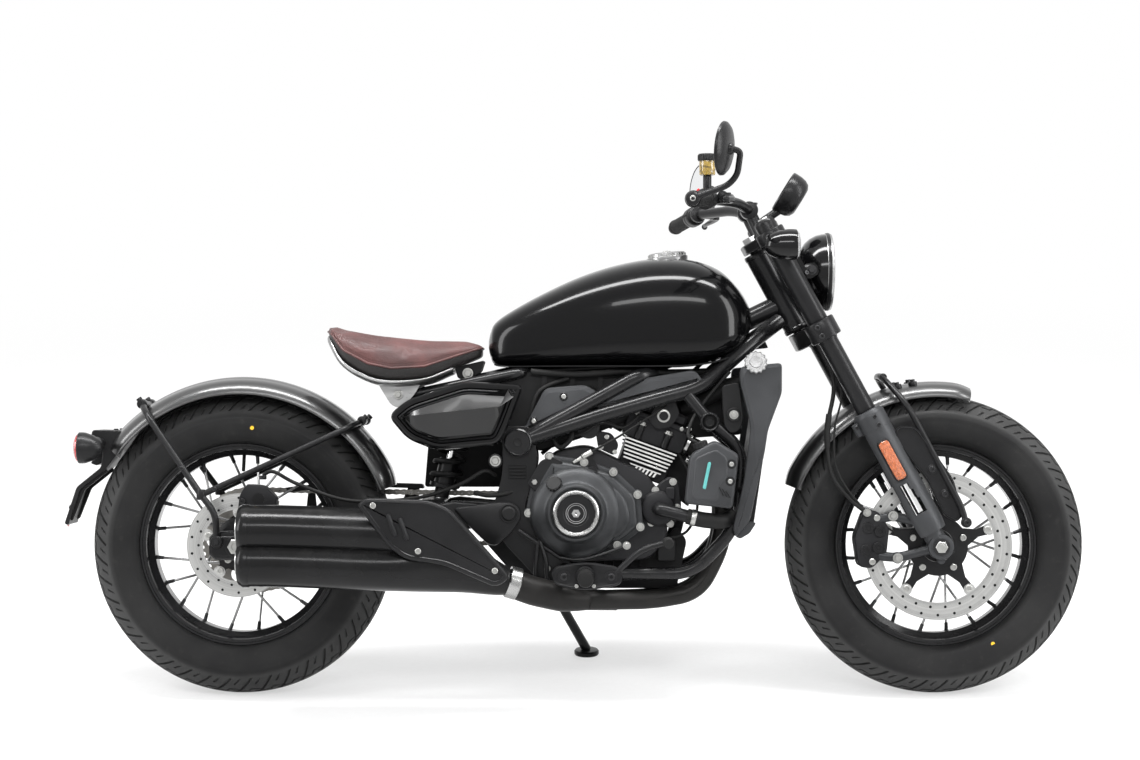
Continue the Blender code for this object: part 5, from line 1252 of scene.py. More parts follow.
def welt(cushion, upright, edge_at):
    """A piped welt at the foot of the hide, and a row of stitches above it, laid on the cushion's surface."""
    bm = bmesh.new()
    bm.from_mesh(cushion.data)
    bmesh.ops.transform(bm, matrix=upright, verts=bm.verts)
    tree = BVHTree.FromBMesh(bm)
    bm.free()
    rise = [(s[0], 0.30 * (s[3] - s[2])) for s in SEAT]
    tail, nose, reach = 0.200, 0.506, 0.30

    def ring(lift, step):
        """Points on the hide, found from outside: along one flank, round the nose, back, and round the tail."""
        casts = []
        for side in (-1.0, 1.0):
            count = round((nose - tail) / step)
            run = [tail + (nose - tail) * i / count for i in range(count + 1)]
            casts += [((x, side * reach), (0.0, -side), x) for x in (run if side < 0 else reversed(run))]
            width, end, way = (0.040, 0.512, -1.0) if side < 0 else (0.075, 0.192, 1.0)
            count = round(2.0 * width / step)
            casts += [((end - way * reach, -side * width * (2.0 * i / count - 1.0)), (way, 0.0), end)
                      for i in range(1, count)]
        path = []
        for (x, y), (dx, dy), place in casts:
            spot = Vector((x, y, edge_at(place) + min(lift, line_at(rise, place))))
            hit, normal = tree.ray_cast(spot, Vector((dx, dy, 0.0)), 0.40)[:2]
            if hit is not None:
                path.append((hit, normal))
        return path

    band = ring(0.003, 0.004)
    pipe_path = [hit + normal * 0.0010 for hit, normal in band]
    shapes = [sweep(pipe_path, circle(0.0026, 8), closed=True)]
    stitches = []
    row = ring(0.0125, 0.002)
    for i in range(0, len(row) - 1, 2):
        (a, n), (b, _) = row[i], row[i + 1]
        if (b - a).length < 0.012:
            stitches.append(wire(a.lerp(b, 0.1) + n * 0.0003, a.lerp(b, 0.95) + n * 0.0003, 0.0006))
    piece("seat_welt", "chassis", [("leather", shapes), ("thread", stitches)], crease=60.0)


def seat_base():
    """Bright pan under the cushion, its ears and the hinge ahead."""
    stations = curve(SEAT, 48)
    rings = []
    for x, low, _, _, half in (s for s in stations if 0.196 <= s[0] <= 0.46):
        w = 0.905 * half
        drop = low - 0.0028
        shape = [(-w, drop), (-w + 0.012, drop - 0.0045), (-w * 0.5, drop - 0.0055), (0.0, drop - 0.0055),
                 (w * 0.5, drop - 0.0055), (w - 0.012, drop - 0.0045), (w, drop)]
        under = [(y, z - 0.0032) for y, z in reversed(shape)]
        rings.append([Vector((x, y, z)) for y, z in shape + under])
    pan = loft(rings)
    rails = []
    for side, _ in SIDES:
        path = [Vector((x, side * (0.955 * half), low - 0.0030)) for x, low, _, _, half in
                (s for s in stations if 0.190 <= s[0] <= 0.462)]
        rails.append(sweep(path, circle(0.0032, 16, 0.0068)))
    ears, heads, hinge = [], [], []
    outline = [(0.296, 0.664), (0.388, 0.668), (0.376, 0.646), (0.354, 0.620), (0.338, 0.613), (0.323, 0.620),
               (0.308, 0.644)]
    for side, _ in SIDES:
        low, high = between(side, 0.0885, 0.0965)
        ears.append(plate(outline, low, high, [(0.339, 0.641, 0.0042)], bend=0.008))
        for lift, radius in ((0.0, 0.0105), (0.002, 0.0085)):
            seat_at = Vector((0.339, side * (0.0965 + lift), 0.641))
            ears.append(rod(seat_at, seat_at + Vector((0, side * 0.002, 0)), radius, 28, 0.0006))
        heads += bolt((0.339, side * 0.1005, 0.641), (0, side, 0), 0.0070, "hex")
        hinge.append(plate([(0.455, 0.700), (0.520, 0.715), (0.512, 0.690), (0.480, 0.672), (0.462, 0.676)],
                           *between(side, 0.030, 0.036), [(0.484, 0.687, 0.004)], bend=0.006))
    bar = rod((0.484, -0.046, 0.687), (0.484, 0.046, 0.687), 0.0065, 20, 0.001)
    heads += bolt((0.484, -0.046, 0.687), (0, -1, 0), 0.0085, "hex") + bolt((0.484, 0.046, 0.687), (0, 1, 0), 0.0085)
    piece("seat_carrier_band", "chassis",
          [("alloy", [pan] + ears + rails), ("satin", hinge + [bar]), ("zinc", heads)], ["seat_carrier"],
          crease=28.0, bevel=0.0006)


mudguards()
seat()
seat_base()


# Side covers, tail and exhaust

COVER = [(0.321, 0.597), (0.362, 0.631), (0.480, 0.669), (0.606, 0.662), (0.572, 0.572), (0.554, 0.536),
         (0.423, 0.524), (0.362, 0.548)]
COVER_LEVELS = [(0.128, 0.004), (0.132, 0.0005), (0.136, 0.0), (0.156, 0.0), (0.1595, 0.0012), (0.1625, 0.004),
                (0.1640, 0.0075), (0.1640, 0.0125), (0.1618, 0.0135), (0.1606, 0.0150), (0.1606, 0.0160),
                (0.1690, 0.0235), (0.1702, 0.0260), (0.1712, 0.0280)]
INSERT_EDGE = 0.0265
RIDGE = (0.350, 0.595), (0.555, 0.6155)
BEZEL_LEVELS = [(0.1606, 0.0152), (0.1650, 0.0162), (0.1668, 0.0180), (0.1650, 0.0196)]


def foot_on(line, x, z):
    """The point of a short line that lies nearest to (x, z)."""
    (x0, z0), (x1, z1) = line
    along = Vector((x1 - x0, z1 - z0))
    share = min(1.0, max(0.0, Vector((x - x0, z - z0)).dot(along) / along.length_squared))
    return x0 + along.x * share, z0 + along.y * share


def side_covers():
    """Gloss shells with a dark bezel and a ridged insert."""
    for side, name in SIDES:
        outline = soften(COVER, 0.020, 7)
        shell = slab(outline, [(side * y, depth) for y, depth in COVER_LEVELS])
        bezel = loft([[Vector((x, side * y, z)) for x, z in inset(outline, depth)] for y, depth in
                      BEZEL_LEVELS + [(0.1600, 0.0190)]], joined=True)
        field = inset(outline, INSERT_EDGE)
        insert = loft([[Vector((x, side * y, z)).lerp(Vector((*foot_on(RIDGE, x, z), side * y)).xzy, share)
                        for x, z in field] for share, y in ((0.0, 0.1702), (0.015, 0.1716), (0.975, 0.1785))])
        piece("side_panel_" + name, "chassis", [("gloss", [shell]), ("satin", [bezel]), ("cover", [insert])],
              ["side_cover_" + name], crease=16.0)


HOLDER = [(-0.232, 0.564), (-0.318, 0.566), (-0.322, 0.548), (-0.296, 0.520), (-0.300, 0.486), (-0.352, 0.444),
          (-0.378, 0.366), (-0.370, 0.362), (-0.344, 0.440), (-0.290, 0.482), (-0.276, 0.500)]


def tail():
    """Lamp bar, the two round lamps and the plate holder."""
    holder = [slab(HOLDER, [(-0.050, 0.0015), (-0.049, 0.0), (0.049, 0.0), (0.050, 0.0015)], bend=0.006)]
    ribs = []
    for y in (-0.036, 0.036):
        ribs.append(slab([(-0.296, 0.486), (-0.350, 0.443), (-0.372, 0.372), (-0.362, 0.372), (-0.336, 0.438),
                          (-0.286, 0.478)], [(y - 0.002, 0.0), (y + 0.002, 0.0)], bend=0.004))
    bar = [rod((-0.300, -0.122, 0.538), (-0.300, 0.122, 0.538), 0.0100, 20, 0.002)]
    shells, lenses, heads = [], [], []
    for side, _ in SIDES:
        centre = Vector((-0.314, side * 0.120, 0.529))
        back = (-1.0, 0.0, 0.0)
        shells.append(turned([(-0.030, 0.012), (-0.026, 0.017), (-0.012, 0.0265), (0.004, 0.0322),
                              (0.010, 0.0330), (0.0175, 0.0330), (0.0190, 0.0318), (0.0165, 0.0300)],
                             centre, back, 56))
        lenses.append(turned([(0.010, 0.0298), (0.0185, 0.0300), (0.0230, 0.0280), (0.0265, 0.0220),
                              (0.0282, 0.0130), (0.0288, 0.0030)], centre, back, 48))
        stalk = Vector((-0.300, side * 0.096, 0.538))
        shells.append(rod(stalk, stalk + Vector((0, side * 0.020, 0)), 0.0140, 24, 0.003))
    # the light over the plate, and the plate's own back face
    shells.append(slab([(-0.300, 0.515), (-0.318, 0.508), (-0.326, 0.494), (-0.312, 0.489), (-0.300, 0.497)],
                       [(-0.030, 0.002), (-0.028, 0.0), (0.028, 0.0), (0.030, 0.002)], bend=0.004))
    facing = Vector((-0.9487, 0.0, 0.3162))
    for y in (-0.034, 0.034):
        at = Vector((-0.3655, y, 0.400)) + facing * 0.002
        heads += bolt(at, (-0.95, 0.0, 0.31), 0.0048, "cap", 0.003)
        heads += bolt((-0.270, y, 0.5655), (0, 0, 1), 0.005, "cap", 0.003)
    reflector = [rod(Vector((-0.3745, 0.0, 0.368)), Vector((-0.3775, 0.0, 0.369)), 0.0125, 32, 0.001)]
    piece("tail_lamps", "chassis", [("plastic", holder + ribs), ("satin", bar + shells), ("red", lenses + reflector),
                                    ("bolt", heads)], ["tail_unit"], crease=30.0)


def muffler_section(x, cy, cz, half_y, half_z, rise, count=72):
    """Two barrels one over the other in one skin: each bulges out, with a crease between them."""
    lobe = half_z - rise
    dip = math.asin(min(0.999, rise / lobe))
    half = []
    for i in range(count // 2 + 1):
        t = -dip + (math.pi + 2.0 * dip) * i / (count // 2)
        half.append((half_y * math.cos(t), rise + lobe * math.sin(t)))
    ring = half + [(-y, -z) for y, z in half[1:-1]]
    return [Vector((x, cy + y, cz + z)) for y, z in ring]


# stations: x, middle y, middle z, half width, half height, rise of each barrel
MUFFLER = [(0.578, -0.1765, 0.2505, 0.0295, 0.0295, 0.0), (0.572, -0.178, 0.253, 0.030, 0.030, 0.0),
           (0.540, -0.184, 0.264, 0.036, 0.040, 0.0), (0.480, -0.198, 0.290, 0.050, 0.060, 0.003),
           (0.420, -0.208, 0.310, 0.056, 0.078, 0.016), (0.370, -0.211, 0.317, 0.058, 0.084, 0.030),
           (0.300, -0.211, 0.3200, 0.058, 0.0850, 0.034), (0.200, -0.211, 0.3240, 0.058, 0.085, 0.034),
           (0.100, -0.211, 0.3275, 0.058, 0.085, 0.034), (0.040, -0.211, 0.328, 0.058, 0.085, 0.034)]
BARREL_RISE = 0.034


def muffler():
    """The silencer's skin, its end cap with two outlets, the hanger lugs and the clamp ahead."""
    body = loft([muffler_section(*s) for s in curve(MUFFLER, 110)])
    band = [(0.0400, 0.0585, 0.0857), (0.0385, 0.0592, 0.0864), (0.0260, 0.0592, 0.0864), (0.0240, 0.0580, 0.0852),
            (0.0190, 0.0560, 0.0832), (0.0165, 0.0530, 0.0800), (0.0170, 0.0500, 0.0770), (0.0260, 0.0490, 0.0760)]
    ring = loft([muffler_section(x, -0.211, 0.328, a, b, BARREL_RISE) for x, a, b in band])
    cup = loft([muffler_section(x, -0.211, 0.328, a, b, BARREL_RISE * 0.9) for x, a,
                b in ((0.030, 0.0493, 0.0763), (0.0225, 0.0480, 0.0750), (0.0215, 0.0455, 0.0720),
                      (0.0225, 0.043, 0.069))])
    outlets, rims = [], []
    for dz in (-0.034, 0.034):
        centre = Vector((0.024, -0.211, 0.328 + dz))
        rims.append(turned([(0.0, 0.0275), (0.010, 0.0275), (0.0125, 0.0262), (0.0125, 0.0240), (0.006, 0.0235),
                            (-0.020, 0.0232)], centre + Vector((-0.0005, 0, 0)), (-1, 0, 0), 48))
        outlets.append(turned([(-0.010, 0.0234), (-0.002, 0.0234)], centre, (-1, 0, 0), 40))
    lug = [slab([(0.300, 0.392), (0.330, 0.420), (0.372, 0.418), (0.392, 0.388)], [(-0.1323, 0.0), (-0.142, 0.0)],
                bend=0.008),
           slab([(0.290, 0.355), (0.300, 0.395), (0.392, 0.392), (0.400, 0.350)], [(-0.1400, 0.0), (-0.168, 0.0)],
                bend=0.008)]
    heads = bolt((0.346, -0.142, 0.404), (0, -1, 0), 0.0078, "hex")
    clamp = [turned([(-0.012, 0.0322), (-0.010, 0.0338), (0.010, 0.0338), (0.012, 0.0322)], (0.584, -0.175, 0.2485),
                    (0.94, 0.17, -0.30), 48)]
    piece("silencer", "chassis", [("muffler", [body, ring]), ("satin", lug), ("steel", rims + clamp),
                                  ("dark_cast", outlets + [cup]), ("zinc", heads)], ["muffler"], crease=34.0)


SHIELD = [(0.267, 0.416), (0.285, 0.430), (0.412, 0.426), (0.457, 0.409), (0.582, 0.268), (0.552, 0.246),
          (0.443, 0.293), (0.367, 0.303), (0.330, 0.330)]


def shield():
    """A pressed plate with a folded rim and two raised slots, standing off the silencer."""
    outline = soften(SHIELD, 0.018, 6)
    shell = slab(outline, [(-0.2700, 0.0005), (-0.2750, 0.0), (-0.2790, 0.0012), (-0.2812, 0.0035), (-0.2820, 0.0070),
                           (-0.2820, 0.0090), (-0.2808, 0.0102), (-0.2808, 0.0125)])
    ribs, dark, heads, feet = [], [], [], []
    for x, z in ((0.338, 0.374), (0.362, 0.366)):
        way = Vector((0.34, 0.0, -0.94)).normalized()
        one, two = Vector((x, -0.2800, z)) - way * 0.024, Vector((x, -0.2800, z)) + way * 0.024
        ribs.append(rod(one, two, 0.0056, 20, 0.004))
        dark.append(rod(one + Vector((0, -0.0035, 0)), two + Vector((0, -0.0035, 0)), 0.0032, 16, 0.002))
    for x, z in ((0.392, 0.321), (0.549, 0.281), (0.300, 0.414)):
        heads += bolt((x, -0.2806, z), (0, -1, 0), 0.0062, "cap", 0.0035)
        feet.append(rod((x, -0.215, z), (x, -0.278, z), 0.007, 20))
    piece("heat_guard", "chassis", [("satin", [shell] + ribs), ("dark_cast", dark + feet), ("zinc", heads)],
          ["heat_shield"], crease=32.0)


def barrel(u, y, v):
    """A point on the forward-leaning engine block: u back to front, v up the cylinder."""
    c, s = math.cos(math.radians(20.0)), math.sin(math.radians(20.0))
    return Vector((0.80 + u * c + v * s, y, 0.455 - u * s + v * c))


HEADERS = ([barrel(0.1123, -0.045, 0.128), barrel(0.150, -0.045, 0.124), (1.030, -0.048, 0.460),
            (1.030, -0.052, 0.330), (0.975, -0.062, 0.222), (0.880, -0.080, 0.206), (0.740, -0.128, 0.208)],
           [barrel(0.1123, 0.045, 0.128), barrel(0.150, 0.045, 0.124), (1.030, 0.040, 0.460),
            (1.030, 0.030, 0.330), (0.975, 0.0, 0.222), (0.880, -0.030, 0.206), (0.740, -0.112, 0.208)])


def exhaust():
    """Two header pipes with flanges and studs, run into one collector."""
    pipes = [pipe(points, 0.0203, 0.06, 28, 10) for points in HEADERS]
    collector = [sweep(rounded([(0.800, -0.100, 0.206), (0.700, -0.140, 0.212), (0.620, -0.168, 0.232),
                                (0.574, -0.1772, 0.2518)], 0.04, 10),
                       lambda t: circle(0.0215 + 0.0088 * min(1.0, t * 3.0), 32))]
    flanges, heads = [], []
    for points in HEADERS:
        start, way = Vector(points[0]), (Vector(points[1]) - Vector(points[0])).normalized()
        flanges.append(turned([(0.0, 0.027), (0.001, 0.028), (0.007, 0.028), (0.0085, 0.0265), (0.0085, 0.021)],
                              start, way, 40))
        for lift in (-0.034, 0.034):
            stud = start + UP * lift
            flanges.append(rod(stud, stud + way * 0.008, 0.0095, 20, 0.001))
            heads += bolt(stud + way * 0.008, way, 0.006, "hex")
    seam = sweep([p + over(-0.0200) for p in rounded(HEADERS[0], 0.06, 10)], circle(0.0011, 6))
    piece("header_pipes", "chassis", [("header", pipes + collector + [seam]), ("steel", flanges), ("zinc", heads)],
          ["exhaust_header"], crease=34.0)


side_covers()
tail()
muffler()
shield()
exhaust()


# Steering: fork, brake, lamps, bar

FORK_X = FORK_OFFSET


def fork(side, name):
    """One leg: outer tube, chrome slider with its seal, the cast foot and the axle's end."""
    y = side * LEG_SPREAD
    base = steer(FORK_X, y, 0.0)
    tube = [turned([(0.283, 0.0200), (0.285, 0.0208), (0.494, 0.0208), (0.499, 0.0229), (0.778, 0.0230),
                    (0.781, 0.0222), (0.786, 0.0190), (0.7865, 0.0125), (0.7845, 0.0120)], base, UP_FORK, 56)]
    cap_hex = [turned([(0.784, 0.0120), (0.7895, 0.0115), (0.7900, 0.0100)], base, UP_FORK, 6)]
    slider = [turned([(0.058, 0.0175), (0.292, 0.0175)], base, UP_FORK, 56)]
    seal = [turned([(0.279, 0.0178), (0.281, 0.0212), (0.286, 0.0216), (0.288, 0.0206)], base, UP_FORK, 48)]
    foot = [turned([(-0.010, 0.0175), (0.0, 0.0220), (0.050, 0.0222), (0.056, 0.0212), (0.062, 0.0190)], base,
                   UP_FORK, 44),
            rod(steer(FORK_X, side * 0.080, 0.0), steer(FORK_X, side * 0.124, 0.0), 0.027, 44, 0.003),
            loft([[steer(FORK_X + dx, y + dy, z) for dx, dy in ((-0.018, -0.014), (0.018, -0.014), (0.018, 0.014),
                                                               (-0.018, 0.014))] for z in (-0.006, 0.040)])]
    pinch = [rod(steer(FORK_X - 0.012, y - 0.010, -0.026), steer(FORK_X - 0.012, y + 0.010, -0.026), 0.008, 20,
                 0.001)]
    end = steer(FORK_X, side * 0.124, 0.0)
    nut = [turned([(0.0, 0.0185), (0.0018, 0.0185)], end, (0, side, 0), 32),
           turned([(0.0015, 0.0130), (0.0062, 0.0130), (0.0070, 0.0118)], end, (0, side, 0), 6),
           turned([(0.0065, 0.0075), (0.0072, 0.0065), (0.0045, 0.0050)], end, (0, side, 0), 24)]
    heads = bolt(steer(FORK_X + 0.016, side * 0.118, -0.019), (0, side, 0), 0.0050, "cap", 0.004)
    axle = [rod(steer(FORK_X, -0.100, 0), steer(FORK_X, 0.079, 0), 0.008, 24)] if side < 0 else []
    piece("fork_tube_" + name, "steering", [("satin", tube), ("alloy", cap_hex), ("chrome", slider),
                                            ("rubber", seal), ("grey", foot + pinch), ("bolt", heads + nut[:1]),
                                            ("zinc", nut[1:] + axle)], ["fork_leg_" + name], crease=32.0)


def guard(side, name):
    """Shell over the slider with a long window beside it, a split collar above and the gusset ahead."""
    base = steer(FORK_X, side * LEG_SPREAD, 0.0)
    outward = Vector((0.0, side, 0.0))

    def place(u, v, layer):
        z = 0.036 + 0.259 * v
        angle = math.radians(-62.0 + 172.0 * u)
        radius = 0.0340 - 0.0028 * layer
        radius -= 0.0022 * max(0.0, 1.0 - v * 9.0) ** 2
        return base + UP_FORK * z + radius * (math.cos(angle) * outward + math.sin(angle) * AHEAD)

    def keep(i, j):
        u, v = (i + 0.5) / 24.0, (j + 0.5) / 48.0
        return not (0.18 < u < 0.47 - 0.55 * max(0.0, v - 0.26) and 0.18 < v < 0.45)

    shell = [thin(25, 49, place, keep)]
    collar = [turned([(0.283, 0.0325), (0.2845, 0.0345), (0.316, 0.0347), (0.318, 0.0340), (0.326, 0.0290),
                      (0.327, 0.0235)], base, UP_FORK, 56)]
    split = base + UP_FORK * 0.300 + outward * 0.010 - AHEAD * 0.036
    collar.append(rod(split - UP_FORK * 0.014, split + UP_FORK * 0.014, 0.0085, 20, 0.002))
    gusset = [(1.392, 0.575), (1.432, 0.575), (1.512, 0.462), (1.530, 0.385), (1.518, 0.372), (1.492, 0.385),
              (1.455, 0.462), (1.385, 0.548)]
    holes = ((1.466, 0.484), (1.4935, 0.432))
    arm = [plate(gusset, *between(side, 0.1062, 0.1180), [(*hole, 0.0090) for hole in holes], 0.016, 28)]
    rib = slab(gusset, [(side * 0.1118, 0.0022), (side * 0.1202, 0.0024), (side * 0.1206, 0.0035),
                        (side * 0.1118, 0.0050)], 0.016)
    heads, washers = [], []
    for x, z in holes:
        at = Vector((x, side * 0.1180, z))
        washers.append(rod(at - Vector((0, side * 0.006, 0)), at + Vector((0, side * 0.0018, 0)), 0.0105, 28, 0.001))
        heads += bolt(at + Vector((0, side * 0.0018, 0)), (0, side, 0), 0.0066, "cap", 0.004)
    heads += bolt(split + UP_FORK * 0.006 + outward * 0.0085, outward, 0.0042, "cap", 0.003)
    at = base + UP_FORK * 0.300 + outward * 0.0343
    for dz in (-0.009, 0.010):
        heads += bolt(at + UP_FORK * dz + AHEAD * 0.006, outward, 0.0042, "cap", 0.003)
    lens, surround = [], []
    middle, tall = -0.005, 0.2115
    for shapes, reach, low, high, stand in ((lens, 0.0118, 0.167, 0.256, 0.0395),
                                            (surround, 0.0142, 0.163, 0.260, 0.0370)):
        near, far = middle - reach, middle + reach
        outline = soften([(near, low), (far, low), (far, high), (near, high)], reach * 0.8, 6)
        shapes.append(loft([[base + AHEAD * (middle + (a - middle) * share)
                             + UP_FORK * (tall + (b - tall) * (1 - (1 - share) * 0.15)) + outward * lift
                             for a, b in outline] for lift, share in
                            ((0.026, 1.0), (stand - 0.0022, 1.0), (stand - 0.0006, 0.95), (stand, 0.85))]))
    piece("slider_guard_" + name, "steering",
          [("grey", shell + collar), ("satin", arm + [rib]), ("orange", lens), ("plastic", surround),
           ("bolt", heads), ("satin", washers)], ["fork_guard_" + name], crease=30.0)


def clamps():
    """Both clamps with their rings and pinch ears, the stem, its nut and the lock."""
    outline = [(-0.024, -0.045), (0.012, -LEG_SPREAD), (0.056, -LEG_SPREAD), (0.048, -0.04), (0.048, 0.04),
               (0.056, LEG_SPREAD), (0.012, LEG_SPREAD), (-0.024, 0.045)]
    outline = soften(outline, 0.014)
    bodies, heads, nuts = [], [], []
    for low, high, radius in ((0.500, 0.542, 0.034), (0.735, 0.760, 0.032)):
        bodies.append(loft([[steer(x, y, z) for x, y in inset(outline, depth)] for z, depth in
                            ((low + 0.003, 0.002), (low + 0.005, 0.0), (high - 0.004, 0.0), (high - 0.002, 0.002))]))
        for side, _ in SIDES:
            y = side * LEG_SPREAD
            bodies.append(rod(steer(FORK_X, y, low), steer(FORK_X, y, high), radius, 56, 0.003))
            ear = steer(FORK_X - 0.022, side * (LEG_SPREAD - 0.021), 0.5 * (low + high))
            bodies.append(rod(ear - UP_FORK * 0.011, ear + UP_FORK * 0.011, 0.012, 24, 0.002))
            for dz in ((-0.010, 0.010) if high < 0.6 else (0.0,)):
                at = steer(FORK_X - 0.010, side * (LEG_SPREAD + 0.031), 0.5 * (low + high) + dz)
                heads += bolt(at, (0.0, side, 0.0), 0.0058, "cap", 0.004)
    bodies.append(rod(steer(0, 0, 0.532), steer(0, 0, 0.745), 0.0135, 24))
    nuts.append(turned([(0.756, 0.0215), (0.7585, 0.0215)], steer(0, 0, 0), UP_FORK, 40))
    nuts.append(turned([(0.758, 0.0170), (0.7690, 0.0170), (0.7700, 0.0155)], steer(0, 0, 0), UP_FORK, 6))
    lock = [rod(steer(0.058, 0.0, 0.742), steer(0.058, 0.0, 0.775), 0.0125, 32, 0.002)]
    piece("triple_clamps", "steering", [("satin", bodies), ("bolt", heads), ("alloy", nuts + lock)],
          ["fork_clamps"], crease=32.0)


def headlamp():
    """Shell, rim, reflector bowl, glass and the ears that hold it."""
    centre, axis = Vector((1.264, 0.0, 0.906)), (1.0, 0.0, 0.0)
    shell = [(-0.0685, 0.010), (-0.0680, 0.038), (-0.0630, 0.0520), (-0.0560, 0.0620), (-0.0460, 0.0710),
             (-0.0330, 0.0780), (-0.0200, 0.0812), (-0.0120, 0.0818), (-0.0120, 0.0790), (-0.018, 0.0770)]
    rim = [(-0.0125, 0.0780), (-0.0125, 0.0820), (-0.0095, 0.0832), (-0.0040, 0.0832), (0.0000, 0.0818),
           (0.0014, 0.0785), (0.0008, 0.0755), (-0.0040, 0.0745)]
    bowl = [(-0.0440, 0.0120), (-0.0430, 0.0200), (-0.0390, 0.0360), (-0.0310, 0.0540), (-0.0180, 0.0680),
            (-0.0050, 0.0752), (-0.0050, 0.0762), (-0.0200, 0.0700), (-0.0330, 0.0560), (-0.0450, 0.0200)]
    glass = [(-0.0030, 0.0756), (0.0002, 0.0752), (0.0030, 0.0680), (0.0058, 0.0500), (0.0074, 0.0260),
             (0.0078, 0.0020), (0.0050, 0.0020), (0.0046, 0.0260), (0.0030, 0.0500), (0.0002, 0.0680)]
    bulb = [(-0.0440, 0.0110), (-0.0280, 0.0105), (-0.0200, 0.0080), (-0.0170, 0.0030)]
    ears = [turned([(0.0700, 0.0150), (0.0845, 0.0150), (0.0855, 0.0140)], (1.2150, 0.0, 0.906), (0, s, 0), 32)
            for s in (-1.0, 1.0)]
    heads = [bolt((1.2150, side * 0.0895, 0.906), (0, side, 0), 0.0078)[0] for side, _ in SIDES]
    visor = [turned([(-0.004, 0.0835), (-0.006, 0.0842), (-0.0115, 0.0835)], centre, axis, 72)]
    piece("headlamp", "steering",
          [("gloss", [turned(shell, centre, axis, 80)] + ears),
           ("alloy", [turned(rim, centre, axis, 80, True)]), ("satin", visor),
           ("chrome", [turned(bowl, centre, axis, 64, True)]), ("smoke", [turned(bulb, centre, axis, 32)]),
           ("glass", [turned(glass, centre, axis, 64, True)]), ("bolt", heads)],
          ["headlight"], crease=40.0)


def signals(side, name):
    """The turn signal on its stalk, with what holds it at the fork."""
    ear = [(0.040, side * 0.0845), (0.090, side * 0.0845), (0.090, side * 0.0888), (0.040, side * 0.0888)]
    strap = [(0.054, side * 0.092), (0.066, side * 0.092), (0.066, side * 0.110), (0.054, side * 0.110)]
    shapes = [steered(ear, 0.632, 0.656), steered(strap, 0.640, 0.720)]
    shapes.append(rod(steer(0.072, side * 0.0845, 0.644), steer(0.072, side * 0.0890, 0.644), 0.0160, 28, 0.001))
    lamp = steer(0.047, side * 0.160, 0.716)
    shapes.append(rod(steer(0.060, side * 0.098, 0.712), lamp - Vector((0.0, side * 0.020, 0.0)), 0.0088, 24))
    shapes.append(rod(steer(0.060, side * 0.104, 0.712), steer(0.060, side * 0.118, 0.713), 0.0125, 24, 0.002))
    shell = [(-0.0425, 0.0040), (-0.0420, 0.0140), (-0.0370, 0.0205), (-0.0260, 0.0265), (-0.0120, 0.0308),
             (0.0060, 0.0325), (0.0210, 0.0326), (0.0232, 0.0314), (0.0210, 0.0298)]
    shapes.append(turned(shell, lamp, (1, 0, 0), 56))
    lens = [turned([(0.0180, 0.0296), (0.0238, 0.0294), (0.0275, 0.0262), (0.0298, 0.0190), (0.0306, 0.0100),
                    (0.0308, 0.0020)], lamp, (1, 0, 0), 48)]
    heads = bolt(steer(FORK_X + 0.026, side * (LEG_SPREAD + 0.017), 0.644), (0.45, side, 0.2), 0.0045, "cap", 0.003)
    piece("turn_signal_" + name, "steering", [("gloss", shapes), ("smoke", lens), ("bolt", heads)],
          ["lamp_bracket_" + name], crease=34.0)


BAR = [(0.946, 0.410, 1.030), (0.990, 0.215, 1.046), (1.058, 0.105, 1.046), (1.085, 0.055, 1.035)]


def on_bar(side, y, lift=0.0, ahead=0.0):
    one, two = Vector(BAR[0]), Vector(BAR[1])
    spot = one.lerp(two, (one.y - y) / (one.y - two.y))
    return Vector((spot.x + ahead, side * spot.y, spot.z + lift))


def bar():
    """The handlebar with its risers and clamps."""
    tube = pipe(both(BAR), 0.0110, 0.030, 28, 10)
    risers, heads = [], []
    for side, _ in SIDES:
        foot = steer(0.022, side * 0.045, 0.7584)
        top = Vector((1.085, side * 0.045, 1.035))
        way = (top - foot).normalized()
        risers.append(turned([(0.0, 0.0165), (0.004, 0.0165), (0.010, 0.0130), ((top - foot).length, 0.0130)],
                             foot, way, 36))
        risers.append(rod(top - Vector((0, 0.0135, 0)), top + Vector((0, 0.0135, 0)), 0.0190, 40, 0.002))
        for dx in (-0.0135, 0.0135):
            for dy in (-0.007, 0.007):
                heads += bolt(top + Vector((dx, dy, 0.0125)), (0.1, 0, 1), 0.0042, "cap", 0.004)
    piece("handlebar_tube", "steering", [("satin", [tube] + risers), ("bolt", heads)], ["handlebar"], crease=32.0)


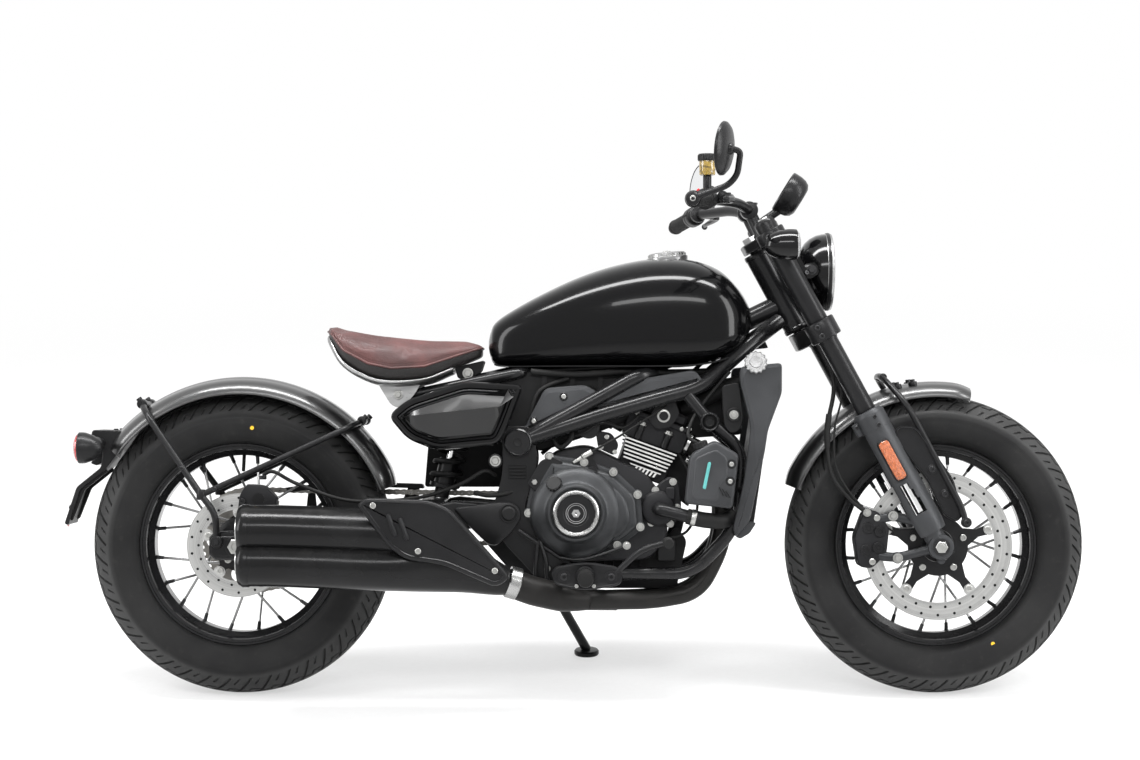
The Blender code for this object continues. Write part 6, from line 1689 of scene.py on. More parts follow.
def grip(side, name):
    """Ribbed rubber grip, switch box, perch and lever of one hand."""
    axis = (on_bar(side, 0.402) - on_bar(side, 0.268)).normalized()
    start = on_bar(side, 0.268)
    reach = (on_bar(side, 0.402) - start).length
    profile = [(0.0, 0.0180), (0.0035, 0.0185), (0.0060, 0.0165)]
    step = 0.0052
    count = int((reach - 0.022) / step)
    for i in range(count):
        a = 0.008 + i * step
        profile += [(a, 0.0150), (a + 0.0006, 0.0163), (a + 0.0034, 0.0163), (a + 0.0040, 0.0150)]
    profile += [(reach - 0.008, 0.0158), (reach - 0.006, 0.0172), (reach - 0.001, 0.0172), (reach, 0.0160)]
    rubber = [turned(profile, start, axis, 40)]
    box = [turned([(0.0, 0.0165), (0.0020, 0.0205), (0.0050, 0.0220), (0.0180, 0.0222), (0.0195, 0.0216),
                   (0.0212, 0.0222), (0.0370, 0.0220), (0.0400, 0.0205), (0.0425, 0.0165)],
                  on_bar(side, 0.2695), -axis, 44)]
    back = Vector((-1.0, 0.0, 0.12)).normalized()
    for y in (0.260, 0.246, 0.236):
        spot = on_bar(side, y) + back * 0.018
        box.append(rod(spot, spot + back * 0.0055, 0.0046, 20, 0.001))
    red = []
    if side < 0:
        red.append(rod(on_bar(side, 0.253, 0.012) + back * 0.013, on_bar(side, 0.253, 0.016) + back * 0.019, 0.0052,
                       20, 0.001))
    perch = [rod(on_bar(side, 0.2215), on_bar(side, 0.2080), 0.0180, 36, 0.002),
             sweep(rounded([on_bar(side, 0.2150, 0, 0.012), on_bar(side, 0.2250, 0, 0.030),
                            on_bar(side, 0.2430, 0, 0.044)], 0.01), circle(0.0095, 20)),
             rod(on_bar(side, 0.240, -0.009, 0.044), on_bar(side, 0.240, 0.009, 0.044), 0.0110, 28, 0.002)]
    heads = bolt(on_bar(side, 0.240, 0.009, 0.044), (0, 0, 1), 0.0058, "cap", 0.004)
    lever_path = [on_bar(side, 0.238, 0, 0.044), on_bar(side, 0.262, 0, 0.056), on_bar(side, 0.300, 0, 0.0595),
                  on_bar(side, 0.340, 0, 0.0590), on_bar(side, 0.378, 0, 0.0610), on_bar(side, 0.395, 0, 0.0650)]

    def blade(t):
        wide = 0.0052 + 0.0016 * math.cos(t * 3.0)
        return circle(wide * 0.85, 20, wide * 1.15)

    lever = [sweep(curve(lever_path, 48), blade), turned([(-0.0068, 0.002), (-0.005, 0.0052), (0.0, 0.0070),
                                                         (0.005, 0.0052), (0.0068, 0.002)],
                                                        on_bar(side, 0.397, 0, 0.0655), axis, 24)]
    if side < 0:
        perch.append(rod(on_bar(side, 0.236, 0.008), on_bar(side, 0.236, 0.0478), 0.0088, 28, 0.001))
        perch.append(rod(on_bar(side, 0.2100, 0.004, 0.030), on_bar(side, 0.2400, 0.006, 0.032), 0.0115, 28, 0.003))
    else:
        perch.append(rod(on_bar(side, 0.246, 0, 0.036), on_bar(side, 0.226, 0, 0.038), 0.0062, 24, 0.001))
    piece("hand_control_" + name, "steering",
          [("rubber", rubber), ("plastic", box), ("satin", perch + lever), ("bolt", heads)]
          + ([("red_plastic", red)] if red else []),
          ["controls_" + name], crease=34.0)


def reservoir():
    """The brake fluid pot with its fluted lid."""
    base = on_bar(-1.0, 0.236, 0.0483)
    pot = [(0.0, 0.0120), (0.0005, 0.0155), (0.0025, 0.0166), (0.0295, 0.0168), (0.0300, 0.0140)]
    cap_rings = [(0.0295, 0.0170), (0.0300, 0.0188), (0.0315, 0.0192), (0.0420, 0.0190), (0.0442, 0.0178),
                 (0.0450, 0.0120), (0.0450, 0.0010)]
    ribs = []
    for i in range(24):
        t = 2 * math.pi * i / 24
        spot = base + Vector((0.0188 * math.cos(t), 0.0188 * math.sin(t), 0.0))
        ribs.append(rod(spot + Vector((0, 0, 0.0318)), spot + Vector((0, 0, 0.0415)), 0.0012, 8))
    foot = [turned([(-0.006, 0.0060), (0.0, 0.0075), (0.0015, 0.0130), (0.0020, 0.0130)], base, (0, 0, 1), 32)]
    piece("fluid_pot", "steering", [("amber", [turned(pot, base, (0, 0, 1), 48)]),
                                    ("plastic", [turned(cap_rings, base, (0, 0, 1), 48)] + ribs + foot)],
          ["brake_reservoir"], crease=34.0)


def dial():
    """The round gauge: shell, face, marks, window, glass and its stem."""
    facing = Vector((-0.85, 0.0, 0.52)).normalized()
    centre = Vector((1.181, 0.0, 1.069))
    shell = [(-0.0225, 0.0100), (-0.0220, 0.0300), (-0.0170, 0.0390), (-0.0080, 0.0440), (0.0040, 0.0464),
             (0.0190, 0.0466), (0.0222, 0.0455), (0.0230, 0.0432), (0.0205, 0.0420), (0.0190, 0.0418)]
    glass = [(0.0200, 0.0415), (0.0208, 0.0300), (0.0211, 0.0020)]
    face = [turned([(0.0185, 0.0418), (0.0192, 0.0416), (0.0192, 0.0010)], centre, facing, 56)]
    marks = []
    one, two = across(facing)
    for i in range(25):
        t = math.radians(-120.0 + 10.0 * i)
        way = math.cos(t) * one + math.sin(t) * two
        inner = 0.0330 if i % 3 else 0.0300
        marks.append(rod(centre + way * inner + facing * 0.0195, centre + way * 0.0375 + facing * 0.0195, 0.0007, 6))
    window = [turned([(0.0193, 0.0200), (0.0199, 0.0190)], centre, facing, 40)]
    stem = [sweep(rounded([steer(0.036, 0.0, 0.7584), steer(0.036, 0.0, 0.785), centre - facing * 0.010], 0.02),
                  circle(0.0090, 24)), turned([(0.7584, 0.0120), (0.7670, 0.0120), (0.7680, 0.0110)],
                                             steer(0.036, 0, 0), UP_FORK, 28)]
    piece("instrument", "steering",
          [("satin", [turned(shell, centre, facing, 64)] + stem), ("dial", face + window), ("alloy", marks),
           ("dial", [turned(glass, centre, facing, 56)])], ["gauge"], crease=34.0)


def looking_glass(side, name):
    """A bar-end mirror with its weight, bent arm and pane."""
    end = Vector((BAR[0][0], side * (BAR[0][1] + 0.001), BAR[0][2]))
    facing = Vector((-0.93, -side * 0.34, 0.10)).normalized()
    centre = Vector((1.008, side * 0.445, 1.127))
    weight = [turned([(0.0, 0.0145), (0.011, 0.0145), (0.0135, 0.0138), (0.0160, 0.0100), (0.0165, 0.004)], end,
                     (0, side, 0), 40)]
    path = [end + Vector((0, side * 0.008, 0)), (1.016, side * 0.425, 1.056), (1.034, side * 0.432, 1.076),
            (1.040, side * 0.436, 1.122), (1.022, side * 0.443, 1.127)]
    arm = [pipe(path, 0.0063, 0.022, 20, 8)]
    shell = [turned([(-0.0125, 0.010), (-0.0120, 0.0220), (-0.0100, 0.0350), (-0.0060, 0.0460), (0.0000, 0.0530),
                     (0.0045, 0.0540), (0.0058, 0.0528), (0.0052, 0.0512), (0.0030, 0.0508)], centre, facing, 72)]
    pane = [turned([(0.0032, 0.0506), (0.0048, 0.0504), (0.0048, 0.0010)], centre, facing, 64)]
    joint = [turned([(-0.018, 0.0085), (-0.017, 0.0105), (-0.011, 0.0125)], centre, facing, 28)]
    heads = bolt(end + Vector((0, side * 0.0155, 0)), (0, side, 0), 0.0058, "cap", 0.001)
    piece("bar_mirror_" + name, "steering", [("satin", weight + arm + shell + joint), ("mirror", pane),
                                            ("zinc", heads)], ["mirror_" + name], crease=34.0)


def half_block(centre, corners, low, high, bend, edge):
    """One half of a caliper: rounded corners seen from the side, eased edges."""
    outline = [(p.x, p.z) for p in (polar(centre, r, a) for r, a in corners)]
    outline = soften(outline, bend)
    return slab(outline, [(low, edge), (low + 0.35 * edge, 0.3 * edge), (low + edge, 0.0), (high - edge, 0.0),
                          (high - 0.35 * edge, 0.3 * edge), (high, edge)])


def front_brake():
    """Front caliper with its lugs, pads and screws, and the hose down to it."""
    corners = ((0.114, 188.0), (0.152, 198.0), (0.177, 194.0), (0.182, 174.0), (0.177, 155.0), (0.152, 150.0),
               (0.114, 160.0))
    bridge = ((0.163, 192.0), (0.177, 191.0), (0.1815, 174.0), (0.177, 158.0), (0.163, 156.0), (0.165, 174.0))
    bodies = [half_block(FRONT_AXLE, corners, -0.105, -0.0775, 0.010, 0.004),
              half_block(FRONT_AXLE, corners, -0.0625, -0.042, 0.010, 0.003),
              half_block(FRONT_AXLE, bridge, -0.088, -0.052, 0.004, 0.001)]
    caps, heads = [], []
    for radius, angle in ((0.134, 181.0), (0.134, 166.0), (0.160, 183.0), (0.160, 165.5)):
        at = polar(FRONT_AXLE, radius - 0.003, angle, -0.105)
        caps.append(turned([(-0.002, 0.0125), (0.0015, 0.0125), (0.0030, 0.0112), (0.0030, 0.0060), (0.0018, 0.0055)],
                           at, (0, -1, 0), 32))
    for radius, angle in ((0.147, 192.5), (0.147, 155.5)):
        heads += bolt(polar(FRONT_AXLE, radius, angle, -0.105), (0, -1, 0), 0.0068, "cap", 0.005)
    upper = [(1.352, -0.097, 0.376), (1.385, -0.100, 0.385), steer(FORK_X, -LEG_SPREAD, 0.052)]
    lower = [(1.356, -0.097, 0.300), (1.395, -0.100, 0.296), steer(FORK_X, -LEG_SPREAD, 0.0)]
    lugs = [sweep(rounded(points, 0.02), circle(0.0088, 24, 0.0100)) for points in (upper, lower)]
    for at in ((1.385, 0.385), (1.395, 0.296)):
        seat_at = Vector((at[0], -0.0885, at[1]))
        lugs.append(rod(seat_at, seat_at - Vector((0, 0.0205, 0)), 0.0120, 28, 0.002))
        heads += bolt(seat_at - Vector((0, 0.0205, 0)), (0, -1, 0), 0.0078, "hex")
    pads = [half_block(FRONT_AXLE, ((0.130, 186.0), (0.158, 187.0), (0.158, 161.0), (0.130, 162.0)), y, y + 0.0035,
                       0.004, 0.0005) for y in (-0.0772, -0.0660)]
    banjo = [rod((1.330, -0.105, 0.392), (1.330, -0.112, 0.392), 0.0085, 24, 0.001)]
    heads += bolt((1.330, -0.112, 0.392), (0, -1, 0), 0.0062, "hex")
    piece("front_brake_caliper", "steering",
          [("dark_cast", bodies), ("cast", lugs), ("satin", caps), ("chain", pads), ("zinc", heads + banjo)],
          ["front_caliper"], crease=32.0)
    route = [steer(0.030, -0.064, 0.501), steer(0.024, -0.066, 0.46), (1.262, -0.085, 0.650),
             (1.247, -0.098, 0.566), (1.256, -0.098, 0.475), (1.296, -0.100, 0.420), (1.327, -0.106, 0.394)]
    line = [hose(route, 0.0046, 16, 90)]
    sleeve = [hose([(1.251, -0.097, 0.60), (1.247, -0.098, 0.566), (1.2475, -0.098, 0.530)], 0.0064, 16, 12)]
    union = [rod(route[0], steer(0.030, -0.064, 0.485), 0.0062, 20, 0.001)]
    wheel_wire = hose([steer(0.020, -0.070, 0.44), (1.278, -0.090, 0.640), (1.262, -0.102, 0.566),
                       (1.268, -0.103, 0.480), (1.322, -0.104, 0.402), (1.395, -0.098, 0.345)], 0.0022, 10, 70)
    piece("front_brake_line", "steering", [("rubber", line + sleeve + [wheel_wire]), ("zinc", union)],
          ["brake_hose"], crease=40.0)


for side, name in SIDES:
    fork(side, name)
    guard(side, name)
    signals(side, name)
    grip(side, name)
    looking_glass(side, name)
clamps()
headlamp()
bar()
reservoir()
dial()
front_brake()


# Frame and running gear

PIVOT = (0.571, 0.389)
LONG_TUBE = [(0.593, 0.125, 0.541), (0.766, 0.122, 0.598), (0.892, 0.120, 0.634), (0.977, 0.112, 0.656),
             (1.072, 0.072, 0.740), (1.152, 0.020, 0.800)]
UPPER_TUBE = [(0.593, 0.125, 0.541), (0.850, 0.120, 0.683), (0.885, 0.080, 0.683)]
SPINE = [(1.160, 0, 0.838), (1.020, 0, 0.770), (0.885, 0, 0.706), (0.620, 0, 0.690), (0.495, 0, 0.662)]
CRADLE = [(0.950, 0.118, 0.640), (0.996, 0.120, 0.584), (1.066, 0.115, 0.525), (1.052, 0.110, 0.360),
          (0.962, 0.100, 0.263), (0.655, 0.110, 0.263)]
PIVOT_PLATE = [(0.560, 0.575), (0.622, 0.575), (0.636, 0.500), (0.606, 0.400), (0.676, 0.292), (0.680, 0.252),
               (0.640, 0.246), (0.562, 0.330), (0.536, 0.392), (0.560, 0.470)]
COVER_PANEL = [(0.690, 0.590), (0.860, 0.676), (0.965, 0.694), (0.985, 0.668), (0.880, 0.640), (0.770, 0.606)]
SMALL_PANEL = [(0.600, 0.560), (0.650, 0.655), (0.735, 0.662), (0.770, 0.640), (0.640, 0.565)]
STAND_PIVOT = Vector((0.640, 0.152, 0.262))
STAND_FOOT = Vector((0.740, 0.275, 0.275 * math.tan(LEAN)))
STAND_AXIS = (STAND_FOOT - STAND_PIVOT).cross(Vector((-0.268, 0.045, 0.022))).normalized()


def panel(outline, side, y, raise_by):
    """A moulded panel with an eased rim and a raised field inside it."""
    shape = soften(outline, 0.012)
    levels = [(side * (y - 0.006), 0.0), (side * y, 0.0), (side * (y + 0.0015), 0.0006), (side * (y + 0.0022), 0.002),
              (side * (y + 0.0022), 0.0080), (side * (y + 0.0022 + raise_by * 0.7), 0.0092),
              (side * (y + 0.0022 + raise_by), 0.0110)]
    return slab(shape, levels)


def main_frame():
    """The frame's tubes, pivot plates, panels and gussets."""
    tubes = [turned([(0.543, 0.0285), (0.546, 0.0300), (0.552, 0.0300), (0.554, 0.0285), (0.722, 0.0285),
                     (0.724, 0.0300), (0.731, 0.0300), (0.734, 0.0285)], steer(0, 0, 0), UP_FORK, 48),
             pipe(SPINE, 0.022, 0.05, 28, 8), pipe(both(UPPER_TUBE), 0.015, 0.03,
                                                   24, 8),
             rod((0.665, -0.110, 0.263), (0.665, 0.110, 0.263), 0.0135, 24),
             rod((0.480, -0.078, 0.655), (0.480, 0.078, 0.655), 0.014, 24, 0.001),
             rod(STAND_PIVOT - STAND_AXIS * 0.048, STAND_PIVOT - STAND_AXIS * 0.0127, 0.018, 32, 0.002)]
    panels, caps, zinc, plates, dark = [], [], [], [], []
    for side, _ in SIDES:
        tubes += [pipe(out(side, *LONG_TUBE), 0.017, 0.05, 28, 8), pipe(out(side, *CRADLE), 0.0135, 0.045, 24, 10),
                  pipe(out(side, (0.330, 0.074, 0.633), (0.500, 0.082, 0.668), (0.600, 0.082, 0.688),
                           (0.640, 0.0, 0.690)), 0.012, 0.03, 20, 8),
                  pipe(out(side, (0.593, 0.112, 0.541), (0.330, 0.074, 0.633)), 0.012, 0.03, 20)]
        boss = Vector((0.593, side * 0.100, 0.541))
        way = (0, side, 0)
        tubes.append(turned([(0.0, 0.030), (0.040, 0.030), (0.0445, 0.0285), (0.0465, 0.0260), (0.0450, 0.0245)],
                            boss, way, 56))
        lobes = [[boss + Vector(((0.0185 + 0.0024 * math.cos(8 * t)) * math.cos(t), side * y,
                                 (0.0185 + 0.0024 * math.cos(8 * t)) * math.sin(t)))
                  for t in (2 * math.pi * k / 96 for k in range(96))] for y in (0.0430, 0.0462)]
        caps += [turned([(0.040, 0.0245), (0.0438, 0.0244), (0.0442, 0.002)], boss, way, 48), loft(lobes),
                 turned([(0.0460, 0.0085), (0.0478, 0.0080), (0.0470, 0.0050)], boss, way, 32)]
        node = Vector((0.996, side * 0.100, 0.584))
        tubes.append(turned([(0.0, 0.021), (0.037, 0.021), (0.0405, 0.0195), (0.042, 0.0178), (0.0415, 0.0160),
                             (0.034, 0.0150)], node, way, 48))
        caps.append(turned([(0.033, 0.0155), (0.036, 0.0125), (0.0375, 0.0090), (0.0355, 0.0070)], node, way, 32))
        low, high = between(side, 0.110, 0.126)
        plates.append(slab(soften(PIVOT_PLATE, 0.018), [(low, 0.0015), (low + 0.0015, 0.0), (high - 0.0015, 0.0),
                                                        (high, 0.0015)]))
        boss_at = Vector((PIVOT[0], side * 0.120, PIVOT[1]))
        plates.append(turned([(0.0, 0.0245), (0.0085, 0.0245), (0.0105, 0.0232), (0.0110, 0.0200)], boss_at, way, 48))
        caps.append(turned([(0.0105, 0.0150), (0.0135, 0.0148), (0.0150, 0.0136), (0.0153, 0.0115), (0.0146, 0.0105)],
                           boss_at, way, 40))
        panels += [panel(COVER_PANEL, side, 0.1205, 0.0010), panel(SMALL_PANEL, side, 0.1195, 0.0008)]
        for x, z in ((0.722, 0.6005), (0.626, 0.5855), (0.689, 0.637)):
            dark.append(turned([(0.0, 0.0088), (0.0018, 0.0088), (0.0024, 0.0080)], (x, side * 0.1218, z), way, 24))
            zinc += bolt((x, side * 0.1240, z), way, 0.0048, "cap", 0.0028)
        zinc += bolt((0.545, side * 0.1262, 0.5015), way, 0.0085, "hex", 0.006)
        dark.append(rod((0.545, side * 0.112, 0.5015), (0.545, side * 0.1265, 0.5015), 0.0150, 28, 0.001))
        for x, z in ((0.640, 0.4790), (0.655, 0.2750)):
            zinc += bolt((x, side * 0.1262, z), way, 0.0070, "cap", 0.004)
        # a small gusset where tubes meet
        gusset = ((1.112, 0.050, 0.772), (1.060, 0.060, 0.735), (1.128, 0.020, 0.742))
        plates.append(loft([[Vector((x, side * y + dy, z)) for x, y, z in gusset] for dy in (-0.002, 0.002)]))
    piece("frame_tubes", "chassis", [("frame", tubes), ("satin", plates + dark), ("grey", panels), ("matt", caps),
                                     ("zinc", zinc)], ["main_frame"], crease=32.0)


ARM = [(0.602, 0.086, 0.374, 0.404), (0.540, 0.086, 0.367, 0.411), (0.460, 0.108, 0.352, 0.418),
       (0.060, 0.108, 0.292, 0.358), (-0.044, 0.108, 0.293, 0.353), (-0.056, 0.108, 0.304, 0.342)]


def swingarm():
    """Both arms, the pivot tube, the axle's ends and the chain guard."""
    arms, zinc, blocks = [], [], []
    for side, _ in SIDES:
        rings = []
        for x, inner, low, high in ARM:
            outer = min(inner + 0.027, 0.1097) if x > 0.5 else 0.135
            soft = 0.006
            corners = [(inner, low), (outer, low), (outer, high), (inner, high)]
            ring = []
            for k, (y, z) in enumerate(corners):
                dy = (1 if k in (1, 2) else -1) * soft
                dz = (1 if k in (2, 3) else -1) * soft
                start = {0: math.pi, 1: -math.pi / 2, 2: 0.0, 3: math.pi / 2}[k]
                for t in range(6):
                    angle = start + t * math.pi / 10
                    ring.append(Vector((x, side * (y - dy + soft * math.cos(angle)),
                                        z - dz + soft * math.sin(angle))))
            rings.append(ring)
        arms.append(loft(rings))
        axle = Vector((0.0, side * 0.1350, REAR_AXLE.z))
        slot = [(-0.052, 0.302), (0.052, 0.302), (0.062, 0.322), (0.052, 0.343), (-0.052, 0.343)]
        blocks.append(slab(soften(slot, 0.010), [(side * 0.1345, 0.0), (side * 0.1380, 0.0), (side * 0.1388, 0.001)]))
        blocks.append(turned([(0.0, 0.0225), (0.0050, 0.0225), (0.0058, 0.0215)], axle, (0, side, 0), 40))
        zinc.append(turned([(0.0050, 0.0170), (0.0100, 0.0170), (0.0112, 0.0155), (0.0112, 0.0095), (0.0080, 0.0090)],
                           axle, (0, side, 0), 6))
        zinc.append(rod((-0.046, side * 0.122, 0.323), (-0.0545, side * 0.122, 0.323), 0.0065, 6))
        for x in (0.110, 0.250, 0.360):
            z = 0.5 * (line_at(sorted((a, c) for a, _, c, _ in ARM), x) + line_at(sorted((a, d) for a, _, _,
                               d in ARM), x))
            blocks.append(rod((x, side * 0.132, z), (x, side * 0.1362, z), 0.0080, 24, 0.001))
    arms += [rod((PIVOT[0], -0.1097, PIVOT[1]), (PIVOT[0], 0.1097, PIVOT[1]), 0.024, 40),
             slab([(0.385, 0.362), (0.440, 0.362), (0.440, 0.420), (0.385, 0.420)], [(-0.118, 0.0), (0.118, 0.0)],
                  bend=0.008)]
    axle_rod = [rod((0.0, -0.120, REAR_AXLE.z), (0.0, 0.120, REAR_AXLE.z), 0.010, 24)]
    guard = [slab([(0.080, 0.438), (0.200, 0.452), (0.380, 0.446), (0.384, 0.436), (0.200, 0.442), (0.086, 0.428)],
                  [(0.078, 0.0), (0.110, 0.0)], bend=0.004)]
    guard.append(slab([(0.330, 0.400), (0.350, 0.446), (0.372, 0.444), (0.368, 0.400)],
                      [(0.108, 0.0), (0.1115, 0.0)]))
    guard.append(slab([(0.118, 0.350), (0.128, 0.446), (0.140, 0.446), (0.150, 0.350)],
                      [(0.108, 0.0), (0.1115, 0.0)]))
    piece("swing_arm", "chassis", [("frame", arms), ("satin", blocks), ("zinc", zinc + axle_rod),
                                   ("plastic", guard)], ["swingarm"], crease=32.0)


def shock():
    """The damper and its spring under the seat."""
    low, high = Vector((0.420, 0.0, 0.405)), Vector((0.480, 0.0, 0.655))
    axis = (high - low).normalized()
    length = (high - low).length
    body = [turned([(0.012, 0.012), (0.014, 0.0165), (0.036, 0.0165), (0.038, 0.0300), (0.045, 0.0300),
                    (0.047, 0.0220), (0.100, 0.0215)], low, axis, 48),
            turned([(length - 0.070, 0.0215), (length - 0.066, 0.0330), (length - 0.058, 0.0330),
                    (length - 0.055, 0.0250), (length - 0.030, 0.0240), (length - 0.024, 0.0165),
                    (length - 0.010, 0.0160)], low, axis, 48)]
    eyes = [rod(low + Vector((0, -0.020, 0)), low + Vector((0, 0.020, 0)), 0.0165, 36, 0.002)]
    one, two = across(axis)
    turns, start, end = 5.0, 0.046, length - 0.067
    path = []
    count = int(turns * 28)
    for i in range(count + 1):
        t = i / count
        angle = 2.0 * math.pi * turns * t
        outward = math.cos(angle) * one + math.sin(angle) * two
        path.append(low + axis * (start + (end - start) * t) + 0.0295 * outward)
    coil = [sweep(path, circle(0.0058, 14))]
    rod_ = [rod(low + axis * 0.090, high - axis * 0.060, 0.0080, 28)]
    can = [rod(Vector((0.452, -0.042, 0.600)), Vector((0.520, -0.042, 0.630)), 0.0170, 36, 0.004)]
    piece("rear_spring", "chassis", [("satin", body + can), ("matt", coil), ("chrome", rod_), ("alloy", eyes)],
          ["rear_shock"], crease=34.0)


PITCH, REAR_TEETH, FRONT_TEETH, CHAIN_Y = 0.015875, 44, 15, 0.0905


def chain_run():
    """Points for each link end along the chain, anticlockwise from the rear sprocket."""
    big, small = (0.5 * PITCH / math.sin(math.pi / n) for n in (REAR_TEETH, FRONT_TEETH))
    rear, front = Vector((REAR_AXLE.x, REAR_AXLE.z)), Vector((0.655, 0.385))
    span = front - rear
    slope, wrap = math.atan2(span.y, span.x), math.acos((big - small) / span.length)
    run = math.sqrt(span.length ** 2 - (big - small) ** 2)
    arcs = (big * (2.0 * math.pi - 2.0 * wrap), run, small * 2.0 * wrap, run)
    total = sum(arcs)
    links = 2 * round(total / PITCH / 2.0)
    points = []
    for i in range(links):
        s, part = total * i / links, 0
        while s > arcs[part]:
            s -= arcs[part]
            part += 1
        low, high = slope - wrap, slope + wrap
        if part == 0:
            points.append(rear + big * Vector((math.cos(high + s / big), math.sin(high + s / big))))
        elif part == 1:
            points.append(rear + big * Vector((math.cos(low), math.sin(low)))
                          + s * Vector((-math.sin(low), math.cos(low))))
        elif part == 2:
            points.append(front + small * Vector((math.cos(low + s / small), math.sin(low + s / small))))
        else:
            points.append(front + small * Vector((math.cos(high), math.sin(high)))
                          + s * Vector((-math.sin(high), math.cos(high))))
    return points


def link_plate():
    """A link's side plate, one pitch long and one thickness tall: two round ends and a waist."""
    outline = []
    for end, start in ((0.5, -90.0), (-0.5, 90.0)):
        outline += [(end + 0.39 * math.cos(t), 0.39 * math.sin(t)) for t in
                    (math.radians(start + 30.0 * k) for k in range(7))]
        outline.append((0.0, 0.29 * math.copysign(1.0, end)))
    return loft([[Vector((x, y, level)) for x, y in outline] for level in (-0.5, 0.5)])


SHAPES["link"] = solid("link", [link_plate()])


def chain():
    """The chain's links along their run, and the rear sprocket with its nuts."""
    points = chain_run()
    plates, rollers = [], []
    for i, a in enumerate(points):
        b = points[(i + 1) % len(points)]
        along = (b - a).normalized()
        middle = (a + b) / 2
        reach = 0.0074 if i % 2 else 0.0054
        for y in (CHAIN_Y - reach, CHAIN_Y + reach):
            plates.append(fitting("link", (middle.x, y, middle.y), (0.0, 1.0, 0.0), PITCH, 0.0016,
                                  Vector((along.x, 0.0, along.y))))
        for reach, radius in ((0.0086, 0.0020), (0.0040, 0.0042)):
            rollers.append(wire((a.x, CHAIN_Y - reach, a.y), (a.x, CHAIN_Y + reach, a.y), radius))
    piece("roller_chain", "chassis", [("chain", plates), ("steel", rollers)], ["drive_chain"], crease=30.0)
    root = 0.5 * PITCH / math.sin(math.pi / REAR_TEETH)
    outline = []
    for i in range(REAR_TEETH):
        for part, reach in ((0.0, -0.0052), (0.18, -0.0046), (0.34, -0.0010), (0.45, 0.0022), (0.55, 0.0022),
                            (0.66, -0.0010), (0.82, -0.0046)):
            t = 2.0 * math.pi * (i + part) / REAR_TEETH
            outline.append((REAR_AXLE.x + (root + reach - 0.0060) * math.cos(t),
                            REAR_AXLE.z + (root + reach - 0.0060) * math.sin(t)))
    holes = [(REAR_AXLE.x, REAR_AXLE.z, 0.0215)]
    for i in range(5):
        t = 2.0 * math.pi * (i + 0.5) / 5
        holes.append((REAR_AXLE.x + 0.078 * math.cos(t), REAR_AXLE.z + 0.078 * math.sin(t), 0.0165))
    wheel = [plate(outline, CHAIN_Y - 0.0030, CHAIN_Y + 0.0030, holes)]
    nuts = []
    for i in range(5):
        t = 2.0 * math.pi * i / 5
        nuts += bolt(REAR_AXLE + Vector((0.052 * math.cos(t), CHAIN_Y + 0.0030, 0.052 * math.sin(t))), (0, 1, 0),
                     0.008)
    piece("rear_chainwheel", "rear_wheel", [("chain", wheel), ("zinc", nuts)], ["rear_sprocket"], crease=30.0)


def rear_brake():
    """Rear caliper with its lug, screws and hose."""
    corners = ((0.072, 42.0), (0.108, 44.0), (0.131, 50.0), (0.139, 66.0), (0.131, 82.0), (0.108, 88.0),
               (0.072, 90.0))
    bodies = [half_block(REAR_AXLE, corners, -0.1075, -0.0935, 0.010, 0.003),
              half_block(REAR_AXLE, corners, -0.0820, -0.0665, 0.010, 0.003),
              half_block(REAR_AXLE, ((0.119, 48.0), (0.131, 50.0), (0.138, 66.0), (0.131, 82.0), (0.119, 84.0),
                                     (0.122, 66.0)), -0.096, -0.078, 0.003, 0.001)]
    lug = [slab([(0.030, 0.352), (0.090, 0.358), (0.085, 0.400), (0.035, 0.400)], [(-0.1077, 0.0), (-0.0980, 0.0)],
                bend=0.008)]
    heads = []
    for radius, angle in ((0.094, 48.0), (0.094, 84.0)):
        heads += bolt(polar(REAR_AXLE, radius, angle, -0.1072), (0, -1, 0), 0.0065, "cap", 0.0)
    caps = [turned([(-0.001, 0.0125), (0.0004, 0.0125), (0.0004, 0.002)], polar(REAR_AXLE, 0.108, 66.0, -0.1075),
                   (0, -1, 0), 32)]
    banjo = [rod((0.052, -0.092, 0.4615), (0.052, -0.092, 0.4700), 0.0075, 20, 0.001)]
    line = [hose([(0.052, -0.092, 0.4700), (0.075, -0.098, 0.478), (0.130, -0.118, 0.452), (0.240, -0.1285, 0.418),
                  (0.380, -0.1290, 0.424), (0.470, -0.1270, 0.452), (0.520, -0.1180, 0.480), (0.545, -0.100, 0.470)],
                 0.0040, 12, 80)]
    piece("rear_brake_caliper", "chassis", [("dark_cast", bodies + lug), ("satin", caps), ("bolt", heads + banjo),
                                            ("rubber", line)], ["rear_caliper"], crease=32.0)


main_frame()
swingarm()
shock()
chain()
rear_brake()


# Engine and cooling

def barrel_block(u0, u1, v0, v1, y0, y1, edge=0.002):
    """A block square to the cylinders, with eased corners."""
    outline = soften([(u0, v0), (u1, v0), (u1, v1), (u0, v1)], min(0.012, 0.3 * (v1 - v0)), 4)
    rings = []
    for y, depth in ((y0, edge), (y0 + edge, 0.0), (y1 - edge, 0.0), (y1, edge)):
        rings.append([barrel(u, y, v) for u, v in inset(outline, depth)])
    return loft(rings)


CASE = [(0.622, 0.452), (0.665, 0.520), (0.740, 0.535), (0.862, 0.476), (0.905, 0.420), (0.910, 0.340),
        (0.870, 0.292), (0.690, 0.288), (0.640, 0.318)]
COVER_BOLTS = [(0.655, 0.516), (0.732, 0.504), (0.797, 0.482), (0.851, 0.432), (0.857, 0.360), (0.806, 0.320),
               (0.646, 0.320), (0.608, 0.391), (0.622, 0.460)]


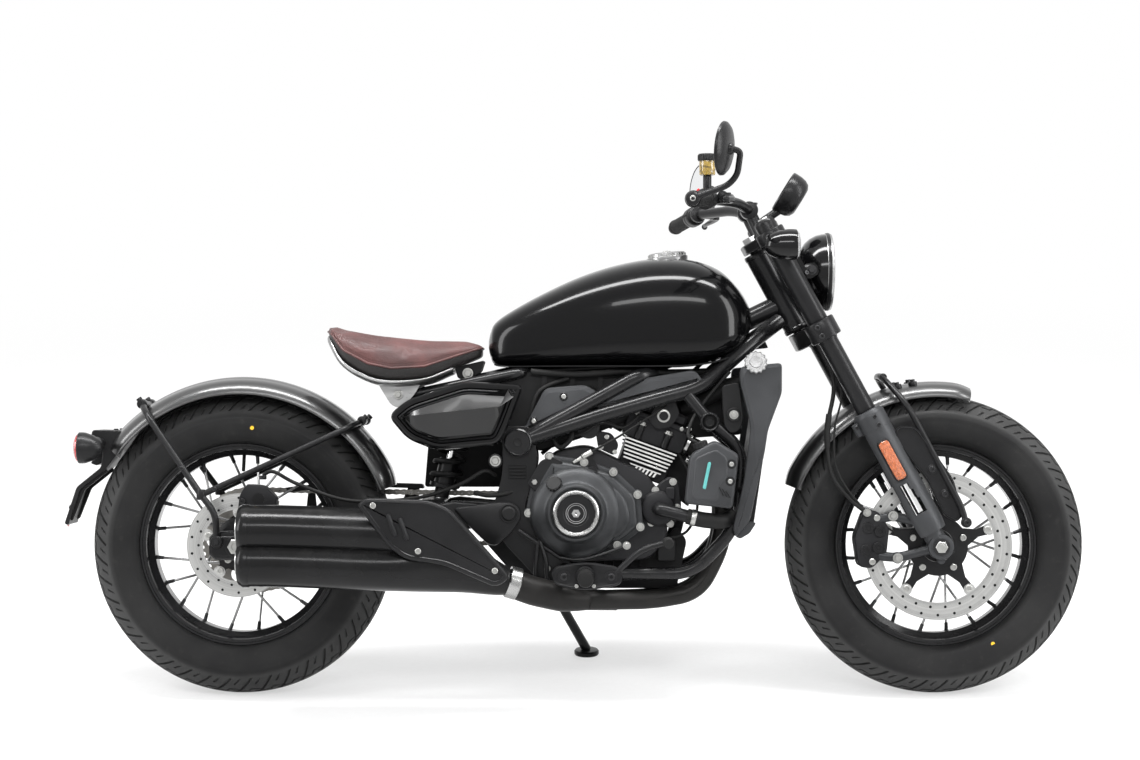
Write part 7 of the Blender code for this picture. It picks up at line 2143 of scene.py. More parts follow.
def crankcase():
    """The case, its covers, ribs, screws and water pump."""
    case = slab(soften(CASE, 0.022), [(-0.112, 0.010), (-0.108, 0.003), (-0.102, 0.0), (-0.040, 0.0),
                                      (-0.039, 0.0025), (-0.033, 0.0025), (-0.032, 0.0), (0.066, 0.0),
                                      (0.072, 0.002), (0.076, 0.006)])
    left = [(0.735, 0.517), (0.862, 0.476), (0.905, 0.420), (0.905, 0.340), (0.865, 0.296), (0.735, 0.296)]
    shapes = [case, slab(soften(left, 0.020), [(0.060, 0.0), (0.105, 0.0), (0.110, 0.003), (0.112, 0.008)]),
              turned([(0.100, 0.0860), (0.120, 0.0855), (0.130, 0.0830), (0.1375, 0.0770), (0.1425, 0.0670),
                      (0.1450, 0.0560), (0.1440, 0.0530), (0.1452, 0.0500), (0.1475, 0.0440), (0.1480, 0.0300)],
                     (0.800, 0.0, 0.395), (0, 1, 0), 80),
              slab(soften([(0.742, 0.462), (0.660, 0.448), (0.610, 0.410), (0.606, 0.360), (0.650, 0.322),
                           (0.742, 0.312)], 0.014), [(0.1035, 0.0), (0.1070, 0.0), (0.1085, 0.0015)])]
    ribs, heads, dark = [], [], []
    for i in range(9):
        x = 0.700 + 0.019 * i
        ribs.append(slab([(x, 0.290), (x + 0.004, 0.290), (x + 0.004, 0.276), (x, 0.276)],
                         [(-0.070, 0.0), (0.060, 0.0)]))
    ribs.append(rod((0.915, -0.010, 0.352), (0.940, -0.010, 0.345), 0.034, 40, 0.003))
    for i in range(1, 16, 2):
        t = 2 * math.pi * i / 16
        at = Vector((0.800 + 0.0805 * math.cos(t), 0.129, 0.395 + 0.0805 * math.sin(t)))
        heads += bolt(at + Vector((0, 0.001, 0)), (0, 1, 0), 0.0052, "cap", 0.004)
    # water pump on the right, its bolts and its elbow
    shapes.append(turned([(0.095, 0.0380), (0.118, 0.0370), (0.124, 0.0330), (0.127, 0.0260), (0.128, 0.0180)],
                         (0.8880, 0.0, 0.4010), (0, -1, 0), 56))
    shapes.append(slab(soften([(0.872, 0.366), (0.872, 0.420), (0.888, 0.452), (0.914, 0.470), (0.934, 0.456),
                               (0.938, 0.402), (0.922, 0.364)], 0.012),
                       [(-0.090, 0.0), (-0.1090, 0.0), (-0.1120, 0.003)]))
    shapes.append(slab(soften([(0.905, 0.420), (0.905, 0.446), (0.924, 0.446), (0.924, 0.420)], 0.006),
                       [(-0.110, 0.0), (-0.1210, 0.0), (-0.1230, 0.002)]))
    for x, z in ((0.9198, 0.4574), (0.8826, 0.4394), (0.9286, 0.4029), (0.8739, 0.3709), (0.9139, 0.3688)):
        dark.append(rod((x, -0.108, z), (x, -0.1140, z), 0.0088, 24, 0.001))
        heads += bolt((x, -0.1140, z), (0, -1, 0), 0.0058, "hex", 0.0045)
    elbow = [pipe([(0.886, -0.116, 0.4015), (0.890, -0.1440, 0.4005), (0.960, -0.1460, 0.3830)], 0.0135, 0.022, 24,
                  8)]
    hose_ = [hose([(0.948, -0.1460, 0.386), (0.985, -0.1440, 0.3780), (1.025, -0.128, 0.376), (1.058, -0.098, 0.392),
                   (1.074, -0.070, 0.400)], 0.0165, 24, 40)]
    clip = []
    for t0, t1 in (((0.9560, -0.1459, 0.3842), (0.9660, -0.1456, 0.3820)), ((1.0500, -0.1055, 0.3880),
                                                                          (1.0560, -0.0985, 0.3910))):
        clip.append(rod(t0, t1, 0.0176, 32, 0.001))
    heads += bolt((0.9600, -0.1640, 0.3830), (0, -1, 0), 0.0035, "cap", 0.002)
    # rectifier and small fittings behind the cover
    box = slab(soften([(0.571, 0.462), (0.571, 0.494), (0.612, 0.494), (0.612, 0.462)], 0.004),
               [(-0.088, 0.0), (-0.1240, 0.0), (-0.1265, 0.002)])
    fins = [slab([(0.574, z), (0.609, z), (0.609, z + 0.0035), (0.574, z + 0.0035)], [(-0.120, 0.0), (-0.1300, 0.0)])
            for z in (0.4655, 0.4725, 0.4795, 0.4865)]
    sensor = slab(soften([(0.888, 0.288), (0.888, 0.336), (0.926, 0.336), (0.926, 0.288)], 0.004),
                  [(-0.060, 0.0), (-0.0900, 0.0), (-0.0920, 0.002)])
    wires = [hose([(0.592, -0.110, 0.462), (0.585, -0.1200, 0.440), (0.560, -0.1260, 0.4310),
                   (0.528, -0.1280, 0.4290), (0.500, -0.1240, 0.4350)], 0.0048, 12, 40),
             hose([(0.910, -0.090, 0.336), (0.950, -0.095, 0.352), (0.972, -0.090, 0.400), (0.962, -0.092, 0.460),
                   (0.930, -0.080, 0.520)], 0.0030, 10, 40), hose([(0.640, 0.104, 0.512), (0.700, 0.110, 0.556),
                     (0.800, 0.100, 0.600), (0.930, 0.060, 0.660), (1.040, 0.050, 0.760)], 0.0045, 10, 50)]
    piece("engine_case", "chassis", [("dark_cast", shapes + ribs), ("matt", dark + [box, sensor] + fins),
                                     ("satin", elbow), ("rubber", hose_ + wires), ("zinc", clip + heads)],
          ["crankcase"], crease=30.0)


def clutch_cover():
    """The round cover with its screws, filler and clutch arm."""
    outline = soften(COVER_BOLTS, 0.016)
    base = slab(outline, [(-0.1123, 0.0), (-0.1300, 0.0), (-0.1320, 0.0012), (-0.1326, 0.0030), (-0.1326, 0.0105),
                          (-0.1360, 0.0120), (-0.1390, 0.0150), (-0.1412, 0.0200), (-0.1420, 0.0260)])
    bulge = slab(soften([(0.700, 0.478), (0.770, 0.468), (0.822, 0.428), (0.834, 0.372), (0.800, 0.336),
                         (0.700, 0.330)], 0.03, 9),
                 [(-0.1380, 0.0), (-0.1420, 0.0020), (-0.1455, 0.0060), (-0.1480, 0.0120), (-0.1494, 0.0200)])
    centre = (0.715, 0.0, 0.393)
    way = (0, -1, 0)
    dome = turned([(0.1310, 0.0985), (0.1400, 0.0965), (0.1470, 0.0925), (0.1525, 0.0860), (0.1570, 0.0780),
                   (0.1605, 0.0700), (0.1630, 0.0655), (0.1650, 0.0635), (0.1700, 0.0610), (0.1728, 0.0585),
                   (0.1735, 0.0560), (0.1725, 0.0535), (0.1695, 0.0520), (0.1685, 0.0490)], centre, way, 96)
    ring = turned([(0.1690, 0.0500), (0.1745, 0.0492), (0.1775, 0.0478), (0.1790, 0.0455), (0.1785, 0.0425),
                   (0.1755, 0.0400), (0.1690, 0.0395)], centre, way, 96, True)
    field = turned([(0.1690, 0.0398), (0.1725, 0.0394), (0.1728, 0.0270), (0.1722, 0.0262), (0.1722, 0.0225),
                    (0.1730, 0.0215), (0.1730, 0.0020)], centre, way, 80)
    marks = [turned([(0.1724, r + 0.0007), (0.1736, r + 0.0005), (0.1736, r - 0.0005), (0.1724, r - 0.0007)], centre,
                    way, 72, True) for r in (0.0210, 0.0172)]
    marks.append(turned([(0.1726, 0.0095), (0.1738, 0.0090), (0.1738, 0.0030), (0.1730, 0.0020)], centre, way, 6))
    heads, seats = [], []
    for x, z in COVER_BOLTS:
        at = Vector((x, 0, z)).lerp(Vector((0.732, 0, 0.412)), 0.055)
        seats.append(turned([(0.120, 0.0105), (0.1345, 0.0100), (0.1355, 0.0088)], (at.x, 0.0, at.z), way, 28))
        heads += bolt((at.x, -0.1352, at.z), way, 0.0064, "hex", 0.0060)
    # oil filler, clutch arm with its cable
    filler_at = Vector((0.6715, -0.150, 0.4500))
    filler_way = Vector((-0.25, -0.75, 0.45)).normalized()
    filler = [turned([(-0.020, 0.0190), (-0.002, 0.0180), (0.0, 0.0165), (0.0120, 0.0160), (0.0135, 0.0145),
                      (0.0135, 0.004)], filler_at, filler_way, 40)]
    filler += fluting(filler_at, filler_way, 16, 0.0160, 0.001, 0.0122, 0.0014)
    arm = [turned([(0.1120, 0.0150), (0.1360, 0.0140), (0.1400, 0.0115), (0.1400, 0.004)], (0.7485, 0.0, 0.4766),
                  way, 40), plate([(0.742, 0.480), (0.728, 0.512), (0.736, 0.522), (0.746, 0.518), (0.764, 0.484),
                                   (0.756, 0.474)], -0.1345, -0.1310, [(0.7370, 0.5135, 0.0030)], bend=0.006),
           slab([(0.738, 0.474), (0.758, 0.480), (0.762, 0.472), (0.744, 0.466)], [(-0.138, 0.0), (-0.146, 0.0)],
                bend=0.003)]
    ferrule = [rod((0.7285, -0.1345, 0.5095), (0.7480, -0.1330, 0.5215), 0.0062, 24, 0.001)]
    ends = [turned([(-0.020, 0.0030), (-0.016, 0.0046), (-0.008, 0.0040), (0.0, 0.0046)], (0.7270, -0.1345, 0.5085),
                   (0.85, 0, 0.52), 20)]
    cable = [hose([(0.660, -0.126, 0.4720), (0.7000, -0.1340, 0.4920), (0.7270, -0.1345, 0.5085)], 0.0016, 8, 16),
             hose([(0.7480, -0.1330, 0.5215), (0.8000, -0.1310, 0.5500), (0.8600, -0.1250, 0.5880),
                   (0.9050, -0.1000, 0.6180), (0.9700, -0.0600, 0.6700), (1.0600, -0.0520, 0.7600)], 0.0024, 10,
                  60)]
    guard_ = [slab(soften([(0.612, 0.452), (0.640, 0.502), (0.664, 0.512), (0.690, 0.500), (0.664, 0.470),
                           (0.640, 0.430)], 0.008), [(-0.1300, 0.0), (-0.1385, 0.0), (-0.1400, 0.0015)])]
    piece("clutch_case", "chassis", [("cast", [base, bulge, dome] + seats), ("steel", [ring]),
                                     ("satin", [field] + arm + guard_), ("alloy", marks), ("plastic", filler),
                                     ("zinc", heads + ferrule + ends), ("rubber", cable)], ["clutch_cover"],
          crease=30.0)


def cylinder():
    """Block and head in layers, with ribs, inlets, throttle bodies, air box and wires."""
    y = 0.088
    blocks = [barrel_block(-0.010, 0.096, 0.028, 0.104, -0.086, 0.086),
              barrel_block(-0.024, 0.110, 0.101, 0.150, -y, y),
              barrel_block(-0.020, 0.104, 0.148, 0.160, -0.0925, 0.0925),
              barrel_block(-0.014, 0.098, 0.158, 0.184, -0.082, 0.082, 0.006)]
    bright, dark, heads = [], [], []
    for side, _ in SIDES:
        for i in range(6):
            v = 0.0560 + 0.0080 * i
            spread = 0.0100 * i / 5.0
            low, high = between(side, 0.084, 0.0985)
            dark.append(barrel_block(-0.006 - spread, 0.092 + spread, v, v + 0.0034, low, high, 0.0008))
            low, high = between(side, 0.0975, 0.0998)
            bright.append(barrel_block(-0.005 - spread, 0.091 + spread, v - 0.0002, v + 0.0036, low, high, 0.0004))
        low, high = between(side, 0.084, 0.0975)
        rings = []
        for yy in (low, high):
            rings.append([barrel(u, yy, v) for u, v in ((0.012, 0.0500), (0.084, 0.0500), (0.076, 0.0390),
                                                        (0.064, 0.0345), (0.040, 0.0345), (0.022, 0.0400))])
        dark.append(loft(rings))
        yy = side * 0.0976
        for k in range(6):
            u = 0.026 + 0.0085 * k
            bright.append(loft([[barrel(u + du + (v - 0.040) * 0.3, yy + dy, v) for du, v in
                                 ((0.0, 0.0372), (0.0040, 0.0372), (0.0040, 0.0480), (0.0, 0.0480))]
                                for dy in (0.0, side * 0.0012)]))
        bright.append(loft([[barrel(u, yy + dy, v) for u, v in ((0.0125, 0.0498), (0.0835, 0.0498), (0.082, 0.0475),
                                                                (0.016, 0.0475))] for dy in (0.0, side * 0.0012)]))
        for u, v in ((0.010, 0.1145), (0.070, 0.1145)):
            at = barrel(u, side * 0.0895, v - 0.012)
            top = barrel(u, side * 0.0895, v + 0.020)
            dark.append(rod(at, top, 0.0082, 24, 0.001))
            heads += bolt(top, top - at, 0.0080, "hex", 0.007)
        for u in (-0.008, 0.040, 0.092):
            heads += bolt(barrel(u, side * 0.0925, 0.154), (0, side, 0), 0.0042, "cap", 0.001)
        at = barrel(0.045, side * 0.070, 0.184)
        dark.append(rod(at, at + Vector((0.006, 0, 0.016)), 0.0115, 24, 0.003))
    # inlets behind the head, throttle bodies and the air box above the gearbox
    for side, _ in SIDES:
        start = barrel(-0.022, side * 0.045, 0.128)
        dark.append(rod(start, start + Vector((-0.060, 0.0, 0.034)), 0.0255, 36, 0.002))
        dark.append(rod(start + Vector((-0.018, 0.0, 0.010)), start + Vector((-0.036, 0.0, 0.020)), 0.0300, 36,
                        0.002))
        heads += bolt(start + Vector((-0.030, side * 0.030, 0.017)), (0, side, 0), 0.006, "hex")
    box = slab(soften([(0.640, 0.566), (0.652, 0.640), (0.700, 0.662), (0.756, 0.660), (0.768, 0.628),
                       (0.752, 0.580), (0.690, 0.556)], 0.02, 6),
               [(-0.094, 0.008), (-0.090, 0.002), (-0.084, 0.0), (0.084, 0.0), (0.090, 0.002), (0.094, 0.008)])
    throttle = [rod((0.742, -0.096, 0.572), (0.742, -0.112, 0.572), 0.0240, 36, 0.003),
                slab(soften([(0.762, 0.528), (0.756, 0.566), (0.790, 0.560), (0.806, 0.536), (0.796, 0.512)], 0.008),
                     [(-0.092, 0.0), (-0.1060, 0.0), (-0.1080, 0.002)])]
    for x, z in ((0.768, 0.5300), (0.7800, 0.5520), (0.7975, 0.5200)):
        heads += bolt((x, -0.1080, z), (0, -1, 0), 0.0050, "cap", 0.003)
    wires = [hose([(0.690, -0.096, 0.548), (0.730, -0.116, 0.560), (0.772, -0.114, 0.582), (0.815, -0.108, 0.572),
                   (0.850, -0.098, 0.600)], 0.0034, 10, 50), hose([(0.660, -0.100, 0.560), (0.680, -0.112, 0.530),
                     (0.706, -0.110, 0.552), (0.700, -0.100, 0.590)], 0.0050, 12, 40)]
    bracket = [slab(soften([(0.868, 0.590), (0.892, 0.628), (0.925, 0.628), (0.935, 0.600), (0.915, 0.572),
                            (0.885, 0.568)], 0.010), [(-0.094, 0.0), (-0.1010, 0.0)])]
    ring = [turned([(0.0995, 0.0140), (0.1035, 0.0135), (0.1040, 0.0100), (0.1000, 0.0090)], (0.9006, 0.0, 0.5960),
                   (0, -1, 0), 40)]
    piece("cylinder_block", "chassis", [("dark_cast", blocks), ("satin", dark + throttle + bracket),
                                        ("fin", bright), ("matt", [box]), ("zinc", heads + ring),
                                        ("rubber", wires)], ["cylinder_head"], crease=30.0)


PANEL = [(1.060, 0.700), (1.147, 0.708), (1.147, 0.645), (1.118, 0.567), (1.111, 0.521), (1.079, 0.373),
         (1.050, 0.342), (1.044, 0.360), (1.066, 0.458), (1.082, 0.574), (1.058, 0.672)]


def radiator():
    """The core and the grey shroud about it, with its cap and hose."""
    core = slab([(1.066, 0.372), (1.092, 0.368), (1.136, 0.672), (1.106, 0.680)], [(-0.0915, 0.0), (0.0915, 0.0)])
    piece("cooling_core", "chassis", [("core", [core])], ["radiator_core"], crease=30.0)
    grey, dark, zinc = [], [], []
    for side, _ in SIDES:
        grey.append(slab(soften(PANEL, 0.010), [(side * 0.134, 0.001), (side * 0.136, 0.0), (side * 0.1455, 0.0),
                                                (side * 0.1492, 0.0012), (side * 0.1508, 0.0042)]))
        grey.append(slab(soften([(1.070, 0.694), (1.142, 0.700), (1.142, 0.646), (1.113, 0.566), (1.106, 0.524),
                                 (1.090, 0.470), (1.088, 0.574), (1.064, 0.672)], 0.012),
                         [(side * 0.1500, 0.0), (side * 0.1512, 0.001)]))
        dark.append(rod((1.060, side * 0.112, 0.440), (1.072, side * 0.136, 0.440), 0.010, 24))
        low, high = between(side, 0.092, 0.104)
        dark.append(slab([(1.064, 0.376), (1.090, 0.370), (1.134, 0.670), (1.108, 0.678)],
                         [(low, 0.0), (high, 0.0)]))
        tab = [(1.022, 0.660), (1.058, 0.668), (1.062, 0.640), (1.068, 0.590), (1.060, 0.566), (1.040, 0.558),
                  (1.026, 0.576), (1.024, 0.610)]
        dark.append(slab(soften(tab, 0.010), [(side * 0.1170, 0.0), (side * 0.1290, 0.0), (side * 0.1310, 0.0016)]))
        at = Vector((1.047, side * 0.1310, 0.599))
        dark.append(turned([(-0.002, 0.0155), (0.0030, 0.0150), (0.0040, 0.0130), (0.0030, 0.0115)], at,
                           (0, side, 0), 36))
        zinc += bolt(at + Vector((0, side * 0.002, 0)), (0, side, 0), 0.0070, "hex", 0.005)
    top = [(1.098, 0.676), (1.145, 0.668), (1.146, 0.706), (1.090, 0.702)]
    base = [(1.050, 0.343), (1.066, 0.375), (1.094, 0.372), (1.080, 0.350), (1.060, 0.338)]
    grey += [slab(top, [(-0.138, 0.0), (0.138, 0.0)], bend=0.006),
             slab(base, [(-0.138, 0.0), (0.138, 0.0)], bend=0.005)]
    # filler cap: a scalloped disc beside the top tank
    centre, up = Vector((1.092, -0.1465, 0.7085)), Vector((0.02, -0.96, 0.28)).normalized()
    one, two = across(up)
    rings = []
    for along, radius in ((-0.004, 0.0220), (-0.002, 0.0235), (0.0025, 0.0235), (0.0045, 0.0215)):
        rings.append([centre + up * along
                      + (radius + 0.0014 * math.cos(14 * t)) * (math.cos(t) * one + math.sin(t) * two)
                      for t in (2 * math.pi * k / 140 for k in range(140))])
    scallops = [loft(rings), turned([(0.004, 0.0135), (0.0062, 0.0125), (0.0065, 0.0020)], centre, up, 40),
            turned([(-0.030, 0.0130), (-0.004, 0.0135)], centre, up, 32)]
    ends = [hose([(1.096, -0.060, 0.664), (1.060, -0.062, 0.668), (1.000, -0.058, 0.636), (0.940, -0.050, 0.610)],
                 0.0150, 20, 36)]
    piece("cooling_shroud", "chassis",
          [("grey", grey), ("matt", dark), ("zinc", zinc), ("spoke", scallops), ("rubber", ends)],
          ["radiator_shroud"], crease=34.0)


def coolant():
    """The coolant tank with its window, pads and fluted lid."""
    outline = soften([(0.952, 0.510), (0.965, 0.524), (1.006, 0.546), (1.056, 0.516), (1.043, 0.402),
                      (0.942, 0.413)], 0.010)
    vessel = slab(outline, [(-0.132, 0.006), (-0.1345, 0.001), (-0.137, 0.0), (-0.1600, 0.0), (-0.1645, 0.0015),
                            (-0.1672, 0.0045), (-0.1680, 0.008)])
    field = soften([(0.966, 0.508), (1.008, 0.526), (1.030, 0.508), (1.030, 0.470), (1.014, 0.452), (1.010, 0.418),
                    (0.958, 0.424)], 0.008)
    inner = slab(field, [(-0.1675, -0.002), (-0.1690, 0.0), (-0.1698, 0.0012), (-0.1698, 0.003)])
    window = [hose([(0.9935, -0.1694, 0.497), (0.9830, -0.1694, 0.447)], 0.0036, 16, 10)]
    for end in ((0.9935, -0.1694, 0.497), (0.9830, -0.1694, 0.447)):
        window.append(turned([(-0.0036, 0.0004), (-0.0025, 0.0026), (0.0, 0.0036), (0.0025, 0.0026),
                              (0.0036, 0.0004)], end, (0, -1, 0), 20))
    pads, heads = [], []
    for x, z in ((1.0400, 0.4960), (1.0370, 0.4600)):
        pads.append(turned([(-0.004, 0.0100), (0.0010, 0.0098), (0.0010, 0.0065), (-0.0005, 0.0060)],
                           (x, -0.1672, z), (0, -1, 0), 32))
        heads += bolt((x, -0.1675, z), (0, -1, 0), 0.0048, "cap", 0.002)
    for k in range(3):
        x = 1.0200 + 0.0070 * k
        pads.append(hose([(x - 0.0060, -0.1684, 0.4480 - 0.004 * k), (x + 0.0030, -0.1684, 0.4300 - 0.002 * k)],
                         0.0012, 8, 6))
    lid_at, way = Vector((0.9780, -0.150, 0.5290)), Vector((-0.32, 0.0, 0.95)).normalized()
    lid = [turned([(0.0, 0.0140), (0.0015, 0.0150), (0.0125, 0.0148), (0.0142, 0.0130), (0.0142, 0.002)], lid_at,
                  way, 40)]
    lid += fluting(lid_at, way, 18, 0.0148, 0.002, 0.0122, 0.0011)
    lid.append(rod((1.048, -0.115, 0.470), (1.040, -0.136, 0.470), 0.010, 20))
    overflow = [hose([(0.968, -0.150, 0.540), (0.950, -0.140, 0.560), (0.975, -0.118, 0.612),
                      (1.040, -0.108, 0.690)], 0.0036, 10, 40)]
    piece("expansion_tank", "chassis", [("grey", [vessel, inner]), ("teal", window), ("matt", pads), ("plastic", lid),
                                        ("zinc", heads), ("rubber", overflow)], ["coolant_tank"], crease=34.0)


def foot_control(side, name):
    """Foot rest on its plate, the arm of the pedal, and the links behind it."""
    outline = [(0.664, 0.272), (0.672, 0.284), (0.720, 0.292), (0.752, 0.292), (0.800, 0.284), (0.814, 0.270),
               (0.808, 0.246), (0.750, 0.236), (0.720, 0.236), (0.670, 0.246)]
    shape = soften(outline, 0.014)
    way = (0, side, 0)
    base = [slab(shape, [(side * 0.190, 0.0015), (side * 0.1915, 0.0), (side * 0.2015, 0.0), (side * 0.2040, 0.0012),
                         (side * 0.2048, 0.0030), (side * 0.2038, 0.0052)])]
    zinc, rubber, bright, dark_heads = [], [], [], []
    for x in (0.690, 0.788):
        base.append(rod((x, side * 0.100, 0.263), (x, side * 0.192, 0.263), 0.010, 28))
        base.append(turned([(0.0, 0.0135), (0.0012, 0.0135), (0.0012, 0.0100)], (x, side * 0.2040, 0.263), way, 32))
        dark_heads += bolt((x, side * 0.2040, 0.263), way, 0.0075, "cap", 0.0035)
    base.append(turned([(0.198, 0.0200), (0.216, 0.0200), (0.221, 0.0180)], (0.734, 0.0, 0.265), way, 40))
    profile = [(0.220, 0.0150)]
    y = 0.222
    while y < 0.306:
        profile += [(y, 0.0164), (y + 0.0046, 0.0164), (y + 0.0052, 0.0146), (y + 0.0068, 0.0146),
                    (y + 0.0074, 0.0164)]
        y += 0.0078
    profile += [(0.3095, 0.0166), (0.3140, 0.0150), (0.3148, 0.0110), (0.3148, 0.002)]
    rubber.append(turned(profile, (0.734, 0.0, 0.265), way, 32))
    for x in (0.716, 0.752):
        bright += bolt((x, side * 0.2050, 0.244), (0, side, 0), 0.0040, "cap", 0.002)
    lever = out(side, (0.788, 0.196, 0.262), (0.850, 0.200, 0.320), (0.905, 0.200, 0.335))
    arm = [sweep(rounded(lever, 0.03, 8), circle(0.0080, 20, 0.0062))]
    rubber.append(turned([(0.192, 0.0080), (0.194, 0.0108)] + [p for k in range(8) for p in ((0.197 + 0.0080 * k,
                                     0.0110), (0.2015 + 0.0080 * k, 0.0110), (0.2025 + 0.0080 * k, 0.0098),
                                 (0.2040 + 0.0080 * k, 0.0098))] + [(0.2605, 0.0108), (0.262, 0.0090)],
                         (0.905, 0.0, 0.335), way, 28))
    links = []
    if side < 0:
        # brake pedal's rod back to its master cylinder, and the cylinder's hoses
        links.append(hose([(0.702, -0.1450, 0.2850), (0.650, -0.1450, 0.3200), (0.594, -0.1440, 0.3560)], 0.0044,
                          12, 20))
        links.append(hose([(0.684, -0.1620, 0.2990), (0.738, -0.1660, 0.2975), (0.822, -0.1720, 0.3260)], 0.0038,
                          12, 30))
        arm.append(turned([(-0.010, 0.0075), (0.010, 0.0075)], (0.8207, -0.1700, 0.3266), way, 28))
        zinc += bolt((0.8207, -0.1800, 0.3266), (0, -1, 0), 0.0062, "hex", 0.004)
        arm.append(plate([(0.660, 0.352), (0.640, 0.352), (0.634, 0.330), (0.650, 0.288), (0.672, 0.276),
                          (0.690, 0.290), (0.676, 0.330)], -0.1420, -0.1370, [(0.652, 0.338, 0.004)], bend=0.008))
        zinc += bolt((0.6490, -0.1420, 0.3380), (0, -1, 0), 0.0070, "cap", 0.004)
        links.append(hose([(0.6350, -0.1440, 0.3330), (0.6300, -0.1500, 0.2800), (0.6320, -0.1500, 0.2360)], 0.0046,
                          12, 24))
        links.append(hose([(0.6400, -0.1440, 0.3330), (0.6520, -0.1520, 0.2900), (0.6560, -0.1520, 0.2360)], 0.0050,
                          12, 24))
        arm.append(rod((0.628, -0.1500, 0.2330), (0.660, -0.1500, 0.2330), 0.0058, 16, 0.001))
        arm.append(rod((0.6520, -0.1500, 0.2240), (0.6520, -0.1500, 0.2400), 0.0068, 6))
    else:
        links.append(hose([(0.850, 0.188, 0.318), (0.780, 0.160, 0.330), (0.700, 0.142, 0.352)], 0.0042, 12, 20))
        arm.append(rod((0.700, 0.112, 0.352), (0.700, 0.150, 0.352), 0.0085, 24, 0.001))
    piece("foot_rest_" + name, "chassis", [("satin", base + arm), ("rubber", rubber), ("zinc", zinc + bright),
                                           ("bolt", dark_heads), ("satin", links)], ["foot_control_" + name],
          crease=32.0)


def stand():
    """The side stand: leg, foot plate, hook and pivot bolt."""
    ground = Vector((0.0, -math.sin(LEAN), math.cos(LEAN)))
    way = STAND_FOOT - STAND_PIVOT
    body = [rod(STAND_PIVOT - STAND_AXIS * 0.012, STAND_PIVOT + STAND_AXIS * 0.012, 0.018, 36, 0.003),
            pipe([STAND_PIVOT, STAND_PIVOT.lerp(STAND_FOOT, 0.5), STAND_FOOT + ground * 0.012], 0.0105, 0.02, 24, 6),
            turned([(0.0, 0.0265), (0.003, 0.0280), (0.008, 0.0280), (0.0110, 0.0255), (0.0120, 0.0200)], STAND_FOOT,
                   ground, 48)]
    hook = STAND_PIVOT + way.normalized() * 0.095 + STAND_AXIS * 0.013
    body.append(rod(hook - STAND_AXIS * 0.010, hook + STAND_AXIS * 0.006, 0.0036, 16, 0.001))
    heads = bolt(STAND_PIVOT + STAND_AXIS * 0.012, STAND_AXIS, 0.0095, "hex")
    piece("prop_stand", "stand", [("satin", body), ("zinc", heads)], ["side_stand"], crease=34.0)


def pivot_cover():
    """Pressed plate outside the swingarm's pivot, on the right."""
    outline = [(0.455, 0.404), (0.520, 0.412), (0.556, 0.4165), (0.582, 0.414), (0.598, 0.400), (0.5997, 0.382),
               (0.583, 0.355), (0.549, 0.324), (0.530, 0.326), (0.493, 0.362)]
    shape = slab(soften(outline, 0.014), [(-0.1320, 0.0), (-0.1400, 0.0), (-0.1430, 0.0012), (-0.1440, 0.0035)])
    at = (0.5737, -0.1420, 0.3914)
    knob = [turned([(0.0, 0.0210), (0.0030, 0.0205), (0.0036, 0.0185), (0.0028, 0.0165), (0.0028, 0.0155),
                    (0.0060, 0.0145), (0.0078, 0.0120), (0.0080, 0.002)], at, (0, -1, 0), 56)]
    posts = [rod((x, -0.120, z), (x, -0.133, z), 0.007, 20) for x, z in ((0.560, 0.390), (0.545, 0.340))]
    piece("pivot_guard", "chassis", [("satin", [shape] + posts), ("matt", knob)], crease=32.0)


AIR_BOX = [(0.520, 0.690), (0.540, 0.640), (0.552, 0.560), (0.640, 0.520), (0.760, 0.560), (0.860, 0.600),
           (0.960, 0.655), (1.010, 0.697)]
# dark plates standing in for the shade seen through the gaps between the frame's tubes
SHADE_PLATE_LOW = [(0.470, 0.385), (0.590, 0.248), (0.690, 0.228), (0.930, 0.228), (0.952, 0.330), (0.930, 0.360),
               (0.870, 0.300), (0.700, 0.300), (0.690, 0.400), (0.600, 0.420)]
SHADE_PLATE_FRONT = [(0.905, 0.440), (0.957, 0.400), (0.957, 0.548), (1.070, 0.556), (1.062, 0.680), (0.945, 0.664),
              (0.905, 0.600)]
SHADE_PLATE_SEAT = [(0.385, 0.440), (0.610, 0.440), (0.620, 0.560), (0.480, 0.566), (0.395, 0.560)]


def inner_parts():
    """Air box, and dark plates between the frame's tubes that paint the shade seen through its gaps, with their loom.
    """
    # painted shade: after the air box, three dark plates fill the gaps behind the frame's tubes
    shapes = [slab(soften(AIR_BOX, 0.012), [(-0.078, 0.004), (-0.074, 0.0), (0.074, 0.0), (0.078, 0.004)]),
              slab(soften(SHADE_PLATE_LOW, 0.010), [(-0.050, 0.0), (0.050, 0.0)]),
              slab(soften(SHADE_PLATE_FRONT, 0.008), [(-0.040, 0.0), (0.040, 0.0)]),
              slab(soften(SHADE_PLATE_SEAT, 0.008), [(0.070, 0.0), (0.078, 0.0)])]
    ribs = [slab([(x, 0.640), (x + 0.010, 0.640), (x + 0.014, 0.690), (x + 0.004, 0.690)],
                 [(-0.0825, 0.0), (-0.076, 0.0)])
            for x in (0.640, 0.700, 0.760, 0.820)]
    loom = [hose([(0.620, -0.086, 0.690), (0.720, -0.092, 0.684), (0.820, -0.090, 0.690), (0.920, -0.086, 0.688),
                  (1.010, -0.072, 0.692)], 0.0070, 14, 60), hose([(0.610, -0.084, 0.560), (0.620, -0.094, 0.600),
                    (0.640, -0.092, 0.650), (0.700, -0.088, 0.676)], 0.0050, 12, 40)]
    piece("air_box", "chassis", [("matt", shapes), ("plastic", ribs), ("rubber", loom)], crease=32.0)


inner_parts()
crankcase()
clutch_cover()
cylinder()
radiator()
coolant()
pivot_cover()
stand()
for side, name in SIDES:
    foot_control(side, name)


# Floor, lamps and camera

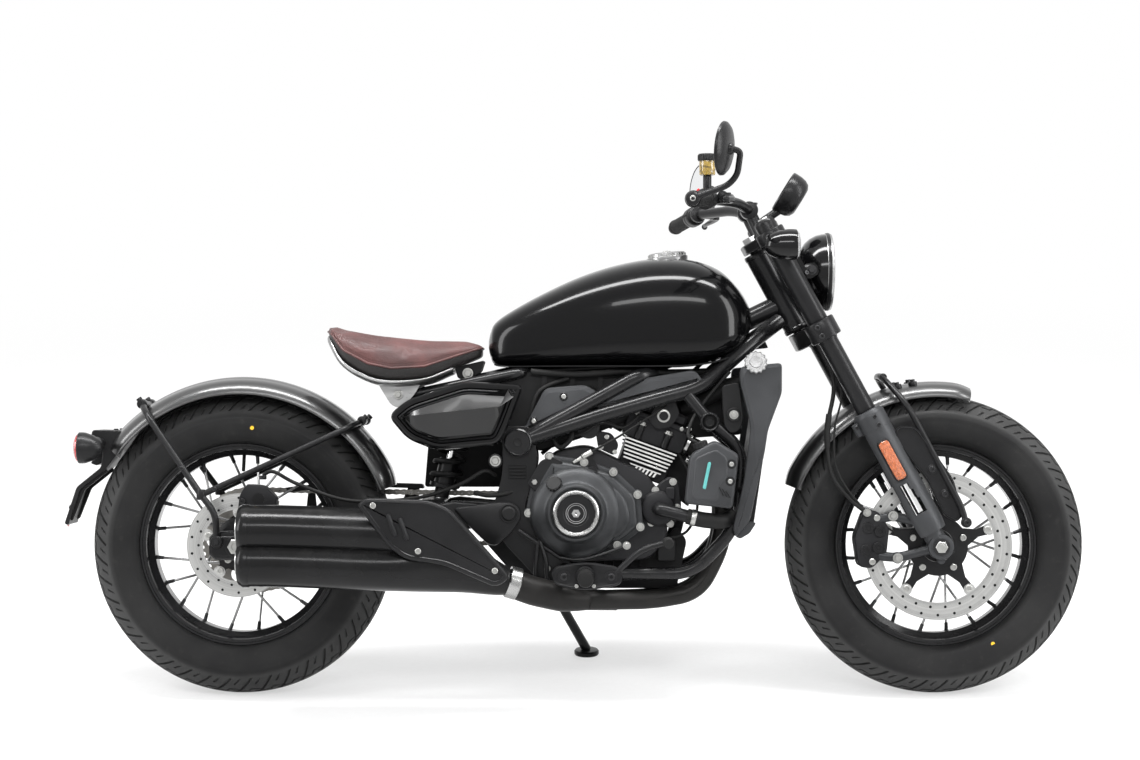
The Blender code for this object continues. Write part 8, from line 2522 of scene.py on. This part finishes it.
def floor_look():
    """Pale studio floor: keeps the shadow near the wheels and fades to white far out for the camera."""
    look = Look("studio_floor", Roughness=0.62)
    away = look.node("ShaderNodeVectorMath", {0: look.at, 1: (0.0, 0.0, 0.0)}, "Value", operation="DISTANCE")
    fade = away.step(1.5, 6.0)
    speck = look.noise(60.0, 3.0)
    base = look.mix(speck.step(0.3, 0.7), (0.86, 0.86, 0.86), (0.90, 0.90, 0.90))
    look.finish(Base_Color=base)
    tree = look.tree
    shine = look.node("ShaderNodeEmission", {"Color": (1.0, 1.0, 1.0, 1.0), "Strength": 1.0}, "Emission")
    rays = [look.node("ShaderNodeLightPath", {}, "Is %s Ray" % kind) for kind in ("Camera", "Glossy", "Transmission")]
    seen = rays[0].math("MAXIMUM", rays[1]).math("MAXIMUM", rays[2])
    both = tree.nodes.new("ShaderNodeMixShader")
    share = seen * (fade * 0.45 + 0.55)
    tree.links.new(share.socket, both.inputs[0])
    tree.links.new(look.shader.outputs[0], both.inputs[1])
    tree.links.new(shine.socket, both.inputs[2])
    tree.links.new(both.outputs[0], tree.nodes["Material Output"].inputs["Surface"])
    return look.material


def stage():
    mesh = bpy.data.meshes.new("floor")
    reach = 40.0
    mesh.from_pydata([(-reach, -reach, 0.0), (reach, -reach, 0.0), (reach, reach, 0.0), (-reach, reach, 0.0)], [],
                     [(0, 1, 2, 3)])
    mesh.materials.append(floor_look())
    floor = bpy.data.objects.new("floor", mesh)
    bpy.context.scene.collection.objects.link(floor)
    floor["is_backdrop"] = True


def lamp(name, place, target, size, power):
    """A soft box at a place on the upright machine, facing the target."""
    light = bpy.data.lights.new(name, "AREA")
    light.shape = "RECTANGLE"
    light.size, light.size_y = size
    light.energy = power
    made = bpy.data.objects.new(name, light)
    made.location = WORLD @ Vector(place)
    way = WORLD @ Vector(target) - made.location
    made.rotation_euler = way.to_track_quat("-Z", "Y").to_euler()
    bpy.context.scene.collection.objects.link(made)


def surroundings():
    """White where the background shows or is mirrored; its light on the machine is dimmer, and comes from above."""
    world = bpy.data.worlds.new("studio")
    world.use_nodes = True
    bpy.context.scene.world = world
    tree = world.node_tree
    nodes, links = tree.nodes, tree.links
    back = nodes["Background"]
    path = nodes.new("ShaderNodeLightPath")
    where = nodes.new("ShaderNodeTexCoord")
    split = nodes.new("ShaderNodeSeparateXYZ")
    links.new(where.outputs["Generated"], split.inputs[0])
    ramp = nodes.new("ShaderNodeMapRange")
    ramp.interpolation_type = "SMOOTHSTEP"
    for index, value in ((1, -0.05), (2, 0.85), (3, 0.30), (4, 0.95)):
        ramp.inputs[index].default_value = value
    links.new(split.outputs[2], ramp.inputs[0])
    pick = nodes.new("ShaderNodeMix")
    seen = path.outputs["Is Camera Ray"]
    for kind in ("Glossy", "Transmission"):
        wider = nodes.new("ShaderNodeMath")
        wider.operation = "MAXIMUM"
        links.new(seen, wider.inputs[0])
        links.new(path.outputs["Is %s Ray" % kind], wider.inputs[1])
        seen = wider.outputs[0]
    links.new(seen, pick.inputs[0])
    links.new(ramp.outputs[0], pick.inputs[2])
    pick.inputs[3].default_value = 1.0
    back.inputs["Color"].default_value = (1.0, 1.0, 1.0, 1.0)
    links.new(pick.outputs[0], back.inputs["Strength"])


def camera():
    """The photograph's eye: level with the machine's own side, a little under tank height."""
    data = bpy.data.cameras.new("camera")
    data.lens, data.sensor_width = 77.6, 36.0
    data.shift_y = 0.0175
    made = bpy.data.objects.new("camera", data)
    spot = Matrix.Translation(Vector((0.7024, -5.3, 0.630))) @ Matrix.Rotation(math.radians(90.0), 4, "X")
    made.matrix_world = WORLD @ spot
    bpy.context.scene.collection.objects.link(made)
    bpy.context.scene.camera = made


stage()
surroundings()
lamp("overhead", (0.70, -0.7, 3.0), (0.70, 0.0, 0.6), (3.6, 0.40), 190.0)
lamp("camera_side", (0.9, -4.2, 2.5), (0.75, 0.0, 0.6), (3.4, 0.5), 85.0)
lamp("front_strip", (3.4, -1.2, 1.4), (1.2, 0.0, 0.6), (0.7, 2.4), 60.0)
lamp("rear_strip", (-2.2, -1.2, 1.4), (0.2, 0.0, 0.5), (0.7, 2.4), 60.0)
camera()
bpy.context.scene.view_settings.view_transform = "Standard"

[[list(corner) for corner in box] for box in (CAD_BOX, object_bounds())]
